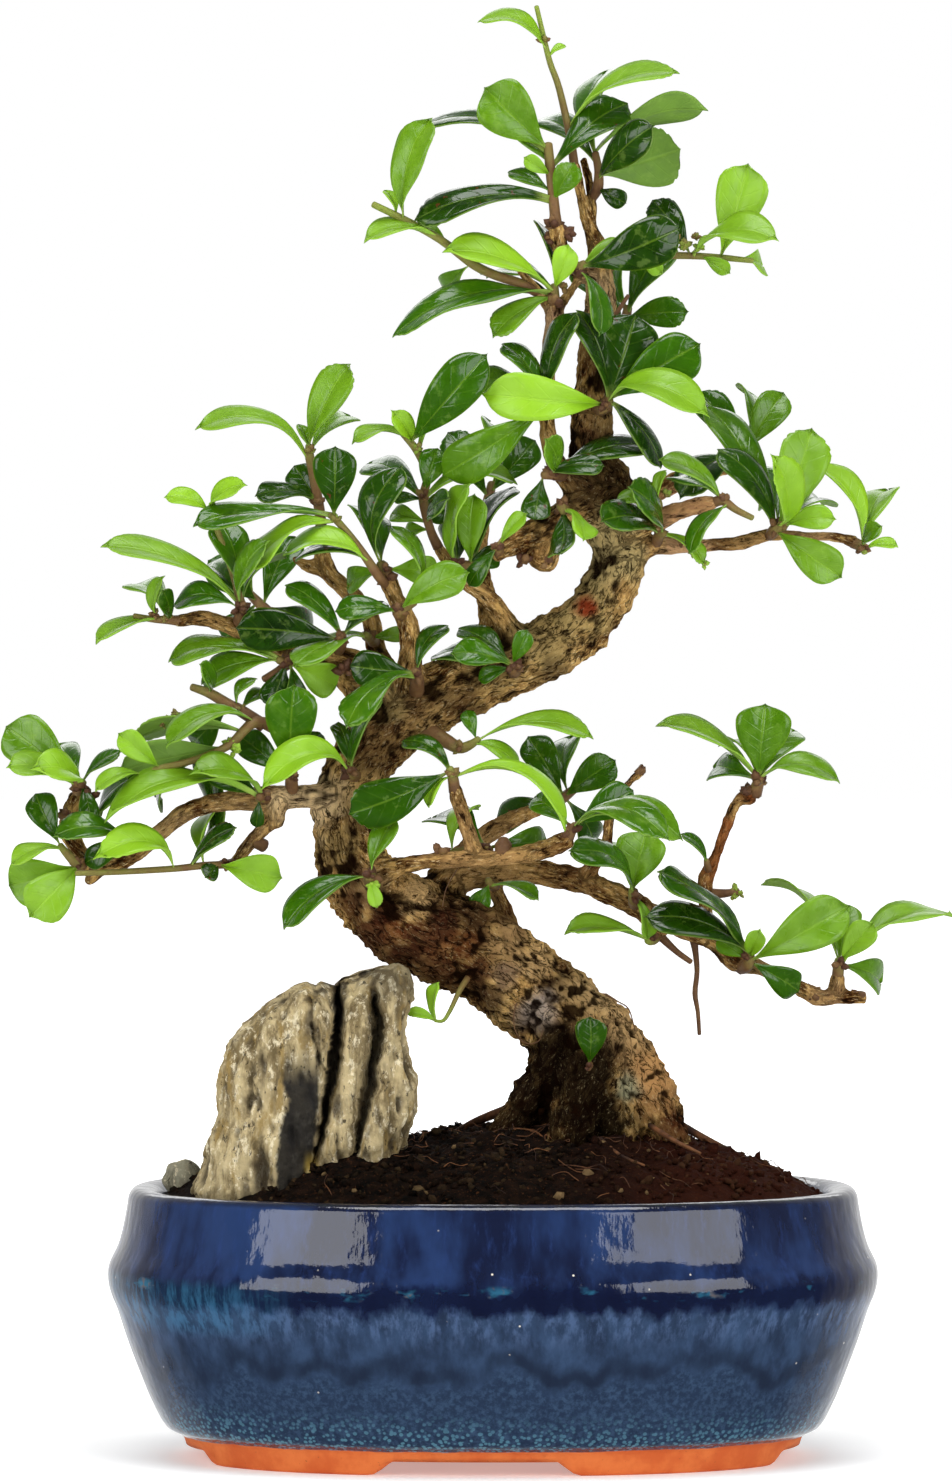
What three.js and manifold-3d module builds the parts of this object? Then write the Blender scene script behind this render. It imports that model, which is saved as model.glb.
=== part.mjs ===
// Fukien tea bonsai in a glazed oval pot.
//
// Millimetres, +Z up, standing on Z = 0, its front towards -Y. Places on the tree are read off a
// full-size front view of it: "across" from the view's left edge, "down" from its top edge, and
// "back" behind the pot's long axis, which lies in the plane of the view. Points in front of or
// behind that plane slide along the line of sight, as they do to the eye.

import * as THREE from "three";
import { mergeVertices } from "three/addons/utils/BufferGeometryUtils.js";
import Module from "manifold-3d";

const wasm = await Module();
wasm.setup();

// The front view: where the pot's middle and the standing surface lie in it, and the eye.
const MIDDLE_ACROSS = 123.25;
const BENCH_DOWN = 364.25;
const EYE_DISTANCE = 2400;
const EYE_HEIGHT = 230;

// Pot: half lengths from its middle, heights above the standing surface.
const POT_HALF_LENGTH = 96.5;
const POT_HALF_DEPTH = 75;
const POT_HEIGHT = 67.5;
const POT_SQUARENESS = 2.3;
const POT_SIDES = 26;
const POT_FLOOR_TOP = 14;
const POT_WALL_INSIDE = 83.3;
const FOOT_GAP_HEIGHT = 4.3;
const FOOT_GAP_LEFT = -26;
const FOOT_GAP_RIGHT = 18;
const FOOT_GAP_AT_ENDS = 48;
const DRAIN_HOLE_RADIUS = 7;

// Plastic mesh over the drain hole.
const MESH_SIZE = 24;
const MESH_THICKNESS = 1;
const MESH_HOLE_SIZE = 3.4;
const MESH_HOLE_ROWS = [-5.4, 0, 5.4];

// Soil: a low mound from just under the rim to the foot of the trunk.
const SOIL_EDGE_HEIGHT = 65.6;
const SOIL_RISE = 17.6;

// The tall stone stands in front of the trunk.
const STONE_BACK = -22;
const STONE_SIDES = 20;
const GROOVE_DEPTH = 5.5;
const GROOVE_WIDTH = 3.2;
const PEBBLE_RADIUS = 4.8;

// Wood and leaves.
const TRUNK_SIDES = 10;
const LIMB_SIDES = 5;
const TWIG_SIDES = 4;
const TWIG_RADIUS = 2.6;
const BLADE_THICKNESS = 0.9;
const BLADE_WIDTH_RATIO = 0.46;
const BLADE_MOST_WIDTH = 11;
const BROAD_BLADE_SEEN = 8;
const LEAF_SPACING = 2.2;
const WOOD_SPACING = 1.6;

// Neighbouring pieces stay this far apart.
const GAP = 0.3;

const DARK_LEAF = new THREE.Color("#2c6214");
const LIME_LEAF = new THREE.Color("#9cc737");

// A point of the front view, pushed back along the line of sight.
function seen(across, down, back) {
  const spread = (EYE_DISTANCE + back) / EYE_DISTANCE;
  const eyeDown = BENCH_DOWN - EYE_HEIGHT;
  const x = (across - MIDDLE_ACROSS) * spread;
  return new THREE.Vector3(x, back, EYE_HEIGHT - (down - eyeDown) * spread);
}

function clamp01(value) {
  return Math.min(1, Math.max(0, value));
}

// A closed three.js geometry as a solid, with its faces pointing out.
function solid(geometry) {
  const bare = geometry.clone();
  bare.deleteAttribute("normal");
  bare.deleteAttribute("uv");
  const merged = mergeVertices(bare, 1e-4);
  const triVerts = new Uint32Array(merged.index.array);
  const vertProperties = new Float32Array(merged.attributes.position.array);
  const made = new wasm.Manifold(new wasm.Mesh({ numProp: 3, vertProperties, triVerts }));
  if (made.volume() > 0) return made;
  return new wasm.Manifold(
    new wasm.Mesh({ numProp: 3, vertProperties, triVerts: triVerts.reverse() }),
  );
}

function union(solids) {
  return solids.reduce((whole, piece) => whole.add(piece));
}

// The largest body of a solid, without the scraps that a cut leaves.
function largestBody(whole) {
  const bodies = whole.decompose();
  return bodies.reduce((best, body) => (body.volume() > best.volume() ? body : best));
}

function meshOf(name, body, material) {
  const { numProp, vertProperties, triVerts } = body.getMesh();
  const count = vertProperties.length / numProp;
  const position = new THREE.BufferAttribute(new Float32Array(count * 3), 3);
  for (let i = 0; i < count; i++) {
    const start = i * numProp;
    position.setXYZ(i, ...vertProperties.subarray(start, start + 3));
  }
  const geometry = new THREE.BufferGeometry().setAttribute("position", position);
  geometry.setIndex(new THREE.BufferAttribute(new Uint32Array(triVerts), 1));
  geometry.computeVertexNormals();
  const mesh = new THREE.Mesh(geometry, material);
  mesh.name = name;
  return mesh;
}

function finish(color, roughness) {
  return new THREE.MeshStandardMaterial({ color, roughness, metalness: 0 });
}

// Pot and soil share an oval plan. A profile of [half length, height] points is turned on a
// lathe, then each ring is drawn out to the rounded rectangle of its own half depth.

function halfDepth(halfLength) {
  const difference = POT_HALF_LENGTH - POT_HALF_DEPTH;
  const evenFrom = 60;
  if (halfLength > evenFrom) return halfLength - difference;
  return (halfLength * (evenFrom - difference)) / evenFrom;
}

function ovalPoint(halfLength, angle) {
  const cos = Math.cos(angle);
  const sin = Math.sin(angle);
  const power = Math.abs(cos) ** POT_SQUARENESS + Math.abs(sin) ** POT_SQUARENESS;
  const reach = power ** (-1 / POT_SQUARENESS);
  return [halfLength * cos * reach, halfDepth(halfLength) * sin * reach];
}

function ovalLathe(profile, lift = () => 0) {
  const points = profile.map(([halfLength, height]) => new THREE.Vector2(halfLength, height));
  const geometry = new THREE.LatheGeometry(points, POT_SIDES).rotateX(Math.PI / 2);
  const position = geometry.attributes.position;
  for (let i = 0; i < position.count; i++) {
    const radius = Math.hypot(position.getX(i), position.getY(i));
    const angle = Math.atan2(position.getY(i), position.getX(i));
    const [x, y] = radius < 1e-6 ? [0, 0] : ovalPoint(radius, angle);
    const z = position.getZ(i);
    position.setXYZ(i, x, y, z + lift(x, y, z));
  }
  return geometry;
}

function box(width, depth, height, x, y, z) {
  return solid(new THREE.BoxGeometry(width, depth, height).translate(x, y, z));
}

function uprightCylinder(radius, bottom, top) {
  const geometry = new THREE.CylinderGeometry(radius, radius, top - bottom, 20);
  return solid(geometry.rotateX(Math.PI / 2).translate(0, 0, (bottom + top) / 2));
}

// Pot: foot ring, flared bowl, ridge, upper band, rounded lip, plain inside and floor.
function makePot() {
  const profile = [
    [0, 5.5],
    [66, 5.5],
    [67, 0],
    [76, 0],
    [77.6, 5.6],
    [83.2, 9.8],
    [88.4, 21.5],
    [94.5, 36.6],
    [POT_HALF_LENGTH, 46],
    [95.6, 50],
    [92.6, 55.5],
    [91.4, 64],
    [90.2, POT_HEIGHT - 0.6],
    [88.2, POT_HEIGHT],
    [85.6, POT_HEIGHT - 0.2],
    [POT_WALL_INSIDE, 65.2],
    [POT_WALL_INSIDE, 48],
    [78.5, 24],
    [66, POT_FLOOR_TOP],
    [0, POT_FLOOR_TOP],
  ];
  const below = 2;
  const gapHeight = FOOT_GAP_HEIGHT + below;
  const gapMiddle = FOOT_GAP_HEIGHT / 2 - below / 2;
  const frontGapWidth = FOOT_GAP_RIGHT - FOOT_GAP_LEFT;
  const frontGapMiddle = (FOOT_GAP_RIGHT + FOOT_GAP_LEFT) / 2;
  const across = 2 * POT_HALF_LENGTH;
  const deep = 2 * POT_HALF_DEPTH;
  const frontGap = box(frontGapWidth, deep, gapHeight, frontGapMiddle, 0, gapMiddle);
  const endGap = box(across, FOOT_GAP_AT_ENDS, gapHeight, 0, 0, gapMiddle);
  const drain = uprightCylinder(DRAIN_HOLE_RADIUS, -1, POT_FLOOR_TOP + 1);
  return solid(ovalLathe(profile)).subtract(frontGap).subtract(endGap).subtract(drain);
}

// Mesh over the drain hole: a thin square with rows of square holes.
function makeDrainMesh() {
  const middle = POT_FLOOR_TOP + GAP + MESH_THICKNESS / 2;
  let sheet = box(MESH_SIZE, MESH_SIZE, MESH_THICKNESS, 0, 0, middle);
  for (const x of MESH_HOLE_ROWS) {
    for (const y of MESH_HOLE_ROWS) {
      const hole = box(MESH_HOLE_SIZE, MESH_HOLE_SIZE, 2 * MESH_THICKNESS, x, y, middle);
      sheet = sheet.subtract(hole);
    }
  }
  return sheet;
}

function moundHeight(x, y) {
  const share = clamp01(Math.hypot(x / POT_WALL_INSIDE, y / halfDepth(POT_WALL_INSIDE)));
  const lumps = Math.sin(0.21 * x + 1) * Math.cos(0.27 * y) + 0.6 * Math.sin(0.47 * x + 0.39 * y);
  const quietEdge = 1 - share ** 4;
  return SOIL_EDGE_HEIGHT + SOIL_RISE * (1 - share ** 3) + 1.1 * lumps * quietEdge;
}

// Soil: fills the pot to its floor, with a recess over the drain mesh.
function makeSoil() {
  const inside = POT_WALL_INSIDE - GAP;
  const bottom = POT_FLOOR_TOP + GAP + 0.05;
  const profile = [
    [0, bottom],
    [65.7, bottom],
    [78.1, 24.6],
    [inside, 48.2],
    [inside, SOIL_EDGE_HEIGHT],
    [0.84 * inside, SOIL_EDGE_HEIGHT],
    [0.6 * inside, SOIL_EDGE_HEIGHT],
    [0.3 * inside, SOIL_EDGE_HEIGHT],
    [0, SOIL_EDGE_HEIGHT],
  ];
  const lift = (x, y, z) => (Math.abs(z - SOIL_EDGE_HEIGHT) < 0.01 ? moundHeight(x, y) - z : 0);
  const recessSize = MESH_SIZE + 2 * GAP;
  const recessHeight = 2 * (MESH_THICKNESS + 2 * GAP);
  const recess = box(recessSize, recessSize, recessHeight, 0, 0, POT_FLOOR_TOP);
  return solid(ovalLathe(profile, lift)).subtract(recess);
}

// The tall stone's left and right edges down its front view, and its half depth there.
const STONE_LEVELS = [
  // down, left, right, half depth
  [243, 74, 102.2, 8],
  [247.5, 69, 103.4, 11],
  [254.5, 62.4, 101.8, 13],
  [263, 56.6, 102.2, 14],
  [270, 54.6, 104.6, 14.5],
  [277.5, 54, 104.6, 15],
  [284, 52, 102, 15],
  [291, 50, 100, 15],
  [298, 47.6, 99.2, 15],
  [314, 52, 98, 13],
];

// The two grooves run down its front: [down, across] points.
const STONE_GROOVES = [
  [
    [247.5, 83],
    [255, 84.4],
    [264, 82.6],
    [273, 80.8],
    [282, 79.5],
    [297.5, 76.8],
  ],
  [
    [249.7, 93.3],
    [257.3, 95.5],
    [266.3, 92.9],
    [273, 91.5],
    [282, 90.2],
    [290, 89.3],
  ],
];

function grooveAcross(groove, down) {
  const after = groove.findIndex(([level]) => level >= down);
  if (after === 0) return groove[0][1];
  if (after < 0) return groove[groove.length - 1][1];
  const [downA, acrossA] = groove[after - 1];
  const [downB, acrossB] = groove[after];
  return acrossA + ((acrossB - acrossA) * (down - downA)) / (downB - downA);
}

// One boulder, boxy in plan, its top sloping up to the right, grown by "grow" on all sides.
function makeTallStone(grow) {
  const levels = STONE_LEVELS.length - 1;
  const geometry = new THREE.CylinderGeometry(1, 1, 1, STONE_SIDES, levels);
  const position = geometry.attributes.position;
  const slopeOfTop = 0.17;
  const boxiness = 2.8;
  for (let i = 0; i < position.count; i++) {
    const level = Math.round((0.5 - position.getY(i)) * levels);
    const [down, left, right, deep] = STONE_LEVELS[level];
    const onAxis = Math.hypot(position.getX(i), position.getZ(i)) < 0.5;
    const angle = Math.atan2(position.getZ(i), position.getX(i));
    const cos = Math.cos(angle);
    const sin = Math.sin(angle);
    const reach = (Math.abs(cos) ** boxiness + Math.abs(sin) ** boxiness) ** (-1 / boxiness);
    const size = onAxis ? 0 : reach;
    const across = (left + right) / 2 + ((right - left) / 2 + grow) * cos * size;
    const tilt = Math.max(0, 1 - level) * slopeOfTop * ((left + right) / 2 - across);
    const wobble = 0.9 * Math.sin(0.9 * down + 2 * angle) + 0.7 * Math.sin(3 * angle + 0.4 * down);
    let depth = (deep + grow) * sin * size;
    if (sin < 0 && !onAxis) {
      for (const groove of STONE_GROOVES) {
        const offset = (across - grooveAcross(groove, down)) / GROOVE_WIDTH;
        depth += GROOVE_DEPTH * Math.exp(-offset * offset) * Math.min(1, -2 * sin);
      }
      depth += wobble * -sin;
    }
    const top = level === 0 ? grow : 0;
    const bottom = level === levels ? -grow : 0;
    const place = seen(across, down + tilt - top - bottom, STONE_BACK);
    position.setXYZ(i, place.x, STONE_BACK + depth, place.z);
  }
  return solid(geometry);
}

// A rounded pebble at the left rim.
function makeSmallStone(grow) {
  const geometry = new THREE.IcosahedronGeometry(PEBBLE_RADIUS, 1);
  const position = geometry.attributes.position;
  const centre = seen(45.6, 295, -1);
  for (let i = 0; i < position.count; i++) {
    const point = new THREE.Vector3().fromBufferAttribute(position, i);
    const lump = 0.06 * Math.sin(0.9 * point.x + 1.3 * point.z) + 0.05 * Math.cos(1.1 * point.y);
    point.multiplyScalar(1 + lump + grow / PEBBLE_RADIUS);
    point.multiply(new THREE.Vector3(1, 0.9, 1)).add(centre);
    position.setXYZ(i, point.x, point.y, point.z);
  }
  return solid(geometry);
}

// Wood: each limb is a list of [across, down, back, radius], from its root inside what it grows
// from to its end.
const TRUNK = [
  [149, 308, 0, 12],
  [149, 293, 0, 15],
  [148.5, 280, 0, 17],
  [148.5, 267, 0, 15.5],
  [141.5, 254.5, 0, 12.6],
  [131, 244, -1, 11.4],
  [118, 235.5, -3, 12],
  [104, 229.5, -5, 12],
  [93, 221.5, -6, 10.5],
  [86.5, 211.5, -6, 8.8],
  [85.5, 202.5, -5, 7.8],
  [88, 194, -4, 8],
  [94.5, 185.5, -3, 8.4],
  [102.5, 178.8, -2, 8.6],
  [112.5, 173, -1, 8.6],
  [124, 168, 1, 8.1],
  [135, 163, 3, 8],
  [145, 156.5, 5, 7.6],
  [151.5, 148, 6, 7.2],
  [154.5, 139, 6, 7.2],
  [153.5, 130, 5, 8.6],
  [150, 121.5, 4, 8.2],
  [147.5, 112, 3, 6.2],
  [148, 100, 2, 4.7],
  [149, 88, 2, 4.4],
  [150, 76, 1, 4.2],
  [150, 66, 0, 3.2],
  [148.8, 60, 0, 2.2],
];

const ROOTS = {
  left: [
    [144, 260, -3, 9],
    [135, 269, -7, 7],
    [127, 279, -9, 5.4],
    [120, 291, -10, 3.6],
  ],
  right: [
    [153, 262, 0, 9],
    [161, 272, -4, 7.6],
    [167, 283, -8, 5.6],
    [171, 295, -10, 4],
  ],
  front: [
    [147, 261, -6, 8],
    [145, 272, -15, 7],
    [142, 283, -23, 5.4],
    [139, 296, -29, 3.6],
  ],
  back: [
    [150, 260, 6, 8],
    [153, 271, 16, 6.6],
    [156, 281, 25, 5],
    [158, 293, 32, 3.6],
  ],
};

const LIMBS = {
  leftMain: [
    [90, 199, -5, 6],
    [79, 199, -10, 3.3],
    [67.5, 199.6, -14, 3.3],
    [57, 200.2, -15, 2.7],
    [47, 202.8, -16, 2.5],
    [40, 208, -17, 2.4],
    [33, 214, -18, 2.3],
    [25, 217, -19, 2.4],
    [20, 213, -19, 2.2],
    [17, 206, -18, 2.6],
    [19.3, 199, -17, 2.6],
  ],
  leftMainLobe: [
    [69, 200.5, -14, 3.2],
    [68.8, 206, -14, 2.2],
  ],
  leftTwig: [
    [68.6, 204, -14, 2.2],
    [65.6, 207.5, -13, 2],
    [62, 211.5, -12, 1.9],
    [58.6, 216.2, -11, 1.7],
  ],
  leftSpur: [
    [25, 216.5, -19, 2.2],
    [22.2, 220.6, -19, 1.5],
  ],
  brownBranch: [
    [100, 177, -2, 6],
    [92, 167.5, -5, 3.6],
    [82, 163.3, -8, 2.9],
    [71, 162, -10, 2.8],
    [58.5, 156.8, -11, 2.4],
    [50, 154.6, -12, 2.3],
    [44.2, 155.4, -12, 1.8],
  ],
  upperLeft: [
    [99, 175, 3, 5],
    [94, 162, 6, 2.7],
    [92.5, 154, 7, 2.6],
    [87, 147.8, 7, 2.5],
    [82, 142.6, 6, 2.6],
    [80.6, 137, 6, 1.9],
    [80.4, 131.5, 5, 1.7],
  ],
  upperLeftStub: [
    [83, 143.6, 6, 2.2],
    [76.8, 141.4, 6, 1.7],
    [73.2, 139.5, 6, 1],
  ],
  cutStub: [
    [101, 174, -4, 5],
    [102.6, 164, -7, 3],
    [102, 156.5, -8, 2.8],
    [99.6, 151, -9, 2.6],
    [97, 145.4, -9, 2.5],
  ],
  middleBranch: [
    [129, 162, 2, 6],
    [126, 155, 0, 2.9],
    [121.5, 149, -2, 2.4],
    [116.5, 145.6, -3, 2.2],
    [112.5, 141, -4, 1.9],
    [109.4, 136.6, -4, 1.6],
  ],
  gnarly: [
    [150, 126, 0, 7],
    [142, 129, -6, 4.6],
    [134, 133.6, -10, 4.2],
    [127.5, 136.5, -12, 3.2],
    [123.8, 139, -13, 2.1],
  ],
  gnarlyHook: [
    [133.5, 134.5, -10, 3],
    [133.8, 140, -11, 2.2],
    [137.2, 141, -12, 2.2],
    [139, 137, -12, 1.6],
  ],
  rightUpper: [
    [153, 129, 3, 7],
    [163, 130, -2, 3.4],
    [169, 128, -5, 2.6],
    [175.5, 126.2, -8, 2.4],
    [178.6, 125.8, -9, 1.6],
  ],
  rightLower: [
    [155, 137, 4, 6],
    [164, 136.5, 6, 2.7],
    [172, 136.6, 7, 1.9],
    [180, 136.2, 8, 1.7],
    [186, 135.6, 9, 2.1],
    [192, 133.8, 10, 1.8],
    [202, 134, 11, 1.4],
    [209, 134.3, 12, 1.4],
    [213.6, 135.6, 13, 1.9],
  ],
  leftStem: [
    [148, 124, 0, 5],
    [140.5, 118, -6, 2.8],
    [137.2, 110, -8, 2.3],
    [136.8, 98, -8, 2],
    [137.2, 88, -7, 2],
    [138.4, 80, -6, 2.3],
    [138.3, 76.5, -6, 2.4],
  ],
  leftStemSpur: [
    [138.4, 78, -6, 2],
    [134.6, 73.4, -7, 1.6],
    [129.6, 67.4, -8, 1.1],
  ],
  leftStemStub: [
    [138.8, 78, -5, 1.8],
    [144.3, 70.6, -3, 1.2],
  ],
  leader: [
    [150, 68, 0, 3],
    [148.6, 60, 0, 2.3],
    [146, 52, 0, 1.6],
    [143.6, 41, -1, 1.4],
  ],
  crownKnob: [
    [150, 70, 0, 3],
    [143.5, 67, -3, 2.2],
    [140, 62, -5, 2.2],
    [139, 57, -6, 2.4],
  ],
  crownStub: [
    [147.6, 57, 1, 1.8],
    [147.8, 48.5, 3, 1.5],
    [145.8, 40, 5, 1.1],
  ],
  lowerRightFront: [
    [92, 219.5, -10, 4.4],
    [100, 216.6, -17, 2.4],
    [109, 215.2, -20, 2.2],
    [117, 215, -21, 2.2],
    [126, 214.4, -22, 2.2],
    [134, 213, -22, 2.4],
    [140.4, 210.8, -22, 2.7],
    [141.8, 209.4, -22, 2.1],
  ],
  oliveTwig: [
    [119.6, 215, -21, 2.2],
    [117.5, 209.5, -19, 2.2],
    [115.4, 203, -18, 2.1],
    [113.6, 197, -18, 1.9],
  ],
  lowerRight: [
    [106, 227, 2, 8],
    [113, 219.8, 3, 4.8],
    [121, 218.3, 4, 3.6],
    [132, 217.9, 5, 3.4],
    [144, 220, 5, 3.3],
    [155, 224.3, 6, 3.2],
    [161, 227.4, 7, 3],
    [170, 232.3, 8, 2.3],
    [177.5, 235.6, 9, 2.2],
    [184, 240.4, 10, 3],
    [190, 241.9, 11, 2.1],
    [196.5, 245.3, 12, 1.9],
    [204.5, 249.3, 13, 2.3],
    [210, 249.3, 14, 1.9],
    [216, 249.4, 15, 1.9],
  ],
  lowerRightSpur: [
    [209, 249, 14, 1.9],
    [209.3, 246.4, 14, 2.3],
    [209.5, 244, 14, 1.9],
  ],
  lowerRightKnob: [
    [161, 228, 7, 2.6],
    [163.6, 231, 6, 2.3],
    [164.6, 234, 5, 2],
  ],
  forkTwig: [
    [145, 220.5, 5, 2.5],
    [148.5, 216, 3, 2.2],
    [151.5, 212, 2, 1.6],
    [152.2, 206, 1, 1.5],
    [154, 200.5, 2, 1.2],
    [157, 196, 2, 1],
    [160, 193.3, 2, 1.1],
  ],
  archTwig: [
    [121, 219, 4, 2.5],
    [124.6, 224, 2, 2],
    [127.6, 231.5, 0, 2.6],
  ],
  uprightTwig: [
    [176.6, 235, 9, 2.3],
    [176.4, 226, 8, 2],
    [176.6, 219.6, 7, 2.3],
    [178.8, 214.5, 6, 1.7],
    [181.5, 207, 5, 1.6],
    [184, 200.8, 4, 1.7],
    [187.6, 198.9, 3, 2.7],
  ],
  backUpper: [
    [149, 104, 3, 4],
    [151, 95, 13, 2.4],
    [155, 86, 21, 1.8],
  ],
  backLeft: [
    [96, 182, 0, 6],
    [88, 172, 14, 3],
    [78, 163, 24, 2.4],
    [70, 156, 30, 1.8],
  ],
  backMiddle: [
    [126, 166, 3, 6],
    [122, 152, 14, 3],
    [120, 140, 22, 2.3],
    [121, 130, 28, 1.8],
  ],
  backRight: [
    [152, 131, 8, 6],
    [162, 124, 18, 3],
    [173, 119, 26, 2.3],
    [182, 117, 31, 1.8],
  ],
  backLow: [
    [108, 228, 3, 8],
    [116, 214, 18, 3.4],
    [126, 206, 28, 2.5],
    [136, 202, 35, 1.8],
  ],
};

// Rings of a limb or stem: even steps along a smooth curve through its points.
function ringsOf(path, stepsPerStretch) {
  const points = path.map(([across, down, back]) => seen(across, down, back));
  const curve = new THREE.CatmullRomCurve3(points, false, "catmullrom", 0.5);
  const stretches = path.length - 1;
  const steps = stretches * stepsPerStretch;
  const rings = [];
  for (let i = 0; i <= steps; i++) {
    const along = (i / steps) * stretches;
    const from = Math.min(Math.floor(along), stretches - 1);
    const radius = THREE.MathUtils.lerp(path[from][3], path[from + 1][3], along - from);
    const centre = curve.getPoint(i / steps);
    rings.push({ centre, tangent: curve.getTangent(i / steps), radius, along });
  }
  return rings;
}

// A round limb: a capped cylinder drawn along its rings.
function tube(path, sides, grow = 0, stepsPerStretch = 1) {
  const rings = ringsOf(path, stepsPerStretch);
  const steps = rings.length - 1;
  const normals = [];
  for (const { tangent } of rings) {
    const last = normals.length ? normals[normals.length - 1] : new THREE.Vector3(0, 1, 0);
    const normal = last.clone().addScaledVector(tangent, -last.dot(tangent));
    normals.push(normal.normalize());
  }
  const geometry = new THREE.CylinderGeometry(1, 1, 1, sides, steps);
  const position = geometry.attributes.position;
  for (let i = 0; i < position.count; i++) {
    const step = Math.round((0.5 - position.getY(i)) * steps);
    const { centre, tangent, radius } = rings[step];
    const binormal = tangent.clone().cross(normals[step]);
    const lengthen = step === steps ? grow : 0;
    const point = centre.clone().addScaledVector(tangent, lengthen);
    point.addScaledVector(normals[step], position.getX(i) * (radius + grow));
    point.addScaledVector(binormal, position.getZ(i) * (radius + grow));
    position.setXYZ(i, point.x, point.y, point.z);
  }
  return solid(geometry);
}

function trunkFoot(grow) {
  const roots = Object.values(ROOTS).map((path) => tube(path, LIMB_SIDES, grow));
  return union([tube(TRUNK, TRUNK_SIDES, grow), ...roots]);
}

function growWood(grow) {
  const limbs = Object.values(LIMBS).map((path) => {
    const sides = path[0][3] > TWIG_RADIUS ? LIMB_SIDES : TWIG_SIDES;
    return tube(path, sides, grow);
  });
  return union([trunkFoot(grow), ...limbs]);
}

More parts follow.
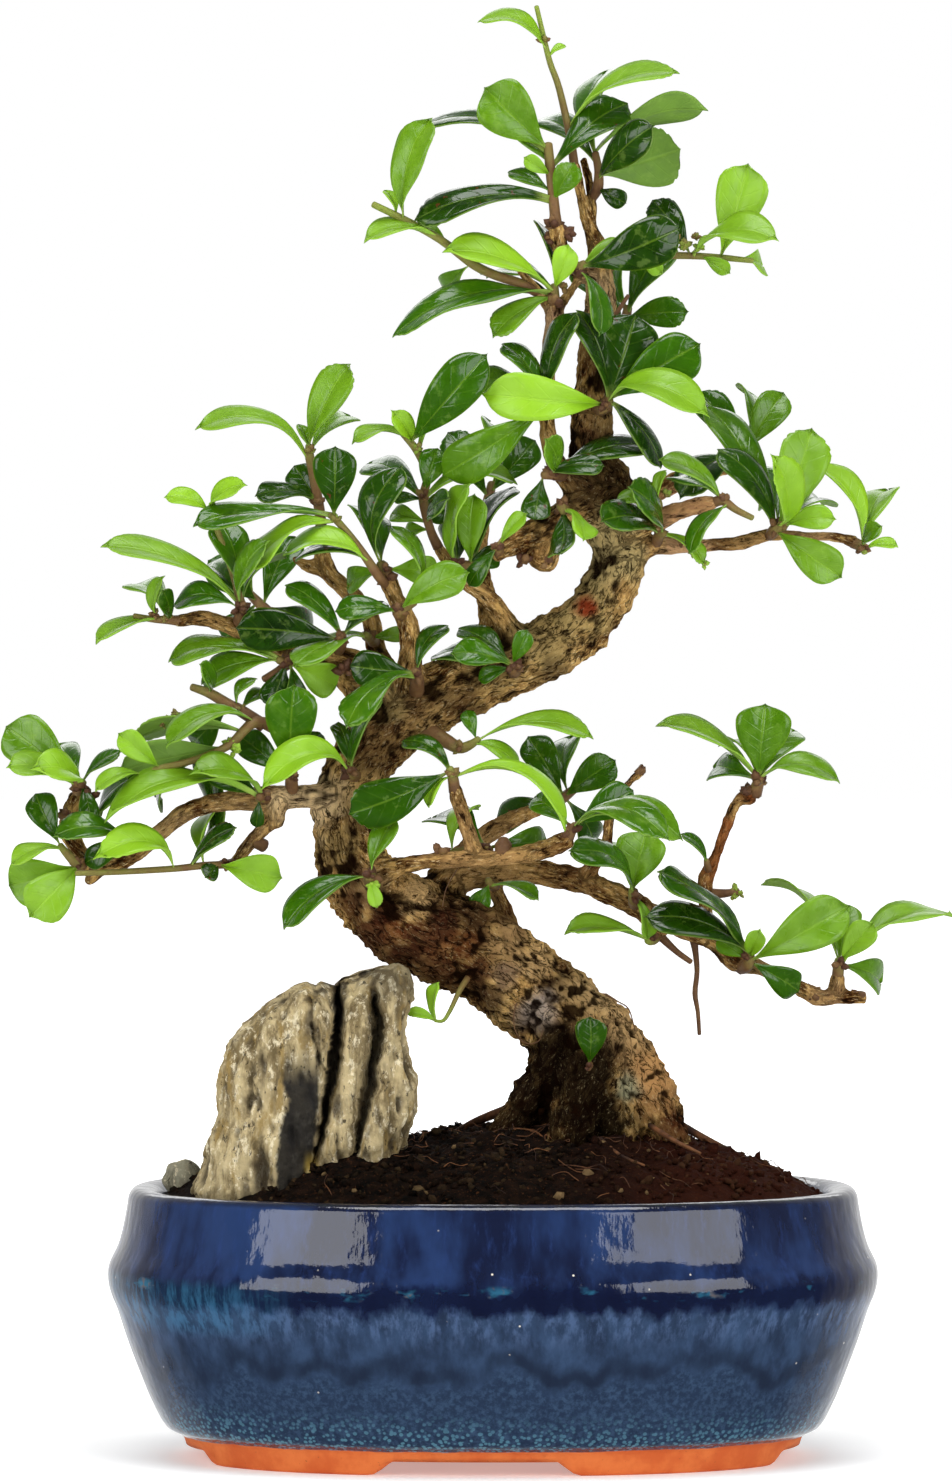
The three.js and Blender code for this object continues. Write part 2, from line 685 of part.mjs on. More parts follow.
// Leafy shoots. A stem is a list of [across, down, back, radius] that starts inside the wood. A
// leaf is [across and down of its foot, across and down of its tip, how far its tip lies behind
// its foot, the width seen from the front, its arch, its youth]. The foot moves to the nearest
// point of the stem outside the wood. A negative width shows the underside. An arch is the rise
// of the midrib over the blade's upper side as a share of the length, and hollows it if negative.
// Youth runs from 0 for old dark leaves to 1 for new lime ones.
const SPRAYS = {
  leaves_leader: {
    stem: [
      [143.6, 42, -1, 1.4],
      [142.6, 35, -1, 1.2],
      [139.8, 22.5, -2, 1],
      [137.5, 16, -2, 0.9],
      [136, 10, -2.5, 0.8],
      [134, 1.6, -3, 0.7],
    ],
    leaves: [
      [136.5, 13, 120.2, 4.5, -3, 4, 0.22, 0.8],
      [141.5, 31, 169.5, 18, -4, 4.5, 0.16, 0.75],
    ],
  },
  leaves_crown_front: {
    stem: [
      [139, 58.5, -6, 2.2],
      [138.7, 53.5, -7, 1.6],
      [138, 47, -7, 1.5],
      [137.4, 41, -7, 1.5],
      [137, 36.3, -7, 1.3],
    ],
    leaves: [
      [137.2, 38, 121, 22, -4, 14, 0.1, 0.55],
      [137, 38.5, 105.5, 31.5, -2, 5.5, 0.16, 0.15],
      [138.2, 50.5, 103.5, 55, -8, 8, 0.12, 0.1],
      [138, 48, 127, 43, 3, 4, 0.1, 0.4],
      [137.3, 41, 129.5, 33, 4, 5, 0.1, 0.5],
      [137.6, 42, 157, 26, 4, 10, 0.12, 0.2],
    ],
  },
  leaves_crown_back: {
    stem: [
      [147.8, 50, 3, 1.4],
      [149.4, 47, 1, 1.7],
      [149.6, 43, 0, 1.3],
      [148.8, 38.5, 0, 1.1],
    ],
    leaves: [
      [148.8, 38.5, 176.5, 27, 4, -6, 0.15, 0.45],
      [149.5, 45, 163, 31.5, -4, 9, 0.12, 0.1],
      [149.3, 44.5, 170, 37.5, 6, -15, 0.08, 0.4],
      [149, 40, 152, 18, 14, 8, 0.15, 0.4],
      [149, 42, 133, 30, 16, 8, 0.15, 0.3],
    ],
  },
  leaves_crown_knee: {
    stem: [
      [145.5, 68, -3, 1.7],
      [144.2, 67.5, -8, 1.8],
      [146, 66, -9, 1.2],
    ],
    leaves: [
      [144.4, 67, 165.5, 55, -6, 12, 0.12, 0.1],
      [145.8, 66.4, 156, 61, 3, 5, 0.1, 0.75],
      [144.3, 68, 150, 84, -8, 5, 0.18, 0.35],
    ],
  },
  leaves_green_shoot_right: {
    stem: [
      [150.6, 67.6, 1, 2.2],
      [157, 64.4, 4, 1.3],
      [170, 64, 6, 1.1],
      [180, 64.5, 7, 1],
      [188, 65.3, 7, 0.8],
    ],
    leaves: [
      [179, 64, 187, 41, -4, 13, 0.1, 1],
      [174, 64, 193.5, 58.5, -5, 5, 0.15, 0.8],
      [172, 64, 163, 50, 5, 8, 0.12, 0.15],
      [184, 65, 203, 72, 14, 9, 0.15, 0.8],
    ],
  },
  leaves_green_shoot_left: {
    stem: [
      [134.6, 73.4, -7, 1.5],
      [130, 71, -9, 1.5],
      [123, 68.6, -10, 1.4],
      [118, 66, -11, 1.4],
      [110, 60, -12, 1.2],
      [101, 55, -13, 1.1],
      [93.4, 51.3, -14, 1],
    ],
    leaves: [
      [101, 55, 107, 29.5, -3, 9, 0.12, 0.85],
      [110, 60, 91, 60.5, -3, 4, 0.18, 0.8],
      [113, 62, 104, 56.5, 5, 3.4, 0.1, 0.75],
      [118, 66, 104, 74, 12, 8, 0.15, 0.7],
    ],
  },
  leaves_left_knob: {
    stem: [
      [138.3, 78, -6, 2],
      [138.4, 74.4, -7, 1.8],
      [138.6, 71.5, -7, 1.2],
    ],
    leaves: [
      [138.5, 74, 111, 62.5, -6, 6, 0.14, 1],
      [138.5, 72, 142, 61.5, -4, 6.5, 0.1, 1],
      [138.4, 72.5, 135, 56, 4, 5, 0.1, 0.15],
      [138, 73.5, 98, 83.5, -9, 6.5, 0.14, 0.4],
      [138, 74.5, 122, 74.5, 3, 4.5, 0.1, 0.15],
      [138.3, 75, 123, 84, -6, 6.5, 0.1, 0.6],
      [138, 73, 121.5, 68.5, 8, 5, 0.1, 0.5],
    ],
  },
  leaves_mid_crown: {
    stem: [
      [149, 102.4, 0, 2.4],
      [151.2, 101.6, -6, 2.2],
      [152.2, 100, -8, 1.5],
    ],
    leaves: [
      [151.5, 100, 166.5, 80.5, -3, 12, 0.12, 0.15],
      [152.5, 99.5, 175, 90, -6, 13, 0.1, 0.45],
      [152, 101, 177.5, 104, -8, 6, 0.2, 0.8],
      [152, 102, 121, 98.5, -10, 11.5, 0.12, 1],
    ],
  },
  leaves_left_stem: {
    stem: [
      [137, 103, -8, 1.5],
      [136.7, 101.8, -12, 1.7],
      [136.5, 100, -13, 1.2],
    ],
    leaves: [
      [136.6, 101, 118, 94, 5, 7, 0.1, 0.5],
      [137, 102.2, 111, 117, -5, 10, 0.1, 0.35],
      [136.8, 100.8, 126, 85.5, -3, 6, 0.12, 0.3],
    ],
  },
  leaves_below_crown: {
    stem: [
      [141, 119, -6, 2],
      [138.5, 118.6, -11, 1.8],
      [135.8, 118.8, -12, 1.3],
    ],
    leaves: [
      [136.4, 119, 151, 116.5, -3, 5.5, 0.12, 0.15],
      [138.3, 118, 163, 111.5, 1, 6.5, 0.12, 0.1],
      [135.8, 118.8, 133.6, 130, -4, 7.5, -0.12, 0.2],
    ],
  },
  leaves_burl_right: {
    stem: [
      [164, 136, 5, 1.8],
      [164.8, 133.8, -1, 1.6],
      [166, 133.4, -3, 1.1],
    ],
    leaves: [
      [164.8, 133.6, 150.5, 130, -8, 6.5, 0.12, 0.2],
      [165.4, 133.4, 158, 121.5, -6, 5, 0.1, 0.3],
      [165.8, 133.6, 176, 141, -2, 3.6, 0.14, 0.7],
    ],
  },
  leaves_right_upper: {
    stem: [
      [177.6, 126, -8.6, 1.6],
      [180.6, 125.2, -10, 1.5],
      [184, 127.5, -11, 1.1],
      [188, 129.5, -11, 0.9],
    ],
    leaves: [
      [180.4, 125, 165, 114.5, -3, 5, 0.12, 0.6],
      [180.6, 125.2, 168, 119.5, 3, 5, 0.1, 0.35],
      [182, 126, 172, 138, -6, 4, 0.15, 0.4],
    ],
  },
  leaves_right_mid: {
    stem: [
      [192.4, 134, 9, 1.6],
      [193.8, 132.5, 5, 1.9],
      [196, 131.6, 4, 1.3],
    ],
    leaves: [
      [193.4, 132.2, 180, 112, -4, 8, 0.14, 0.2],
      [193.4, 132.2, 177, 101, 4, 9, 0.12, 0.45],
      [194.4, 132, 203, 107, 2, 13, 0.12, 0.5],
      [195, 131.8, 194.5, 114.5, -6, 7, 0.12, 0.9],
      [196, 131.6, 204, 119, -6, 5, 0.12, 0.15],
      [193.8, 132.6, 210.5, 144.5, -4, 10, 0.15, 0.65],
      [196, 131.6, 208.5, 129.5, -4, 6, 0.1, 0.8],
      [194.4, 132, 188, 116, 22, 9, 0.15, 0.4],
      [195, 132, 206, 126, 24, 8, 0.15, 0.5],
    ],
  },
  leaves_right_end: {
    stem: [
      [213.2, 135.6, 13, 1.8],
      [215.6, 136.8, 12, 1.6],
      [216.2, 138, 11, 1.1],
    ],
    leaves: [
      [215.5, 136.6, 202, 116, -4, 6, 0.18, 1],
      [215.5, 136.6, 222, 122, 16, 8, 0.15, 0.7],
    ],
  },
  leaves_olive_stem: {
    stem: [
      [109.6, 137, -4, 1.6],
      [107.6, 132.5, -5, 1.3],
      [105.8, 125, -6, 1.4],
      [106.8, 119, -6, 1.2],
      [104.4, 113, -6, 1.2],
      [100.8, 108.5, -6, 1],
    ],
    leaves: [
      [103.8, 111.5, 123.5, 89.5, -3, 11, 0.12, 0.35],
      [104.4, 113, 114, 98.5, 4, 4, 0.1, 0.7],
      [101.5, 109.5, 88, 110.5, -4, 3, 0.18, 0.75],
      [105.8, 124, 109.5, 112, -3, 7.5, 0.12, 0.4],
      [105.8, 124.6, 129, 119.5, -5, 5, 0.16, 0.7],
      [105.8, 124.6, 92, 116, 16, 8, 0.15, 0.3],
    ],
  },
  leaves_branch_upright: {
    stem: [
      [113.4, 142.6, -4, 1.7],
      [114.2, 141.4, -9, 1.7],
      [117.8, 141.4, -9, 1.4],
    ],
    leaves: [
      [114.2, 141, 116, 121, -3, 4, 0.1, 0.65],
      [117.6, 141, 118.5, 123.5, -3, 8, 0.1, 0.6],
      [114, 141, 111.8, 125, 3, 4, 0.1, 0.15],
      [117.6, 141.2, 128.5, 121.5, 6, 5, 0.12, 0.15],
    ],
  },
  leaves_gnarly: {
    stem: [
      [142, 129, -6, 2.2],
      [140.4, 126.6, -12, 1.7],
      [141, 128, -14, 1.2],
    ],
    leaves: [
      [140.4, 126.6, 139.4, 138.6, -3, 6.5, -0.1, 0.15],
    ],
  },
  leaves_gnarly_end: {
    stem: [
      [125, 138.3, -12.5, 1.8],
      [124.4, 136.8, -17, 1.5],
      [125.4, 136, -17, 1],
    ],
    leaves: [
      [124.4, 136.8, 117, 146.5, 0, 5, 0.1, 0.2],
    ],
  },
  leaves_cut_stub: {
    stem: [
      [97.4, 147, -9, 1.9],
      [96.6, 143, -10, 1.7],
      [95, 141, -11, 1.4],
    ],
    leaves: [
      [95.2, 141, 100.5, 116.5, -3, 8.5, 0.26, 0.15],
      [96.4, 142.6, 109.5, 143.3, 4, 8, 0.15, 0.65],
      [95.4, 141.4, 90, 127, 20, 8, 0.15, 0.3],
    ],
  },
  leaves_toothed: {
    stem: [
      [101, 154, -8, 2],
      [99.6, 153, -14, 1.8],
      [103.6, 150.6, -14, 1.1],
    ],
    leaves: [
      [99.8, 152.8, 117.3, 143, -4, 9, 0.12, 0.6],
      [99.4, 153, 83.8, 152.5, -3, 6, 0.15, 0.3],
      [103.4, 150.8, 97.2, 131.5, 1, 4, 0.26, 0.5],
    ],
  },
  leaves_olive_left: {
    stem: [
      [97.2, 147, -9, 1.4],
      [94.6, 144, -13, 1.5],
      [91.5, 139.5, -14, 1.3],
      [88, 134.6, -13, 1.1],
      [84, 130, -12, 1.1],
      [82.4, 128.8, -12, 0.9],
    ],
    leaves: [
      [83.4, 129.5, 83.8, 111.6, -4, 11, 0.1, 0.15],
      [83, 129.3, 48.3, 130.7, -8, 5.5, 0.06, 0.4],
      [84.2, 130.2, 62.1, 143.3, -5, 5.5, 0.15, 0.95],
      [92.6, 141.4, 71, 137.5, -4, 5, 0.22, 0.95],
      [92, 140.6, 73.8, 139.9, 3, 4, 0.2, 0.15],
    ],
  },
  leaves_left_upright: {
    stem: [
      [80.4, 132.6, 5, 1.7],
      [79.8, 127, 4, 1.6],
      [78.2, 118, 3, 1.4],
      [77.4, 114, 2, 1.4],
      [77.2, 111.4, 2, 1],
    ],
    leaves: [
      [77.2, 112.2, 87.3, 90.9, -2, 9.4, 0.12, 0.8],
      [77.6, 115.5, 48.9, 107.2, -5, 5, 0.25, 0.75],
      [79.6, 126.4, 73.6, 116.4, 3, 8, 0.1, 0.2],
      [79.4, 125.4, 63.8, 123.9, 6, 5, 0.15, 0.15],
      [77.3, 113, 88, 104, 16, 8, 0.15, 0.6],
    ],
  },
  leaves_far_left_tip: {
    stem: [
      [45.4, 155.2, -12, 1.7],
      [42, 155, -13, 1.3],
      [38, 154.8, -14, 1],
      [33.6, 154, -15, 0.8],
    ],
    leaves: [
      [41, 155, 23.8, 160.6, -5, 3.2, 0.1, 0.75],
      [40, 155, 40.7, 144, -4, 2.8, 0.18, 0.7],
      [42, 155, 33, 146, 16, 7, 0.15, 0.5],
    ],
  },
  leaves_far_left_up: {
    stem: [
      [59.4, 156.6, -11, 1.9],
      [60.2, 152.6, -14, 1.8],
      [59, 146, -13, 1.1],
      [55.6, 136, -12, 0.9],
      [52.7, 128.4, -12, 0.9],
    ],
    leaves: [
      [60, 151.6, 25.4, 136.3, -6, 5.5, 0.12, 0.75],
      [60, 151.6, 55.2, 130.2, -5, 9, 0.1, 0.4],
      [60.2, 151.8, 66.8, 135, 4, 5, 0.15, 0.5],
      [60.2, 152.4, 71.5, 139.2, 3, 2.6, 0.15, 0.3],
      [60, 152.6, 43.2, 151.4, 4, 6, 0.3, 0.35],
      [52.8, 128.8, 41.3, 124, -3, 4.4, 0.18, 1],
      [52.8, 128.6, 61.6, 121.2, -2, 3.6, 0.18, 0.95],
      [59.6, 149, 50, 142, 18, 8, 0.15, 0.4],
    ],
  },
  leaves_dark_big: {
    stem: [
      [84, 163.4, -8, 2],
      [85.4, 160.4, -13, 1.8],
      [85.4, 158.4, -13, 1.2],
    ],
    leaves: [
      [85, 159.6, 58.8, 157, -6, 11, 0.06, 0.05],
      [85.3, 158.8, 71.8, 145.8, -2, 6, 0.1, 0.35],
      [85.4, 159.4, 96, 150.5, 2, 5, 0.1, 0.2],
    ],
  },
  leaves_grey_green: {
    stem: [
      [94, 161, 6, 1.9],
      [92.4, 159.4, 0, 1.6],
      [91.4, 158.8, -3, 1.1],
    ],
    leaves: [
      [91.6, 158.8, 73.5, 166.5, -14, 5, 0.1, 0.55],
    ],
  },
  leaves_under_branch: {
    stem: [
      [72, 163, -10, 2.1],
      [72, 165.6, -15, 1.7],
      [69.6, 165, -16, 1.2],
    ],
    leaves: [
      [71.6, 165.4, 67.8, 177, -2, 8.5, -0.1, 0.1],
      [72, 165.6, 74.5, 184.5, 3, 7, 0.1, 0.15],
      [70, 165.2, 42, 164, -3, 6, 0.12, 0.55],
      [70, 165.2, 50, 170.6, 4, 7, 0.12, 0.5],
      [72, 165.6, 84, 171.5, 6, 9, 0.1, 0.8],
    ],
  },
  leaves_lower_left_tip: {
    stem: [
      [19, 200.6, -17, 2],
      [19.8, 197.2, -18, 1.8],
      [20.6, 195.4, -18, 1.3],
    ],
    leaves: [
      [19.9, 196.6, 1.4, 181.5, 3, 13, 0.08, 0.55],
      [19.8, 197.2, 2.3, 190.9, -3, 5, 0.1, 0.8],
      [20, 197, 8.5, 191.7, -7, 5, 0.18, 0.9],
      [20.6, 195.8, 30.1, 187.6, -2, 2.8, 0.1, 0.3],
      [20, 196.8, 14, 186, 16, 8, 0.15, 0.4],
    ],
  },
  leaves_lower_left_bottom: {
    stem: [
      [21, 215.4, -19, 1.9],
      [19.6, 216.4, -24, 1.7],
      [16.6, 213.4, -25, 1.3],
      [15, 211.4, -24, 1],
    ],
    leaves: [
      [15.2, 211.6, 8.7, 198.3, 3, 8, 0.1, 0.25],
      [15.8, 212.4, 2.5, 215.8, -3, 4, 0.15, 0.85],
      [19.4, 216.2, 2, 221.5, -4, 12, 0.08, 0.95],
      [19.6, 216.4, 7.5, 229, -8, 12, 0.1, 0.95],
    ],
  },
  leaves_glossy_left: {
    stem: [
      [34.5, 213, -18, 1.6],
      [33.8, 210.6, -22, 1.5],
      [32, 209.8, -23, 1.1],
    ],
    leaves: [
      [32.6, 210, 13.3, 208.8, -3, 6, 0.2, 0.4],
      [33, 210.2, 21, 216, 8, 6, 0.15, 0.2],
    ],
  },
  leaves_runner: {
    stem: [
      [59, 215.6, -11, 1.5],
      [55.6, 216.2, -15, 1.2],
      [51, 216.4, -18, 1.1],
      [43.4, 217.2, -22, 1],
      [30, 218, -28, 0.9],
      [19, 218.4, -32, 0.8],
    ],
    leaves: [
      [42.6, 217.3, 24, 213.4, -6, 6, 0.3, 1],
      [48.5, 216.7, 48.3, 185.3, 3, 6, -0.2, 0.2],
      [47.5, 216.8, 58.9, 206.7, -6, 4, 0.12, 0.15],
      [50.5, 216.4, 58.4, 199.2, 4, 3.6, 0.15, 0.7],
      [55, 216.2, 70.6, 219.6, -3, 9.5, 0.06, 0.85],
    ],
  },
  leaves_left_branch: {
    stem: [
      [67, 200, -14, 2.1],
      [65.6, 199.4, -19, 1.7],
      [64.6, 199.8, -20, 1.2],
    ],
    leaves: [
      [65, 199.8, 26, 204.7, -5, 4.5, 0.2, 0.75],
      [65.2, 199.4, 47.7, 193, -3, 4, 0.2, 0.65],
      [65.4, 199.4, 52.5, 191.5, 4, 8, 0.1, 0.15],
    ],
  },
  leaves_broad_left: {
    stem: [
      [73, 199.4, -12, 2.2],
      [72.8, 194.8, -16, 1.8],
      [72.8, 193, -16, 1.2],
    ],
    leaves: [
      [72.8, 193.6, 73.5, 171.2, -5, 13, 0.08, 0.4],
      [72.8, 194, 60, 184, 6, 8, 0.1, 0.3],
      [72.8, 194.2, 80, 183, 6, 6, 0.1, 0.15],
    ],
  },
  leaves_lime_toothed: {
    stem: [
      [89.5, 194, -6, 2.6],
      [88, 193.6, -15, 1.8],
      [87.6, 192, -16, 1.3],
    ],
    leaves: [
      [87.8, 193.4, 65.5, 196.3, -6, 7, 0.3, 0.95],
      [87.8, 192.6, 95.3, 173.9, -1, 4.5, 0.15, 0.2],
      [87.6, 192, 84.4, 180.5, 3, 5, 0.1, 0.15],
    ],
  },
  leaves_mid_left: {
    stem: [
      [80, 187, -9, 2.4],
      [72, 184, -14, 2],
      [64, 180.5, -18, 1.7],
      [57, 186.5, -22, 1.3],
      [48, 190.2, -25, 1.1],
      [40, 192, -26, 0.9],
      [35.6, 193.6, -26, 0.8],
    ],
    leaves: [
      [57.6, 186, 29.6, 192.5, -2, -10, 0.06, 0.45],
      [60, 183.6, 33, 184.5, 5, -5, 0.1, 0.5],
      [40.4, 191.8, 29.5, 183.3, -3, 6.5, 0.1, 0.85],
      [36.4, 193.4, 23.7, 197.8, -3, 3.6, 0.2, 0.8],
      [37.4, 193, 24, 204.2, 4, 4.6, 0.1, 0.15],
      [64, 180.8, 41.3, 186.8, -8, 4.5, 0.22, 0.6],
      [50, 189.6, 40, 200, 14, 8, 0.15, 0.3],
    ],
  },
  leaves_olive_twig: {
    stem: [
      [66, 181.5, -17, 2],
      [60, 177.6, -16, 1.8],
      [57.5, 176.4, -16, 1.7],
      [52.5, 173.4, -16, 1.5],
      [48, 171.8, -16, 1.1],
    ],
    leaves: [
      [57.5, 176.4, 48, 186, 16, 8, 0.15, 0.3],
    ],
  },
  leaves_trunk_top: {
    stem: [
      [104, 174, -6, 2.5],
      [104.3, 169.4, -14, 1.9],
      [103.6, 167.6, -15, 1.3],
    ],
    leaves: [
      [104.2, 168.6, 111.7, 156.1, 3, 5, 0.2, 0.2],
      [103.8, 168, 87.4, 166.5, -2, 9, 0.08, 0.1],
      [104.2, 169, 86.2, 181.2, -6, 6, 0.15, 0.4],
    ],
  },
  leaves_trunk_top_right: {
    stem: [
      [128.5, 168, -2, 2.5],
      [128.3, 167.4, -11, 1.8],
      [127.8, 165.6, -12, 1.3],
    ],
    leaves: [
      [128, 166.4, 112.8, 163, -4, 6.5, 0.12, 0.4],
      [127.9, 166, 114.6, 157, 4, 6, 0.1, 0.25],
      [128, 166.4, 107.6, 163.8, 3, 5, 0.1, 0.3],
    ],
  },
  leaves_oval_dark: {
    stem: [
      [113.7, 198, -18, 1.8],
      [113.2, 194.6, -19, 1.6],
      [112.4, 192.2, -20, 1.2],
    ],
    leaves: [
      [112.6, 192.6, 87.1, 203.6, -5, 12, 0.08, 0.2],
      [112.9, 193.4, 100.5, 185.2, 2, 5, 0.3, 0.2],
      [113, 194, 107.1, 202, -6, 3, 0.2, 0.9],
      [113.2, 194.4, 141.6, 207, -6, 2.8, 0.26, 1],
    ],
  },
  leaves_pale_centre: {
    stem: [
      [103, 181, -3, 4],
      [111, 185, -10, 2.2],
      [114.8, 187, -12, 1.7],
      [117.6, 186.2, -13, 1.4],
      [119.6, 184.8, -14, 1],
    ],
    leaves: [
      [119.3, 185, 148.2, 183.6, -4, 4, 0.14, 0.75],
      [117.8, 186.2, 129.7, 192.4, -3, 3.6, 0.2, 0.75],
    ],
  },
  leaves_elbow: {
    stem: [
      [92.6, 221, -10, 3],
      [92.6, 219.4, -20, 1.8],
      [92.8, 218.2, -21, 1.3],
    ],
    leaves: [
      [92.7, 218.8, 99, 204.3, 1, 5.5, 0.15, 0.5],
      [92.6, 219.2, 70.8, 232.4, -5, 6.5, 0.15, 0.35],
    ],
  },
  leaves_front_twig: {
    stem: [
      [121.8, 215, -21, 1.6],
      [121.4, 212, -17, 1.5],
      [113, 213.2, -15, 1.1],
    ],
    leaves: [
      [121.2, 211.8, 137, 211, 3, 8, 0.25, 0.45],
      [113.4, 213.2, 119, 201.4, 2, 4.6, 0.2, 0.8],
      [121.2, 212, 108, 205, 12, 8, 0.12, 0.4],
    ],
  },
  leaves_front_knob: {
    stem: [
      [141.4, 210.4, -22, 2],
      [142.8, 207.6, -23, 1.6],
      [143.8, 206.2, -23, 1.1],
    ],
    leaves: [
      [143.4, 206.8, 158.4, 197.5, 2, 9, 0.12, 0.3],
      [143.6, 206.6, 170.6, 209, -4, 7, 0.25, 0.55],
      [143, 207.4, 167, 209, -9, 5, 0.22, 0.45],
      [143.2, 207, 134, 199, 10, 7, 0.15, 0.4],
    ],
  },
  leaves_spade: {
    stem: [
      [158.8, 226.4, 6, 2.2],
      [158.4, 224.6, 0, 1.7],
      [158.2, 222.6, -1, 1.3],
    ],
    leaves: [
      [158.3, 222.8, 161.5, 207.8, -3, 12.5, 0.08, 0.6],
      [158.2, 223, 147.6, 210.6, 4, 3.6, 0.15, 0.7],
      [158.2, 223.6, 143.1, 212, -5, 4.6, 0.18, 0.35],
      [158.4, 224.4, 161.8, 235, -4, 3.8, 0.15, 0.7],
    ],
  },
  leaves_dark_right: {
    stem: [
      [185.4, 241.8, 10, 2.4],
      [187.2, 241, 4.5, 1.9],
      [187.5, 238, 3, 1.3],
    ],
    leaves: [
      [187.4, 238.6, 164.4, 217.8, -5, 5.5, 0.15, 0.15],
      [187.3, 239, 161.3, 229, -10, 8, 0.15, 0.08],
      [187.3, 240, 212.5, 226.5, -4, 12.5, 0.15, 0.65],
      [187.3, 240, 200, 248, 14, 8, 0.15, 0.3],
    ],
  },
  leaves_far_right: {
    stem: [
      [209.4, 245, 14, 1.8],
      [209.7, 241.8, 13, 1.7],
      [209.8, 240, 13, 1.3],
    ],
    leaves: [
      [209.8, 241, 218.4, 230.6, -3, 7.5, 0.1, 0.85],
      [209.8, 241.4, 238, 227, 3, 4.5, 0.12, 0.75],
      [209.7, 240.6, 211.5, 226, 3, 9, 0.1, 0.6],
      [209.7, 240.8, 192, 219.3, 8, 3, 0.12, 0.7],
      [209.7, 241.4, 220, 246, 12, 8, 0.15, 0.5],
    ],
  },
  leaves_pale_low: {
    stem: [
      [164.4, 234, 5, 1.7],
      [163, 235.2, 1, 1.5],
      [161.8, 235.2, 0, 1.1],
    ],
    leaves: [[162, 235.2, 141.3, 232.5, -3, 3.6, 0.1, 0.75]],
  },
  leaves_rosette_right: {
    stem: [
      [188.6, 198.6, 3, 2.2],
      [189.6, 195.6, 1, 1.7],
      [189.8, 194, 1, 1.2],
    ],
    leaves: [
      [189.8, 194.6, 191.3, 175.9, -3, 14, 0.08, 0.6],
      [189.6, 195.2, 164.7, 180.3, -2, 3.6, 0.1, 0.7],
      [189.6, 195, 180, 185.5, 4, 5, 0.2, 0.6],
      [189.8, 195, 209.9, 195, -4, 5, 0.25, 0.6],
      [189.7, 195, 199, 182, 16, 9, 0.15, 0.5],
      [189.7, 195, 178, 192, 16, 8, 0.15, 0.4],
    ],
  },
  leaves_trunk_foot: {
    stem: [
      [147.4, 268, -10, 2.4],
      [147.2, 267.4, -18, 1.7],
      [147.2, 266, -18.5, 1.2],
    ],
    leaves: [[147.2, 266.4, 147.5, 254.2, -3, 8, 0.1, 0.2]],
  },
  leaves_back_upper: {
    stem: [
      [154.6, 87, 20.5, 1.8],
      [156, 82, 24, 1.8],
      [157, 77, 26, 1.3],
    ],
    leaves: [
      [156, 82, 144, 66, 6, 9, 0.15, 0.2],
      [156.4, 80, 168, 60, 4, 9, 0.15, 0.3],
      [156.6, 79, 172, 78, -6, 8, 0.15, 0.4],
      [156.8, 78, 158, 62, 20, 8, 0.2, 0.4],
      [156, 83, 166, 98, 14, 8, 0.2, 0.2],
    ],
  },
  leaves_back_left: {
    stem: [
      [71, 157, 29.5, 1.8],
      [67, 153, 33, 1.8],
      [62, 148, 36, 1.3],
    ],
    leaves: [
      [64, 150, 52, 140, -4, 9, 0.15, 0.3],
      [66, 152, 74, 134, 4, 9, 0.15, 0.3],
      [65, 151, 56, 160, 6, 8, 0.15, 0.2],
      [63, 149, 66, 136, 18, 8, 0.2, 0.4],
      [66, 152, 78, 160, 16, 8, 0.2, 0.2],
    ],
  },
  leaves_back_middle: {
    stem: [
      [120.9, 131, 27.5, 1.8],
      [122, 126, 31, 1.8],
      [123, 121, 34, 1.3],
    ],
    leaves: [
      [122, 125, 112, 108, 3, 9, 0.15, 0.3],
      [122, 124, 134, 110, 2, 9, 0.15, 0.3],
      [122, 126, 106, 128, -2, 8, 0.15, 0.2],
      [122.6, 122, 122, 106, 18, 8, 0.2, 0.5],
      [122, 126, 112, 138, 12, 8, 0.2, 0.2],
    ],
  },
  leaves_back_right: {
    stem: [
      [181, 117.3, 30.5, 1.8],
      [185, 115, 33, 1.8],
      [188, 111, 35, 1.3],
    ],
    leaves: [
      [186, 114, 196, 98, 2, 9, 0.15, 0.5],
      [185, 115, 174, 98, 2, 9, 0.15, 0.3],
      [185, 115, 170, 124, -6, 8, 0.15, 0.2],
      [187, 112, 186, 98, 18, 8, 0.2, 0.5],
      [185.6, 114.6, 192, 126, 14, 8, 0.2, 0.3],
    ],
  },
  leaves_back_low: {
    stem: [
      [135, 202.4, 34.5, 1.8],
      [140, 200, 38, 1.8],
      [144, 197, 40, 1.3],
    ],
    leaves: [
      [141, 199.4, 154, 190, -3, 9, 0.15, 0.4],
      [141, 199.4, 132, 184, 2, 9, 0.15, 0.3],
      [140, 200, 124, 206, -4, 8, 0.15, 0.2],
      [142, 199, 144, 184, 16, 8, 0.2, 0.4],
      [141, 199.4, 148, 212, 12, 8, 0.2, 0.2],
    ],
  },
};

// The right half of a blade's outline from its foot to its tip: shares of its half width across,
// and of its length along. A broad blade ends in three teeth, a slim one is cut off blunt.
const BROAD_OUTLINE = [
  [0, 0],
  [1, 0.7],
  [0.66, 0.94],
  [0.36, 0.89],
  [0, 1],
];
const SLIM_OUTLINE = [
  [0, 0],
  [1, 0.66],
  [0.42, 1],
];

function outlineOf(leaf) {
  return leaf.seenWidth >= BROAD_BLADE_SEEN ? BROAD_OUTLINE : SLIM_OUTLINE;
}

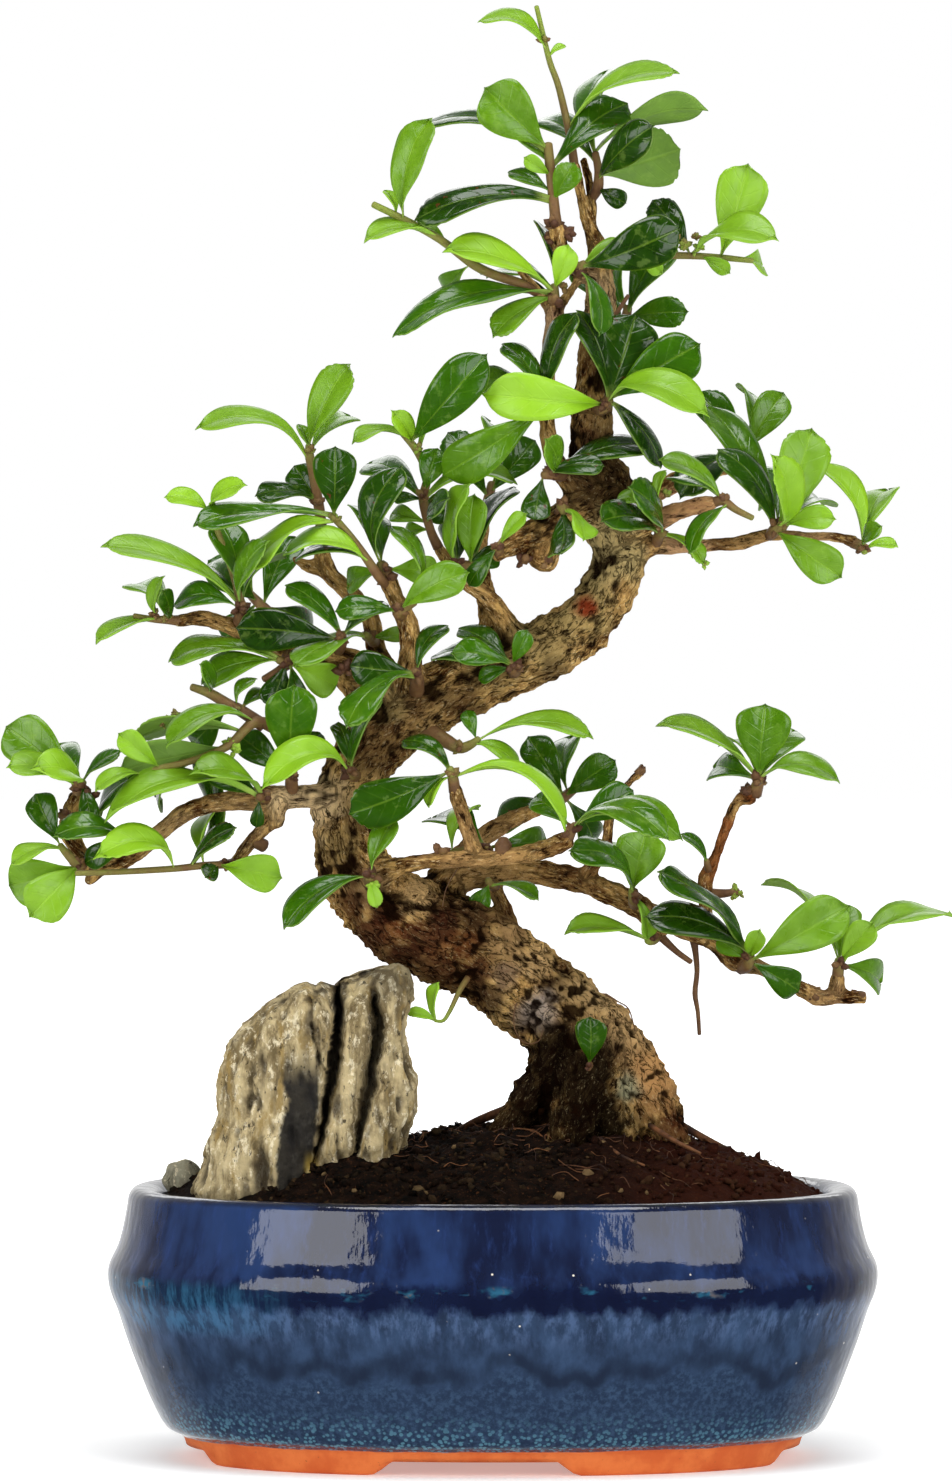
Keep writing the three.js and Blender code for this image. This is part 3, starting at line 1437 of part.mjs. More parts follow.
// Where a leaf lies: its foot, tip, width, and the directions along, across and out of its face.
function leafFrame(foot, tip, width, arch) {
  const along = tip.clone().sub(foot);
  const length = along.length();
  along.normalize();
  const seenWidth = Math.abs(width);
  const usual = Math.min(BLADE_WIDTH_RATIO * length, BLADE_MOST_WIDTH);
  const halfWidth = Math.max(seenWidth, usual) / 2;
  const turn = Math.acos(width / (2 * halfWidth));
  const toEye = new THREE.Vector3(0, -1, 0);
  toEye.addScaledVector(along, -toEye.dot(along)).normalize();
  const upper = along.clone().cross(toEye).normalize();
  if (upper.z < 0) upper.negate();
  const normal = toEye.multiplyScalar(Math.cos(turn)).addScaledVector(upper, Math.sin(turn));
  const side = along.clone().cross(normal);
  return { foot, along, side, normal, length, halfWidth, seenWidth, arch };
}

// A point of the blade: millimetres across and along it, and out of its middle face.
function bladePoint(leaf, across, along, out) {
  const share = along / leaf.length;
  const rise = leaf.arch * leaf.length * 4 * share * (1 - share);
  return leaf.foot
    .clone()
    .addScaledVector(leaf.side, across)
    .addScaledVector(leaf.along, along)
    .addScaledVector(leaf.normal, rise + out);
}

// A blade as a thin solid: its outline extruded, then bent to its arch.
function bladeSolid(leaf, grow) {
  const half = outlineOf(leaf).map(([across, along]) => {
    const halfWidth = across === 0 ? 0 : leaf.halfWidth * across + grow;
    return new THREE.Vector2(halfWidth, leaf.length * along + (along > 0 ? grow : -grow));
  });
  const edge = half.filter(({ x }) => x > 0);
  const otherHalf = edge.map(({ x, y }) => new THREE.Vector2(-x, y));
  const [foot, ...rest] = half;
  const outline = new THREE.Shape([...rest, ...otherHalf.reverse(), foot]);
  const depth = BLADE_THICKNESS + 2 * grow;
  const geometry = new THREE.ExtrudeGeometry(outline, { depth, bevelEnabled: false });
  const position = geometry.attributes.position;
  for (let i = 0; i < position.count; i++) {
    const out = position.getZ(i) - depth / 2;
    const point = bladePoint(leaf, position.getX(i), position.getY(i), out);
    position.setXYZ(i, point.x, point.y, point.z);
  }
  return solid(geometry);
}

// Points of a blade that stand for it when it is kept clear of its neighbours.
function leafSamples(leaf) {
  const outline = outlineOf(leaf);
  const samples = [];
  for (let share = 0.3; share < 1; share += 0.115) {
    const after = outline.findIndex(([, along]) => along >= share);
    const [acrossA, alongA] = outline[after - 1];
    const [acrossB, alongB] = outline[after];
    const mix = (share - alongA) / (alongB - alongA);
    const halfWidth = leaf.halfWidth * (acrossA + (acrossB - acrossA) * mix);
    for (const side of [-1, -0.5, 0, 0.5, 1]) {
      samples.push(bladePoint(leaf, side * halfWidth, share * leaf.length, 0));
    }
  }
  samples.push(bladePoint(leaf, 0, leaf.length, 0));
  return samples;
}

// Balls along the wood and the stems that leaves keep clear of.
function ballsOf(paths) {
  const stepsPerStretch = 3;
  return paths.flatMap((path) => ringsOf(path, stepsPerStretch));
}

function clearance(samples, leafPoints, balls) {
  let least = Infinity;
  for (const sample of samples) {
    for (const point of leafPoints) {
      least = Math.min(least, sample.distanceTo(point) - LEAF_SPACING);
    }
    for (const { centre, radius } of balls) {
      least = Math.min(least, sample.distanceTo(centre) - radius - WOOD_SPACING);
    }
  }
  return least;
}

// Lays out every leaf: its tip swings nearer to the eye or further off until the blade is clear.
function layOut(sprays) {
  const wood = ballsOf([TRUNK, ...Object.values(ROOTS), ...Object.values(LIMBS)]);
  const swings = [0, -3, 3, -6, 6, -9, 9, -12, 12];
  const placed = [];
  return Object.entries(sprays).map(([name, { stem, leaves }]) => {
    const feet = ringsOf(stem, 4).filter(({ along }) => along >= 1);
    const laid = leaves.map((row) => {
      const [footAcross, footDown, tipAcross, tipDown, tipBack, width, arch, youth] = row;
      const wanted = seen(footAcross, footDown, feet[0].centre.y);
      const offset = (ring) => Math.hypot(ring.centre.x - wanted.x, ring.centre.z - wanted.z);
      const nearest = feet.reduce((best, ring) => (offset(ring) < offset(best) ? ring : best));
      const foot = nearest.centre;
      let best = null;
      for (const swing of swings) {
        const tip = seen(tipAcross, tipDown, foot.y + tipBack + swing);
        const leaf = leafFrame(foot, tip, width, arch);
        const samples = leafSamples(leaf);
        const free = clearance(samples, placed, wood);
        if (best === null || free > best.free) best = { leaf, samples, free, youth };
        if (best.free >= 0) break;
      }
      placed.push(...best.samples);
      return best;
    });
    return { name, stem, laid };
  });
}

function spraySolid({ stem, laid }, grow) {
  const blades = laid.map(({ leaf }) => bladeSolid(leaf, grow));
  return union([tube(stem, TWIG_SIDES, grow), ...blades]);
}

function overlaps(a, b) {
  const first = a.boundingBox();
  const second = b.boundingBox();
  return [0, 1, 2].every((i) => first.min[i] < second.max[i] && second.min[i] < first.max[i]);
}

// Every spray, each kept clear of the wood, the stones, the soil and the sprays before it.
function makeSprays(keepOut) {
  const grown = [...keepOut];
  return layOut(SPRAYS).map((spray) => {
    let body = spraySolid(spray, 0);
    for (const other of grown) {
      if (overlaps(body, other)) body = body.subtract(other);
    }
    grown.push(spraySolid(spray, GAP));
    const youth = spray.laid.reduce((sum, { youth }) => sum + youth, 0) / spray.laid.length;
    const color = DARK_LEAF.clone().lerp(LIME_LEAF, youth);
    return meshOf(spray.name, largestBody(body), finish(color, 0.4));
  });
}

const tallStone = makeTallStone(0);
const tallStoneGrown = makeTallStone(GAP);
const smallStone = makeSmallStone(0);
const smallStoneGrown = makeSmallStone(GAP);
const soil = makeSoil()
  .subtract(trunkFoot(GAP))
  .subtract(tallStoneGrown)
  .subtract(smallStoneGrown);

const bonsai = new THREE.Group();
bonsai.add(
  meshOf("pot", makePot(), finish("#16307f", 0.12)),
  meshOf("drain_mesh", makeDrainMesh(), finish("#1d1d1d", 0.6)),
  meshOf("soil", largestBody(soil), finish("#2c2018", 0.95)),
  meshOf("stone_tall", tallStone, finish("#8b7a5c", 0.85)),
  meshOf("stone_small", smallStone, finish("#8d8672", 0.85)),
  meshOf("wood", growWood(0), finish("#9a7b4f", 0.85)),
  ...makeSprays([growWood(GAP), tallStoneGrown, makeSoil()]),
);

// The origin lies on the standing surface, under the middle of the whole object.
const bounds = new THREE.Box3().setFromObject(bonsai);
const centre = bounds.getCenter(new THREE.Vector3());
bonsai.position.set(-centre.x, -centre.y, 0);

export default bonsai;
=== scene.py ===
"""A fukien tea bonsai in a blue glazed oval pot.

Sizes are in millimetres from the middle of the pot's foot, until a finished piece is turned into
the frame's metres. Places on the tree are read off a full-size front view: across from its left
edge, down from its top edge, and back behind the pot's long axis.
"""

import math
import random

import bmesh
import bpy
import numpy as np
from mathutils import Matrix, Vector, kdtree, noise


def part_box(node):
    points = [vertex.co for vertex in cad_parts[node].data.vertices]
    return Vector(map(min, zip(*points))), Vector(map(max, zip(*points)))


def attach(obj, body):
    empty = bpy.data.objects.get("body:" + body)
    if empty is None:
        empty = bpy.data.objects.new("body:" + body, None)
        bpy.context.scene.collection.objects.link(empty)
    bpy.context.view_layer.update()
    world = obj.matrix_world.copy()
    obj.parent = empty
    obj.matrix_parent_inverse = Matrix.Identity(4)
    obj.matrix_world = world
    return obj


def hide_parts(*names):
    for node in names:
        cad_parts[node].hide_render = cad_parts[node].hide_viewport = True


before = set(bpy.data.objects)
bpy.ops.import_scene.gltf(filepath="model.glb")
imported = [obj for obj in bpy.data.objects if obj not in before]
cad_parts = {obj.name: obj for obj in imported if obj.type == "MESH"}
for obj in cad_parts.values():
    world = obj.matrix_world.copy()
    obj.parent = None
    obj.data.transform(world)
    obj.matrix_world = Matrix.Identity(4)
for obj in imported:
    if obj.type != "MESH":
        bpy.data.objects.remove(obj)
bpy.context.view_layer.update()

bl_info = {
    "name": "Fukien tea bonsai",
    "version": (1, 0, 0),
    "blender": (4, 5, 0),
    "location": "View3D > Sidebar > Bonsai",
    "description": "Builds the pot, soil, stones, wood and leaves of a potted bonsai",
    "category": "Add Mesh",
}

POT_LOW, POT_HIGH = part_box("pot")
POT_MIDDLE = (POT_LOW + POT_HIGH) / 2
TO_FRAME = Matrix.Translation((POT_MIDDLE.x, POT_MIDDLE.y, 0)) @ Matrix.Scale(0.001, 4)

# The front view and the eye
MIDDLE_ACROSS = 123.25
BENCH_DOWN = 364.25
EYE_DISTANCE = 2400
EYE_HEIGHT = 230
EYE_DOWN = BENCH_DOWN - EYE_HEIGHT
VIEW_ACROSS = -4.25
VIEW_HEIGHT = 179.1
VISIBLE_HEIGHT = 370.25

# Pot and soil
POT_SQUARENESS = 2.3
POT_HALF_LENGTH = 96.5
POT_HALF_DEPTH = 75
POT_INSIDE = 83.0
SOIL_BOTTOM = 14.35
SOIL_EDGE = 65.6
SOIL_RISE = 16.7
MOUND_HALF_LENGTH = 83.3
MOUND_HALF_DEPTH = 61.8

# Leaves and wood
LEAF_SPACING = 2.2
LEAF_THICKNESS = .42
LEAF_COLUMNS = 8
WIDEST_LEAF = 11
SWINGS = (0, -3, 3, -6, 6, -9, 9, -12, 12)
WOOD_SPACING = 1.6
WOOD_VOXEL = .75
FULL_TURN = 6.28

# Rows of the trunk and of each limb: across, down, back, radius
TRUNK = [
    (149, 308, 0, 12), (149, 293, 0, 15), (148.5, 280, 0, 17), (148.5, 267, 0, 15.5),
    (140.8, 255.3, 0, 12.3), (129.6, 245.4, -1, 11.4), (116.8, 237, -3, 12), (103, 230.8, -5, 12),
    (92, 222.4, -6, 10.4), (86.5, 211.5, -6, 8.8), (85.5, 202.5, -5, 7.8), (88, 194, -4, 8),
    (94.5, 185.5, -3, 8.4), (102.5, 178.8, -2, 8.6), (112.5, 173, -1, 8.6), (124, 168, 1, 8.1),
    (135, 163, 3, 8), (145, 156.5, 5, 7.6), (151.5, 148, 6, 7.2), (154.5, 139, 6, 7.2),
    (153.5, 130, 5, 8.6), (150, 121.5, 4, 8.2), (147.5, 112, 3, 6.2), (148, 100, 2, 4.7),
    (149, 88, 2, 4.4), (150, 76, 1, 4.2), (150, 66, 0, 3.2), (148.8, 60, 0, 2.2),
]

LIMBS = {
    "root_left": [(144.6, 260, -3, 8.8), (137, 269, -7, 6.4), (129.6, 279, -9, 5),
     (120, 291, -10, 3.6)],
    "root_right": [(153, 262, 0, 9), (161, 272, -4, 7.6), (167, 283, -8, 5.6), (171, 295, -10, 4)],
    "root_front": [(147, 261, -6, 8), (145, 272, -15, 7), (142, 283, -23, 5.4),
     (139, 296, -29, 3.6)],
    "root_back": [(150, 260, 6, 8), (153, 271, 16, 6.6), (156, 281, 25, 5), (158, 293, 32, 3.6)],
    "left_main": [(90, 199, -5, 6), (79, 199, -10, 3.3), (67.5, 199.6, -14, 3.3),
     (57, 200.2, -15, 2.7), (47, 202.8, -16, 2.5), (40, 208, -17, 2.4), (33, 214, -18, 2.3),
     (25, 217, -19, 2.4), (20, 213, -19, 2.2), (17, 206, -18, 2.6), (19.3, 199, -17, 2.6)],
    "left_main_lobe": [(69, 200.5, -14, 3.2), (68.8, 206, -14, 2.2)],
    "left_twig": [(68.6, 204, -14, 2.2), (65.6, 207.5, -13, 2), (62, 211.5, -12, 1.9),
     (58.6, 216.2, -11, 1.7)],
    "left_spur": [(25, 216.5, -19, 2.2), (22.2, 220.6, -19, 1.5)],
    "brown_branch": [(100, 177, -2, 6), (92, 167.5, -5, 3.6), (82, 163.3, -8, 2.9),
     (71, 162, -10, 2.8), (58.5, 156.8, -11, 2.4), (50, 154.6, -12, 2.3), (44.2, 155.4, -12, 1.8)],
    "upper_left": [(99, 175, 3, 5), (94, 162, 6, 2.7), (92.5, 154, 7, 2.6), (87, 147.8, 7, 2.5),
     (82, 142.6, 6, 2.6), (80.6, 137, 6, 1.9), (80.4, 131.5, 5, 1.7)],
    "upper_left_stub": [(83, 143.6, 6, 2.2), (76.8, 141.4, 6, 1.7), (73.2, 139.5, 6, 1)],
    "cut_stub": [(101, 174, -4, 5), (102.6, 164, -7, 3), (102, 156.5, -8, 2.8),
     (99.6, 151, -9, 2.6), (97, 145.4, -9, 2.5)],
    "middle_branch": [(129, 162, 2, 6), (126, 155, 0, 2.9), (121.5, 149, -2, 2.4),
     (116.5, 145.6, -3, 2.2), (112.5, 141, -4, 1.9), (109.4, 136.6, -4, 1.6)],
    "gnarly": [(150, 126, 0, 7), (142, 129, -6, 4.6), (134, 133.6, -10, 4.2),
     (127.5, 136.5, -12, 3.2), (123.8, 139, -13, 2.1)],
    "gnarly_hook": [(133.5, 134.5, -10, 3), (133.8, 140, -11, 2.2), (137.2, 141, -12, 2.2),
     (139, 137, -12, 1.6)],
    "right_upper": [(153, 129, 3, 7), (163, 130, -2, 3.4), (169, 128, -5, 2.6),
     (175.5, 126.2, -8, 2.4), (178.6, 125.8, -9, 1.6)],
    "right_lower": [(155, 137, 4, 6), (164, 136.5, 6, 2.7), (172, 136.6, 7, 1.9),
     (180, 136.2, 8, 1.7), (186, 135.6, 9, 2.1), (192, 133.8, 10, 1.8), (202, 134, 11, 1.4),
     (209, 134.3, 12, 1.4), (213.6, 135.6, 13, 1.9)],
    "left_stem": [(148, 124, 0, 5), (140.5, 118, -6, 2.8), (137.2, 110, -8, 2.3),
     (136.6, 98, -8, 2.2), (137.2, 88, -7, 2.4), (138.6, 80, -6, 2.7), (138.6, 76.5, -6, 2.6)],
    "left_stem_spur": [(138.4, 78, -6, 2), (134.6, 73.4, -7, 1.6), (129.6, 67.4, -8, 1.1)],
    "left_stem_stub": [(138.8, 78, -5, 1.8), (144.3, 70.6, -3, 1.2)],
    "leader": [(150, 68, 0, 3), (148.6, 60, 0, 2.3), (146, 52, 0, 1.6), (143.6, 41, -1, 1.4)],
    "crown_knob": [(150, 70, 0, 3), (143.5, 67, -3, 2.2), (140, 62, -5, 2.2), (139, 57, -6, 2.4)],
    "crown_stub": [(147.6, 57, 1, 1.8), (147.8, 48.5, 3, 1.5), (145.8, 40, 5, 1.1)],
    "lower_right_front": [(92, 219.5, -10, 4.4), (100, 216.6, -17, 2.4), (109, 215.2, -20, 2.2),
     (117, 215, -21, 2.2), (126, 214.4, -22, 2.2), (134, 213, -22, 2.4), (140.4, 210.8, -22, 2.7),
     (141.8, 209.4, -22, 2.1)],
    "olive_twig": [(119.6, 215, -21, 2.2), (117.5, 209.5, -19, 2.2), (115.4, 203, -18, 2.1),
     (113.6, 197, -18, 1.9)],
    "lower_right": [(106, 227, 2, 8), (113, 219.8, 3, 4.8), (121, 218.3, 4, 3.6),
     (132, 217.9, 5, 3.4), (144, 220, 5, 3.3), (155, 224.3, 6, 3.2), (161, 227.4, 7, 3),
     (170, 232.3, 8, 2.3), (177.5, 235.6, 9, 2.2), (184, 240.4, 10, 3), (190, 241.9, 11, 2.1),
     (196.5, 245.3, 12, 1.9), (204.5, 249.3, 13, 2.3), (210, 249.3, 14, 1.9),
     (216, 249.4, 15, 1.9)],
    "lower_right_spur": [(209, 249, 14, 1.9), (209.3, 246.4, 14, 2.3), (209.5, 244, 14, 1.9)],
    "lower_right_knob": [(161, 228, 7, 2.6), (163.6, 231, 6, 2.3), (164.6, 234, 5, 2)],
    "fork_twig": [(145, 220.5, 5, 2.5), (148.5, 216, 3, 2.2), (151.5, 212, 2, 1.6),
     (152.2, 206, 1, 1.5), (154, 200.5, 2, 1.2), (157, 196, 2, 1), (160, 193.3, 2, 1.1)],
    "arch_twig": [(121, 219, 4, 2.5), (124.6, 224, 2, 2), (127.6, 231.5, 0, 2.6)],
    "upright_twig": [(176.6, 235, 9, 2.3), (176.4, 226, 8, 2), (176.6, 219.6, 7, 2.3),
     (178.8, 214.5, 6, 1.7), (181.5, 207, 5, 1.6), (184, 200.8, 4, 1.7), (187.6, 198.9, 3, 2.7)],
    "back_upper": [(149, 104, 3, 4), (151, 95, 13, 2.4), (155, 86, 21, 1.8)],
    "back_left": [(96, 182, 0, 6), (88, 172, 14, 3), (78, 163, 24, 2.4), (70, 156, 30, 1.8)],
    "back_middle": [(126, 166, 3, 6), (122, 152, 14, 3), (120, 140, 22, 2.3), (121, 130, 28, 1.8)],
    "back_right": [(152, 131, 8, 6), (162, 124, 18, 3), (173, 119, 26, 2.3), (182, 117, 31, 1.8)],
    "back_low": [(108, 228, 3, 8), (116, 214, 18, 3.4), (126, 206, 28, 2.5), (136, 202, 35, 1.8)],
}

# Each leafy shoot: rows of its stem like those above, then rows of its leaves: foot across, foot
# down, tip across, tip down, tip back from the foot, width seen, arch, youth (0 old, 1 new)
SPRAYS = {
    "leader": ([(143.6, 42, -1, 1.4), (142.6, 35, -1, 1.2), (139.8, 22.5, -2, 1),
     (137.5, 16, -2, .9), (136, 10, -2.5, .8), (134.1, 1.95, -3, .7)],
    [(136.5, 13, 120.2, 4.5, -3, 4, .22, .8), (141.5, 31, 169.5, 18, -4, 4.5, .16, .75)]),
    "crown_front": ([(139, 58.5, -6, 2.2), (138.7, 53.5, -7, 1.6), (138, 47, -7, 1.5),
     (137.4, 41, -7, 1.5), (137, 36.3, -7, 1.3)],
    [(137.2, 38, 121, 22, -4, 14, .1, .55), (137, 38.5, 105.5, 31.5, -2, 5.5, .16, .15),
     (138.2, 50.5, 103.5, 55, -8, 8, .12, .1), (138, 48, 127, 43, 3, 4, .1, .4),
     (137.3, 41, 129.5, 33, 4, 5, .1, .5), (137.6, 42, 157, 26, 4, 10, .12, .2)]),
    "crown_back": ([(147.8, 50, 3, 1.4), (149.4, 47, 1, 1.7), (149.6, 43, 0, 1.3),
     (148.8, 38.5, 0, 1.1)],
    [(148.8, 38.5, 176.5, 27, 4, -6, .15, .45), (149.5, 45, 163, 31.5, -4, 9, .12, .1),
     (149.3, 44.5, 170, 37.5, 6, -15, .08, .4), (149, 40, 152, 18, 14, 8, .15, .4),
     (149, 42, 133, 30, 16, 8, .15, .3)]),
    "crown_knee": ([(145.5, 68, -3, 1.7), (144.2, 67.5, -8, 1.8), (146, 66, -9, 1.2)],
    [(144.4, 67, 170, 57.2, -6, 12.5, .14, .08), (145.8, 66.4, 156, 61, 3, 5, .1, .75),
     (144.3, 68, 150, 84, -8, 5, .18, .35)]),
    "green_shoot_right": ([(150.6, 67.6, 1, 2.2), (157, 64.4, 4, 1.3), (170, 64, 6, 1.1),
     (180, 64.5, 7, 1), (188, 65.3, 7, .8)],
    [(179, 64, 187, 41, -4, 13, .1, .85), (174, 64, 193.5, 58.5, -5, 5, .15, .8),
     (172, 64, 163, 50, 5, 8, .12, .15), (184, 65, 190, 67, 14, 6, .15, .8)]),
    "green_shoot_left": ([(134.6, 73.4, -7, 1.5), (130, 71, -9, 1.5), (123, 68.6, -10, 1.4),
     (118, 66, -11, 1.4), (110, 60, -12, 1.2), (101, 55, -13, 1.1), (93.4, 51.3, -14, 1)],
    [(101, 55, 107, 29.5, -3, 9, .12, .62), (110, 60, 91, 60.5, -3, 4, .18, .8),
     (113, 62, 104, 56.5, 5, 3.4, .1, .75), (118, 66, 112, 75, 13, 6, .15, .5)]),
    "left_knob": ([(138.3, 78, -6, 2), (138.4, 74.4, -7, 1.8), (138.6, 71.5, -7, 1.2)],
    [(138.5, 74, 111, 62.5, -6, 6, .14, 1), (138.5, 72, 142, 61.5, -4, 6.5, .1, 1),
     (138.4, 72.5, 135, 56, 4, 5, .1, .15), (138, 73.5, 98, 83.5, -9, 6.5, .14, .4),
     (138, 74.5, 122, 74.5, 3, 4.5, .1, .15), (138.3, 75, 123, 84, -6, 6.5, .1, .6),
     (138, 73, 121.5, 68.5, 8, 5, .1, .5)]),
    "mid_crown": ([(149, 102.4, 0, 2.4), (151.2, 101.6, -6, 2.2), (152.2, 100, -8, 1.5)],
    [(151.5, 100, 159, 78.6, -3, 15, .12, .12), (152.5, 98, 175, 86, -6, 13, .1, .33),
     (152, 101, 177, 103.4, -8, 7.5, .28, .8), (152, 102, 121, 98.6, -10, 12, .18, 1)]),
    "left_stem": ([(137, 103, -8, 1.5), (136.7, 101.8, -12, 1.7), (136.5, 100, -13, 1.2)],
    [(136.6, 101, 118, 94, 5, 7, .1, .5), (137, 102.2, 110.4, 119, -5, 11.5, .18, .5),
     (136.8, 100.8, 126, 85.5, -3, 6, .12, .3)]),
    "below_crown": ([(141, 119, -6, 2), (138.5, 118.6, -11, 1.8), (135.8, 118.8, -12, 1.3)],
    [(136.4, 119, 151, 116.5, -3, 5.5, .12, .15), (138.3, 118, 163, 111.5, 1, 6.5, .12, .1),
     (135.8, 118.8, 133.6, 130, -4, 7.5, -.12, .2)]),
    "burl_right": ([(164, 136, 5, 1.8), (164.8, 133.8, -1, 1.6), (166, 133.4, -3, 1.1)],
    [(164.8, 133.6, 150.5, 130, -8, 6.5, .12, .2), (165.4, 133.4, 158, 121.5, -6, 5, .1, .3),
     (165.8, 133.6, 176, 141, -2, 3.6, .14, .7)]),
    "right_upper": ([(177.6, 126, -8.6, 1.6), (180.6, 125.2, -10, 1.5), (184, 127.5, -11, 1.1),
     (188, 129.5, -11, .9)],
    [(180.4, 125, 165, 114.5, -3, 5, .12, .6), (180.6, 125.2, 168, 119.5, 3, 5, .1, .35),
     (182, 126, 172, 138, -6, 4, .15, .4)]),
    "right_mid": ([(192.4, 134, 9, 1.6), (193.8, 132.5, 5, 1.9), (196, 131.6, 4, 1.3)],
    [(193.4, 132.2, 180, 112, -4, 8, .14, .2), (193.4, 132.2, 177, 101, 4, 9, .12, .45),
     (194.4, 132, 203, 107, 2, 13, .12, .72), (195, 131.8, 194.5, 114.5, -6, 7, .12, .9),
     (196, 131.6, 204, 119, -6, 5, .12, .15), (193.8, 132.6, 210.5, 144.5, -4, 10, .15, .65),
     (196, 131.6, 208.5, 129.5, -4, 6, .1, .8), (194.4, 132, 188, 116, 22, 9, .15, .4),
     (195, 132, 206, 126, 24, 8, .15, .5)]),
    "right_end": ([(213.2, 135.6, 13, 1.8), (215.6, 136.8, 12, 1.6), (216.2, 138, 11, 1.1)],
    [(215.5, 136.6, 202, 116, -4, 6, .18, 1), (215.5, 136.6, 222, 122, 16, 8, .15, .7)]),
    "olive_stem": ([(109.6, 137, -4, 1.6), (107.6, 132.5, -5, 1.3), (105.8, 125, -6, 1.4),
     (106.8, 119, -6, 1.2), (104.4, 113, -6, 1.2), (100.8, 108.5, -6, 1)],
    [(103.4, 110.5, 121.5, 88.8, -3, 12, .24, .3), (104.4, 113, 114, 98.5, 4, 4, .1, .7),
     (101.5, 109.5, 88, 110.5, -4, 3, .18, .75), (105.8, 124, 109.5, 112, -3, 7.5, .12, .4),
     (105.8, 124.6, 129, 119.5, -5, 5, .16, .7), (105.8, 124.6, 92, 116, 16, 8, .15, .3)]),
    "branch_upright": ([(113.4, 142.6, -4, 1.7), (114.2, 141.4, -9, 1.7), (117.8, 141.4, -9, 1.4)],
    [(114.2, 141, 116, 121, -3, 4, .1, .65), (117.6, 141, 118.5, 123.5, -3, 8, .1, .6),
     (114, 141, 111.8, 125, 3, 4, .1, .15), (117.6, 141.2, 128.5, 121.5, 6, 5, .12, .15)]),
    "gnarly": ([(142, 129, -6, 2.2), (140.4, 126.6, -12, 1.7), (141, 128, -14, 1.2)],
    [(140.4, 126.6, 139.4, 138.6, -3, 6.5, -.1, .15)]),
    "gnarly_end": ([(125, 138.3, -12.5, 1.8), (124.4, 136.8, -17, 1.5), (125.4, 136, -17, 1)],
    [(124.4, 136.8, 117, 146.5, 0, 5, .1, .2)]),
    "cut_stub": ([(97.4, 147, -9, 1.9), (96.6, 143, -10, 1.7), (95, 141, -11, 1.4)],
    [(95.2, 141, 100.5, 116.5, -3, 8.5, .26, .15), (96.4, 142.6, 109.5, 143.3, 4, 8, .15, .65),
     (95.4, 141.4, 90, 127, 20, 8, .15, .3)]),
    "toothed": ([(101, 154, -8, 2), (99.6, 153, -14, 1.8), (103.6, 150.6, -14, 1.1)],
    [(99.8, 152.8, 117.3, 143, -4, 9, .12, .6), (99.4, 153, 83.8, 152.5, -3, 6, .15, .3),
     (103.4, 150.8, 97.2, 131.5, 1, 4, .26, .5)]),
    "olive_left": ([(97.2, 147, -9, 1.4), (94.6, 144, -13, 1.5), (91.5, 139.5, -14, 1.3),
     (88, 134.6, -13, 1.1), (84, 130, -12, 1.1), (82.4, 128.8, -12, .9)],
    [(83.4, 129.5, 83.8, 111.6, -4, 11, .1, .15), (83, 129.3, 48.3, 130.7, -8, 5.5, .06, .4),
     (84.2, 130.2, 62.1, 143.3, -5, 5.5, .15, .95), (92.6, 141.4, 71, 137.5, -4, 5, .22, .95),
     (92, 140.6, 73.8, 139.9, 3, 4, .2, .15)]),
    "left_upright": ([(80.4, 132.6, 5, 1.7), (79.8, 127, 4, 1.6), (78.2, 118, 3, 1.4),
     (77.4, 114, 2, 1.4), (77.2, 111.4, 2, 1)],
    [(77.2, 112.2, 87.3, 90.9, -2, 9.4, .12, .66), (77.6, 115.5, 48.9, 107.2, -5, 5, .25, .75),
     (79.6, 126.4, 73.6, 116.4, 3, 8, .1, .2), (79.4, 125.4, 63.8, 123.9, 6, 5, .15, .15),
     (77.3, 113, 88, 104, 16, 8, .15, .6)]),
    "far_left_tip": ([(45.4, 155.2, -12, 1.7), (42, 155, -13, 1.3), (38, 154.8, -14, 1),
     (33.6, 154, -15, .8)],
    [(41, 155, 23.8, 160.6, -5, 3.2, .1, .75), (40, 155, 40.7, 144, -4, 2.8, .18, .7),
     (42, 155, 33, 146, 16, 7, .15, .5)]),
    "far_left_up": ([(59.4, 156.6, -11, 1.9), (60.2, 152.6, -14, 1.8), (59, 146, -13, 1.1),
     (55.6, 136, -12, .9), (52.7, 128.4, -12, .9)],
    [(60, 151.6, 25.4, 136.3, -6, 5.5, .12, .75), (60, 151.6, 55.2, 130.2, -5, 9, .1, .4),
     (60.2, 151.8, 66.8, 135, 4, 5, .15, .5), (60.2, 152.4, 71.5, 139.2, 3, 2.6, .15, .3),
     (60, 152.6, 43.2, 151.4, 4, 6, .3, .35), (52.8, 128.8, 41.3, 124, -3, 4.4, .18, 1),
     (52.8, 128.6, 61.6, 121.2, -2, 3.6, .18, .95), (59.6, 149, 50, 142, 18, 8, .15, .4)]),
    "dark_big": ([(84, 163.4, -8, 2), (85.4, 160.4, -13, 1.8), (85.4, 158.4, -13, 1.2)],
    [(85, 159.6, 58.8, 157, -6, 11, .06, .05), (85.3, 158.8, 71.8, 145.8, -2, 6, .1, .35),
     (85.4, 159.4, 96, 150.5, 2, 5, .1, .2)]),
    "grey_green": ([(94, 161, 6, 1.9), (92.4, 159.4, 0, 1.6), (91.4, 158.8, -3, 1.1)],
    [(91.6, 158.8, 73.5, 166.5, -14, 5, .1, .55)]),
    "under_branch": ([(72, 163, -10, 2.1), (72, 165.6, -15, 1.7), (69.6, 165, -16, 1.2)],
    [(71.6, 165.4, 67.8, 177, -2, 8.5, -.1, .1), (72, 165.6, 74.5, 184.5, 3, 7, .1, .15),
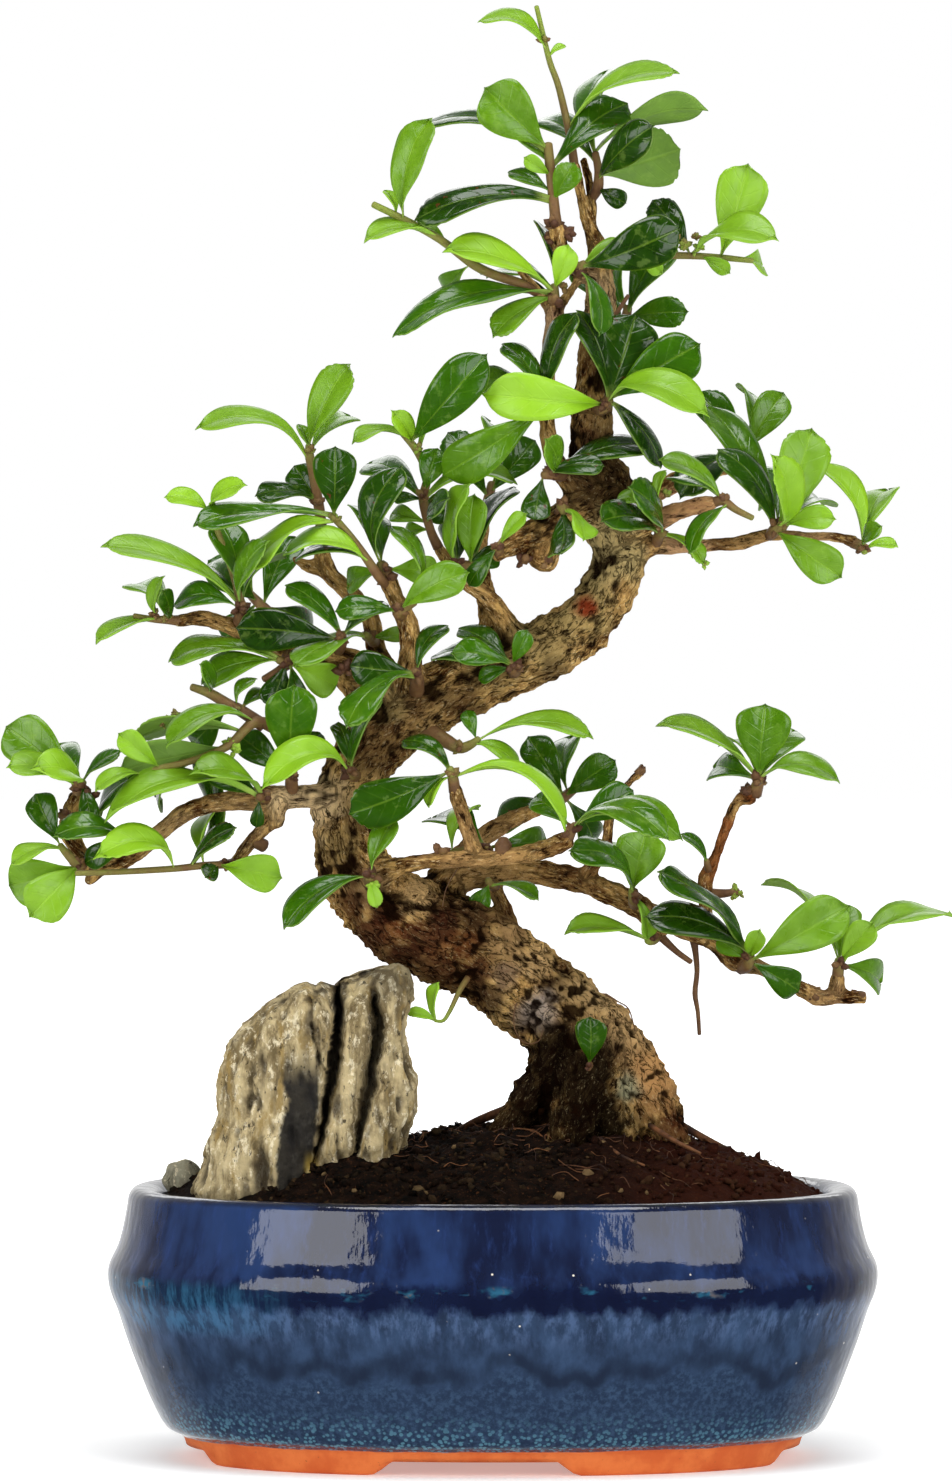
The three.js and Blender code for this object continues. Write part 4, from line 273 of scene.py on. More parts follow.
     (70, 165.2, 42, 164, -3, 6, .12, .55), (70, 165.2, 50, 170.6, 4, 7, .12, .5),
     (72, 165.6, 84, 171.5, 6, 9, .1, .8)]),
    "lower_left_tip": ([(19, 200.6, -17, 2), (19.8, 197.2, -18, 1.8), (20.6, 195.4, -18, 1.3)],
    [(19.9, 196.6, 1.4, 181.5, 3, 13, .08, .55), (19.8, 197.2, 2.3, 190.9, -3, 5, .1, .8),
     (20, 197, 8.5, 191.7, -7, 5, .18, .9), (20.6, 195.8, 30.1, 187.6, -2, 2.8, .1, .3),
     (20, 196.8, 14, 186, 16, 8, .15, .4)]),
    "lower_left_bottom": ([(21, 215.4, -19, 1.9), (19.6, 216.4, -24, 1.7), (16.6, 213.4, -25, 1.3),
     (15, 211.4, -24, 1)],
    [(15.2, 211.6, 8.7, 198.3, 3, 8, .1, .25), (15.8, 212.4, 2.5, 215.8, -3, 4, .15, .85),
     (19.4, 216.2, 2, 221.5, -4, 12, .08, .72), (19.6, 216.4, 7.5, 229, -8, 12, .1, .8)]),
    "glossy_left": ([(34.5, 213, -18, 1.6), (33.8, 210.6, -22, 1.5), (32, 209.8, -23, 1.1)],
    [(32.6, 210, 13.3, 208.8, -3, 6, .2, .4), (33, 210.2, 21, 216, 8, 6, .15, .2)]),
    "runner": ([(59, 215.6, -11, 1.5), (55.6, 216.2, -15, 1.2), (51, 216.4, -18, 1.1),
     (43.4, 217.2, -22, 1), (30, 218, -28, .9), (19, 218.4, -32, .8)],
    [(42.6, 217.3, 24, 213.4, -6, 6, .3, 1), (48.5, 216.7, 48.3, 185.3, 3, 6, -.2, .2),
     (47.5, 216.8, 58.9, 206.7, -6, 4, .12, .15), (50.5, 216.4, 58.4, 199.2, 4, 3.6, .15, .7),
     (55, 216.2, 70.6, 219.6, -3, 9.5, .06, .85)]),
    "left_branch": ([(67, 200, -14, 2.1), (65.6, 199.4, -19, 1.7), (64.6, 199.8, -20, 1.2)],
    [(65, 199.8, 26, 204.7, -5, 4.5, .2, .75), (65.2, 199.4, 47.7, 193, -3, 4, .2, .65),
     (65.4, 199.4, 52.5, 191.5, 4, 8, .1, .15)]),
    "broad_left": ([(73, 199.4, -12, 2.2), (72.8, 194.8, -16, 1.8), (72.8, 193, -16, 1.2)],
    [(72.8, 193.6, 73.5, 171.2, -5, 13, .08, .4), (72.8, 194, 60, 184, 6, 8, .1, .3),
     (72.8, 194.2, 80, 183, 6, 6, .1, .15)]),
    "lime_toothed": ([(89.5, 194, -6, 2.6), (88, 193.6, -15, 1.8), (87.6, 192, -16, 1.3)],
    [(87.8, 193.4, 65.5, 196.3, -6, 7, .3, .95), (87.8, 192.6, 95.3, 173.9, -1, 4.5, .15, .2),
     (87.6, 192, 84.4, 180.5, 3, 5, .1, .15)]),
    "mid_left": ([(80, 187, -9, 2.4), (72, 184, -14, 2), (64, 180.5, -18, 1.7),
     (57, 186.5, -22, 1.3), (48, 190.2, -25, 1.1), (40, 192, -26, .9), (35.6, 193.6, -26, .8)],
    [(57.6, 186, 29.6, 192.5, -2, -10, .06, .45), (60, 183.6, 33, 184.5, 5, -5, .1, .5),
     (40.4, 191.8, 29.5, 183.3, -3, 6.5, .1, .85), (36.4, 193.4, 23.7, 197.8, -3, 3.6, .2, .8),
     (37.4, 193, 24, 204.2, 4, 4.6, .1, .15), (64, 180.8, 41.3, 186.8, -8, 4.5, .22, .6),
     (50, 189.6, 40, 200, 14, 8, .15, .3)]),
    "olive_twig": ([(66, 181.5, -17, 2), (60, 177.6, -16, 1.8), (57.5, 176.4, -16, 1.7),
     (52.5, 173.4, -16, 1.5), (48, 171.8, -16, 1.1)],
    [(57.5, 176.4, 48, 186, 16, 8, .15, .3)]),
    "trunk_top": ([(104, 174, -6, 2.5), (104.3, 169.4, -14, 1.9), (103.6, 167.6, -15, 1.3)],
    [(104.2, 168.6, 111.7, 156.1, 3, 5, .2, .2), (103.8, 168, 87.4, 166.5, -2, 9, .08, .1),
     (104.2, 169, 86.2, 181.2, -6, 6, .15, .4)]),
    "trunk_top_right": ([(128.5, 168, -2, 2.5), (128.3, 167.4, -11, 1.8), (127.8, 165.6, -12, 1.3)],
    [(128, 166.4, 112.8, 163, -4, 6.5, .12, .4), (127.9, 166, 114.6, 157, 4, 6, .1, .25),
     (128, 166.4, 107.6, 163.8, 3, 5, .1, .3)]),
    "oval_dark": ([(113.7, 198, -18, 1.8), (113.2, 194.6, -19, 1.6), (112.4, 192.2, -20, 1.2)],
    [(112.6, 192.6, 87.1, 203.6, -5, 12, .08, .2), (112.9, 193.4, 100.5, 185.2, 2, 5, .3, .2),
     (113, 194, 107.1, 202, -6, 3, .2, .9), (113.2, 194.4, 141.6, 207, -6, 2.8, .26, 1)]),
    "pale_centre": ([(103, 181, -3, 4), (111, 185, -10, 2.2), (114.8, 187, -12, 1.7),
     (117.6, 186.2, -13, 1.4), (119.6, 184.8, -14, 1)],
    [(119.3, 185, 148.2, 183.6, -4, 4, .14, .75), (117.8, 186.2, 129.7, 192.4, -3, 3.6, .2, .75)]),
    "elbow": ([(92.6, 221, -10, 3), (92.6, 219.4, -20, 1.8), (92.8, 218.2, -21, 1.3)],
    [(92.7, 218.8, 99, 204.3, 1, 5.5, .15, .5), (92.6, 219.2, 70.8, 232.4, -5, 6.5, .15, .35)]),
    "front_twig": ([(121.8, 215, -21, 1.6), (121.4, 212, -17, 1.5), (113, 213.2, -15, 1.1)],
    [(121.2, 211.8, 137, 211, 3, 8, .25, .45), (113.4, 213.2, 119, 201.4, 2, 4.6, .2, .8),
     (121.2, 212, 108, 205, 12, 8, .12, .4)]),
    "front_knob": ([(141.4, 210.4, -22, 2), (142.8, 207.6, -23, 1.6), (143.8, 206.2, -23, 1.1)],
    [(143.4, 206.8, 158.4, 197.5, 2, 9, .12, .3), (143.6, 206.6, 170.6, 209, -4, 7, .25, .55),
     (143, 207.4, 167, 209, -9, 5, .22, .45), (143.2, 207, 134, 199, 10, 7, .15, .4)]),
    "spade": ([(158.8, 226.4, 6, 2.2), (158.4, 224.6, 0, 1.7), (158.2, 222.6, -1, 1.3)],
    [(158.3, 222.8, 161.5, 207.8, -3, 12.5, .08, .6), (158.2, 223, 147.6, 210.6, 4, 3.6, .15, .7),
     (158.2, 223.6, 143.1, 212, -5, 4.6, .18, .35), (158.4, 224.4, 161.8, 235, -4, 3.8, .15, .7)]),
    "dark_right": ([(185.4, 241.8, 10, 2.4), (187.2, 241, 4.5, 1.9), (187.5, 238, 3, 1.3)],
    [(187.4, 238.6, 164.4, 217.8, -5, 4.4, .11, .15), (187.3, 239, 161.3, 229, -10, 8, .15, .08),
     (187.3, 240, 212.5, 226.5, -4, 12.5, .15, .65), (187.3, 240, 200, 248, 14, 8, .15, .3)]),
    "far_right": ([(209.4, 245, 14, 1.8), (209.7, 241.8, 13, 1.7), (209.8, 240, 13, 1.3)],
    [(209.8, 241, 218.4, 230.6, -3, 7.5, .1, .85), (209.8, 241.4, 238, 227, 3, 4.5, .12, .75),
     (209.7, 240.6, 211.5, 226, 3, 9, .1, .6), (209.7, 240.8, 192, 219.3, 8, 3, .12, .7),
     (209.7, 241.4, 220, 246, 12, 8, .15, .5)]),
    "pale_low": ([(164.4, 234, 5, 1.7), (163, 235.2, 1, 1.5), (161.8, 235.2, 0, 1.1)],
    [(162, 235.2, 141.3, 232.5, -3, 3.6, .1, .75)]),
    "rosette_right": ([(188.6, 198.6, 3, 2.2), (189.6, 195.6, 1, 1.7), (189.8, 194, 1, 1.2)],
    [(189.8, 194.6, 191.3, 175.9, -3, 14, .08, .48), (189.6, 195.2, 164.7, 180.3, -2, 3.6, .1, .7),
     (189.6, 195, 180, 185.5, 4, 5, .2, .6), (189.8, 195, 209.9, 195, -4, 5, .25, .6),
     (189.7, 195, 199, 182, 16, 9, .15, .5), (189.7, 195, 178, 192, 16, 8, .15, .4)]),
    "trunk_foot": ([(147.4, 268, -10, 2.4), (147.2, 267.4, -18, 1.7), (147.2, 266, -18.5, 1.2)],
    [(147.2, 266.4, 147.5, 254.2, -3, 8, .1, .2)]),
    "back_upper": ([(154.6, 87, 20.5, 1.8), (156, 82, 24, 1.8), (157, 77, 26, 1.3)],
    [(156, 82, 144, 66, 6, 9, .15, .2), (156.4, 80, 168, 60, 4, 9, .15, .3),
     (156.6, 79, 172, 78, -6, 8, .15, .4), (156.8, 78, 158, 62, 20, 8, .2, .4),
     (156, 83, 166, 98, 14, 8, .2, .2)]),
    "back_left": ([(71, 157, 29.5, 1.8), (67, 153, 33, 1.8), (62, 148, 36, 1.3)],
    [(64, 150, 52, 140, -4, 9, .15, .3), (66, 152, 74, 134, 4, 9, .15, .3),
     (65, 151, 56, 160, 6, 8, .15, .2), (63, 149, 66, 136, 18, 8, .2, .4),
     (66, 152, 78, 160, 16, 8, .2, .2)]),
    "back_middle": ([(120.9, 131, 27.5, 1.8), (122, 126, 31, 1.8), (123, 121, 34, 1.3)],
    [(122, 125, 112, 108, 3, 9, .15, .3), (122, 124, 134, 110, 2, 9, .15, .3),
     (122, 126, 106, 128, -2, 8, .15, .2), (122.6, 122, 122, 106, 18, 8, .2, .5),
     (122, 126, 112, 138, 12, 8, .2, .2)]),
    "back_right": ([(181, 117.3, 30.5, 1.8), (185, 115, 33, 1.8), (188, 111, 35, 1.3)],
    [(186, 114, 196, 98, 2, 9, .15, .5), (185, 115, 174, 98, 2, 9, .15, .3),
     (185, 115, 170, 124, -6, 8, .15, .2), (187, 112, 186, 98, 18, 8, .2, .5),
     (185.6, 114.6, 192, 126, 14, 8, .2, .3)]),
    "back_low": ([(135, 202.4, 34.5, 1.8), (140, 200, 38, 1.8), (144, 197, 40, 1.3)],
    [(141, 199.4, 154, 190, -3, 9, .15, .4), (141, 199.4, 132, 184, 2, 9, .15, .3),
     (140, 200, 124, 206, -4, 8, .15, .2), (142, 199, 144, 184, 16, 8, .2, .4),
     (141, 199.4, 148, 212, 12, 8, .2, .2)]),
}

# Small leaves that come after those of every shoot
TINY_LEAVES = {
    "leader": [(137, 14, 141.3, 11.5, 1, 1.6, .1, 1)],
    "crown_front": [(137.6, 44, 131, 39.5, -3, 4, .1, .8), (138.4, 50, 143.5, 41, -4, 7, .1, .5)],
    "crown_back": [(149, 48, 156.5, 51, -3, 5, .1, .1)],
    "green_shoot_right": [(175, 64.3, 182.5, 68.5, -3, 4, .1, .8),
     (160, 64.5, 165.5, 68.5, -3, 4, .1, .8)],
    "green_shoot_left": [(99, 54, 96.3, 47.5, 3, 2.6, .1, .9)],
    "left_stem": [(136.8, 100.4, 143.8, 78, 7, 6.5, .1, .1)],
    "mid_crown": [(152, 100.6, 161, 96.6, -5, 2.6, .1, 1), (149, 97, 144.6, 77.5, 8, 7, .1, .1),
     (153, 101, 165.4, 117, 1, 5.5, .12, .08)],
    "below_crown": [(137.5, 118.4, 136.8, 110, -3, 4.5, .1, .5)],
    "right_end": [(215.9, 137.4, 224.5, 136.7, -1, 2.6, .15, 1),
     (215.5, 136.6, 219.8, 131.5, -3, 3.4, .1, .5)],
    "olive_stem": [(102.5, 110.5, 98.5, 103, -2, 5, .1, .95),
     (105.6, 124.5, 98.3, 124.8, 2, 3, .1, .2), (107.2, 131.5, 97.7, 128.3, 3, 5, .15, .65),
     (107.8, 134.5, 100.6, 133.6, -2, 4, .1, .65), (107.2, 131, 112, 124.5, -2, 3.4, .1, .15)],
    "branch_upright": [(115.5, 141.5, 125, 138.5, -2, 6, .1, .2)],
    "gnarly": [(140.8, 127.6, 146, 135, -2, 3.4, .1, .8)],
    "gnarly_end": [(125, 136.2, 131.6, 128.3, -3, 4, .1, .75)],
    "cut_stub": [(96.2, 142.4, 86.5, 146.5, 4, 6, .1, .5)],
    "left_upright": [(77.3, 113, 74.6, 106, 2, 2.4, .1, .6)],
    "far_left_tip": [(42, 154.9, 40.6, 147.5, 3, 3.8, .1, .2)],
    "grey_green": [(92.4, 159.4, 101, 158.4, 2, 4, .1, .6)],
    "lower_left_tip": [(20.4, 196, 22.6, 206, -5, 5, .1, .2)],
    "runner": [(55, 216.2, 51.2, 219.5, -4, 5, .1, .15)],
    "left_branch": [(65, 199.8, 64, 207, 0, 3.6, .1, .15)],
    "olive_twig": [(59.6, 177.2, 64, 169.5, -3, 2.6, .25, .5),
     (60, 177.4, 67, 172.4, 3, 3.6, .1, .45), (52.6, 173.6, 50, 166, 2, 3, .1, .4)],
    "trunk_top_right": [(127.9, 166, 131.8, 157.5, -3, 5, .1, .4),
     (128.2, 167.2, 119.5, 170, -2, 4, .15, .3)],
    "pale_centre": [(119, 185.2, 116.4, 177.5, 2, 4, .1, .4)],
    "elbow": [(92.6, 219.4, 94.2, 227, -3, 3.8, .1, .9)],
    "dark_right": [(187.3, 239.4, 179.2, 234.5, 3, 5, .1, .5),
     (187.4, 239, 190, 232.5, -4, 5, .15, .75)],
}

# Small shoots on bare wood: stem, leaves
SMALL_SHOOTS = [
    ([(118, 243, -9, 1.1), (115, 247.5, -15, .8), (112.6, 252.5, -18, .65),
      (110.8, 255.2, -19, .55), (108.7, 255.3, -19, .45)],
     [(108.9, 255.3, 101.6, 253, -1, 2.6, .1, .9), (109, 255.3, 109.3, 245.6, -1, 2.6, .1, .95)]),
    ([(124, 222, 2, 1.5), (122.5, 221, -3, 1.4), (122, 220, -4, 1)],
     [(122.3, 221, 119, 227.3, -1, 5.5, .1, .4), (122.8, 221.3, 134.7, 225, -3, 3, .15, .5)]),
    ([(177.2, 218, 6.5, 1.2), (176.8, 216.3, 3.5, 1), (176.6, 215, 3, .8)],
     [(176.7, 216, 170.5, 208.3, -2, 2.5, .15, .3)]),
    ([(164, 129, -3, 2), (164.5, 126.3, -6, 1.4), (164.4, 125, -6, 1)],
     [(164.3, 126, 154, 125, -4, 3.5, .15, .6), (164.6, 126, 166, 117.5, 0, 2.5, .1, .8)]),
]

# Twigs too thin for the solids
THIN_TWIGS = [
    [(173.2, 233.6, 8.5, 1.2), (173.9, 238, 9, .8), (174.3, 243, 10, .65), (173.8, 248.4, 10, .7),
     (174.5, 253, 10, .55), (174.9, 258.6, 10, .5)],
    [(130.5, 248, -9, .3), (128.6, 252.6, -12, .16), (128.7, 257.4, -13, .14),
     (131.2, 260.8, -13, .14), (134.6, 260.4, -13, .13), (135.7, 257.6, -13, .1)],
    [(151.4, 248.6, -11, .3), (154.4, 250.4, -12, .18), (157.2, 252.4, -12, .17),
     (158.8, 257.8, -11, .15)],
    [(116.4, 208.6, -11, .3), (114.8, 216, -14, .15), (111.6, 222, -15, .12),
     (110.6, 226.6, -15, .1)],
    [(164.4, 233.4, 5, 1.2), (169, 237.8, 4, .8), (172.7, 240.5, 4, .7)],
    [(75, 163.5, -11, 1.5), (70.5, 167.2, -13, 1.2), (66, 169.8, -14, .9)],
    [(176.8, 223.4, 8, 1.4), (181, 223.4, 6, 1.1), (184.2, 222.9, 6, .8)],
    [(125.6, 213.6, -22, 1.9), (125.8, 211.2, -22, 2.2), (125.8, 210, -22, 1.4)],
    [(63, 210, -12.5, 1.6), (66, 211.5, -12.5, 1.7)],
    [(148, 84, -2, 1), (153.5, 79, -5, .6), (157, 74, -5, .5)],
    [(159, 193.6, 2, .9), (160.6, 192.4, 2, 1.2)],
]

# Thin roots that show on the soil
SURFACE_ROOTS = [
    [(140, 286, -26, .7), (136, 289, -34, .5), (132, 291.5, -42, .3)],
    [(162, 281, -10, .9), (168, 285, -17, .6), (175, 288.5, -22, .4)],
    [(150, 285, -22, .7), (155, 289, -31, .5), (161, 291.5, -38, .3)],
    [(166, 279, 2, 1.2), (176, 284.6, 6, .9), (186, 289.6, 8, .6)],
    [(128, 277, -2, 1.3), (118, 281, 6, 1), (110, 286, 12, .7)],
]

# Scaly buds: across, down, back, radius, youth (0 brown, 1 green)
BUDS = [
    (136, 10.5, -3, 1.2, .3), (138.6, 57, -6.5, 2.4, 0), (141.5, 58.5, -6.5, 2, 0),
    (137.5, 60, -5.5, 1.8, 0), (144.2, 68.5, -8.5, 1.8, 0), (166.5, 62, 4, 1.3, .7),
    (169, 60, 4, 1.3, .5), (171.5, 61.5, 4, 1.4, .6), (173.8, 59.5, 4, 1.2, .4),
    (175, 62, 5, 1.3, .8), (138.5, 76, -8, 2.2, .1), (141, 72, -7, 1.3, .4),
    (151.6, 101.5, -8.5, 2, .1), (136.6, 101.5, -13, 1.6, 0), (138, 118.6, -12, 1.7, 0),
    (165, 133.6, -2, 1.7, .1), (170, 135.6, 3, 1.1, .2), (173, 138, 2, 1, .7), (176, 141, 1, 1, .8),
    (181, 125, -10.5, 1.5, .2), (194, 132, 4.6, 2, .1), (196.5, 131.2, 3.5, 1.4, .5),
    (215.6, 137, 11.5, 1.7, .2), (105.9, 124.6, -6.8, 1.7, .2), (104.4, 112.6, -6.6, 1.3, .6),
    (114.4, 141.2, -9.6, 1.8, 0), (140.6, 126.8, -12.6, 1.8, 0), (124.6, 137, -17, 1.6, 0),
    (96.4, 142.6, -11, 1.9, .1), (100, 152.6, -14.6, 1.9, 0), (84, 130.2, -12.6, 1.3, .6),
    (77.4, 113, 1.4, 1.5, .4), (79.6, 126, 3, 1.7, .1), (41.6, 155, -13.6, 1.4, .3),
    (38.5, 153.6, -14.6, 1.2, .2), (60.2, 152.4, -15, 2, 0), (52.7, 128.6, -12.5, 1.1, .7),
    (85.3, 160, -14, 1.9, 0), (92.2, 159.2, -1, 1.7, 0), (72, 165.6, -15.8, 2, 0),
    (19.9, 197, -18.8, 2, 0), (22, 199.5, -18, 2.2, 0), (16.6, 204, -19.6, 1.9, 0),
    (19.6, 216.2, -24.6, 1.9, 0), (23, 218.6, -20, 1.7, 0), (33.6, 210.6, -22.6, 1.6, 0),
    (56.6, 216, -14.6, 1.6, .1), (65.4, 199.8, -19.8, 1.9, 0), (72.8, 194.6, -16.8, 1.8, 0),
    (87.8, 193.2, -15.8, 2, 0), (57.5, 186, -21.6, 1.4, .8), (58.6, 187.6, -22, 1.5, .9),
    (28, 194.4, -26, 1, .4), (42, 180, -17, 1.1, .3), (44, 178.6, -17, 1, .5),
    (40.6, 181.6, -17, 1, .4), (59.8, 177.4, -16.8, 1.5, .3), (86, 168, -15, 2, 0),
    (104.2, 169, -15, 2.1, 0), (128.2, 166.8, -12, 2, 0), (113, 193.6, -20, 1.6, .3),
    (115, 187, -12.6, 1.6, .3), (92.6, 219, -21, 1.9, 0), (93.4, 221.5, -20.6, 1.4, .9),
    (121.3, 212.2, -18, 1.6, .1), (142.8, 207.8, -23.6, 1.9, .1), (110.2, 213.4, -20, 2, 0),
    (158.4, 224, -1, 1.9, 0), (187.3, 240, 3.6, 2.1, 0), (184, 222.6, 6, 1.2, .5),
    (183, 224, 6, 1.1, .7), (185, 223.6, 6.4, 1, .6), (209.8, 241.4, 12.4, 1.9, 0),
    (163, 235.2, .6, 1.5, 0), (189.6, 195.6, .6, 2, .1), (187, 198.6, 2, 2.3, 0),
    (147.2, 267, -18.8, 1.5, 0), (160.4, 192.6, 2, 1.3, 0), (166.6, 123.6, -6, 1.2, .5),
    (96.6, 144.8, -10, 2.2, 0), (214.6, 249.4, 15, 1.7, 0), (203, 249, 13, 2.2, 0),
    (196, 245, 12, 2, 0), (131, 140.6, -12.6, 1.8, 0), (137.6, 141, -12.6, 1.9, 0),
]

# Bark colours laid over the wood, the near-black ones round the trunk's foot being painted shade:
# across, down, reach, colour, strength
BARK_PATCHES_AND_SHADE = [
    (150, 120, 12, "#2f2015", .85), (149, 107, 8, "#5a4029", .6), (152, 139, 10, "#b3a06c", .85),
    (146, 152, 8, "#a8935d", .8), (135, 160, 9, "#a38c58", .8), (139, 169, 5, "#3a2c1c", .7),
    (146, 152, 3.6, "#7a2410", .95), (122, 167, 8, "#947b4b", .7), (116, 176, 6, "#3d2b1b", .7),
    (105, 178, 8, "#6d5636", .6), (94, 187, 8, "#4a3320", .7), (97, 176, 5, "#8d7a4e", .6),
    (84, 200, 6, "#9a835a", .7), (84, 212, 7, "#7d6a42", .7), (89, 205, 4, "#33241a", .7),
    (104, 225, 5.5, "#c6a26c", 1), (97.5, 228, 4, "#2e1c11", .75), (112.5, 226, 5.5, "#24120b", .9),
    (92, 222, 6, "#a0835a", .7), (95, 236, 8, "#4a2a1a", .8), (108, 240, 9, "#4e2f1d", .75),
    (119, 230, 6.5, "#3a2014", .85), (125, 238, 7, "#5c4229", .7), (128, 229, 6, "#4a2d1a", .7),
    (135, 243, 5, "#a08055", .6), (139.5, 247.5, 4.6, "#1e130d", .95),
    (135, 253, 5.5, "#b5a698", .8), (147, 248, 8, "#a98a5b", .8), (143, 258, 6, "#5a432e", .7),
    # Near-black patches round the trunk's foot, here and on the next lines, are painted shade.
    (160, 262, 9, "#b08b5c", .85), (164, 274, 7, "#a37a4c", .8), (147, 269, 9.5, "#0f0906", 1),
    (137, 266, 6, "#33221a", .95), (133, 275, 8, "#1d130e", 1), (148, 280, 12, "#100a06", 1),
    (142, 262, 5, "#1a110b", .9), (157, 272, 4, "#a5a684", .7), (168, 283, 6, "#4a2616", .9),
    (76, 199.5, 10, "#d6b98a", .9), (60, 205, 8, "#8d7350", .5), (44, 210, 9, "#a58a60", .5),
    (120, 214.5, 14, "#b08a58", .7), (143, 222, 8, "#7c5a36", .5), (190, 246, 8, "#a98a5c", .6),
    (206, 249, 6, "#a07f56", .6), (192, 135.5, 13, "#ad8753", .8), (180, 137, 4, "#4a2613", .7),
    (212, 137, 4, "#4a2613", .7), (188, 197, 5, "#6a3519", .9), (180, 212, 9, "#8a4f2a", .92),
    # More near-black painted shade round the trunk's foot.
    (140, 262, 7, "#130c08", .95), (134.5, 268, 6, "#150e09", .9), (150.5, 260, 5.5, "#1b110b", .9),
    (131.5, 256, 3.6, "#3a2b20", .7), (146, 274, 9, "#0f0906", .9), (138, 84, 7, "#c8a07e", .85),
    (150, 73, 7, "#b89a70", .7), (150, 90, 7, "#6b4a2e", .6), (98, 233, 4, "#6e3f22", .7),
    (110, 236, 4, "#8a5a34", .6), (88, 218, 3.6, "#3a2114", .8), (120, 243, 3.6, "#5a2f1a", .7),
    (151, 249, 7, "#cdaa76", .75), (158, 256, 7, "#cba671", .75), (164, 268, 6, "#c4935c", .75),
    (172, 128, 9, "#b98a60", .75), (171, 137, 8, "#c79c74", .85), (203, 134.4, 7, "#bd9468", .7),
    # Near-black painted shade low round the trunk's foot.
    (128, 236, 6, "#c19c68", .5), (118, 229, 4, "#2c1a10", .7), (128, 279, 6, "#1b110a", .9),
    (134, 281, 6, "#180f09", .9), (124, 284.5, 5, "#20130b", .9), (134, 240, 5, "#c9a571", .6),
    (160, 205, 6, "#85522f", .7), (152, 214, 6, "#7a4a2b", .7), (96, 227, 4.5, "#3a1a12", .85),
    (106, 233, 5, "#431f14", .8), (112, 230.5, 4.5, "#3b1a11", .85), (93, 234.5, 4, "#4d2a1b", .8),
    (101, 239, 4.5, "#3f2115", .8), (110, 243, 5, "#55331f", .75), (118, 245.5, 5, "#402618", .8),
    (123, 249.5, 4.5, "#3d2a20", .8), (88, 226, 4, "#54321f", .75), (116, 236, 4, "#5c3018", .75),
    (126, 244, 4, "#7d6652", .7), (130.3, 254, 4, "#8a7c70", .6),
]

# Rows of a leaf from foot to tip: share of its length, share of its half width, depth of its notch
LEAF_OUTLINE = [
    (0, .05, 0), (.05, .06, 0), (.1, .09, 0), (.16, .17, 0), (.23, .29, 0), (.3, .43, 0),
    (.37, .57, 0), (.44, .7, 0), (.51, .81, 0), (.58, .9, 0), (.65, .96, 0), (.71, .99, 0),
    (.77, 1, 0), (.815, .98, 0), (.85, .937, .06), (.875, .89, 0), (.905, .81, 0),
    (.93, .717, .09), (.95, .62, 0), (.97, .49, 0), (.985, .355, .12), (.994, .23, 0), (1, .07, 0),
]
LEAF_ROWS = len(LEAF_OUTLINE) - 1

# Coarse outlines that keep leaves apart: share of the length, share of the half width
BROAD_OUTLINE = [(0, 0), (.7, 1), (.94, .66), (.89, .36), (1, 0)]
NARROW_OUTLINE = [(0, 0), (.66, 1), (1, .42), (1, 0)]
BROAD_FROM = 8


# Numbers and places

def colour(text):
    """A hex colour as linear red, green, blue and 1."""
    shares = [int(text[i:i + 2], 16) / 255 for i in (1, 3, 5)]
    return tuple(s / 12.92 if s <= .04045 else ((s + .055) / 1.055) ** 2.4 for s in shares) + (1,)


def ease(low, high, value):
    """Runs smoothly from 0 at low to 1 at high."""
    share = np.clip((np.asarray(value, float) - low) / (high - low), 0, 1)
    return share * share * (3 - 2 * share)


def lumps(points, size, seed=0, octaves=1):
    """Noise from about -1 to 1 at each point, with lumps of that size in millimetres."""
    shift = Vector((seed * 17.3, seed * 5.1, seed * 9.7))
    if octaves == 1:
        return np.array([noise.noise(Vector(p) / size + shift) for p in points])
    return np.array([noise.fractal(Vector(p) / size + shift, 1, 2, octaves) for p in points])


def unit(vector):
    """The vector at a length of 1."""
    return vector / np.linalg.norm(vector)


def squared(vector, ahead):
    """The vector turned square to a direction."""
    return unit(vector - ahead * vector.dot(ahead))


def rounded(cos, sin, squareness):
    """How far a rounded square of half width 1 reaches in each direction."""
    return (np.abs(cos) ** squareness + np.abs(sin) ** squareness) ** (-1 / squareness)


def seen(across, down, back):
    """A place of the front view, slid along the line of sight to its depth."""
    spread = (EYE_DISTANCE + back) / EYE_DISTANCE
    height = EYE_HEIGHT - (down - EYE_DOWN) * spread
    return np.array([(across - MIDDLE_ACROSS) * spread, back, height])


def front_place(x, y, z):
    """Across and down in the front view of a place."""
    spread = (EYE_DISTANCE + y) / EYE_DISTANCE
    return x / spread + MIDDLE_ACROSS, (EYE_HEIGHT - z) / spread + EYE_DOWN


def curve(points):
    """Stretches of a smooth curve through points: each gives its place and direction at a share."""
    points = np.vstack([2 * points[0] - points[1], points, 2 * points[-1] - points[-2]])

    def stretch(a, b, c, d):
        bend, twist = 2 * a - 5 * b + 4 * c - d, 3 * b - a - 3 * c + d
        return lambda t: (b + ((c - a) * t + bend * t * t + twist * t ** 3) / 2,
                          (c - a) + 2 * bend * t + 3 * twist * t * t)

    return [stretch(*points[first:first + 4]) for first in range(len(points) - 3)]


def rings_of(path, steps):
    """Even steps along a limb's rows: centre, direction, radius, stretches passed."""
    stretches = curve(np.array([seen(*row[:3]) for row in path]))
    rings = []
    for i in range(len(stretches) * steps + 1):
        along = i / steps
        first = min(int(along), len(stretches) - 1)
        t = along - first
        centre, ahead = stretches[first](t)
        radius = path[first][3] + (path[first + 1][3] - path[first][3]) * t
        rings.append((centre, unit(ahead), radius, along))
    return rings


# Meshes

def made(bm, name):
    """The finished bmesh as a mesh."""
    mesh = bpy.data.meshes.new(name)
    bm.to_mesh(mesh)
    bm.free()
    return mesh


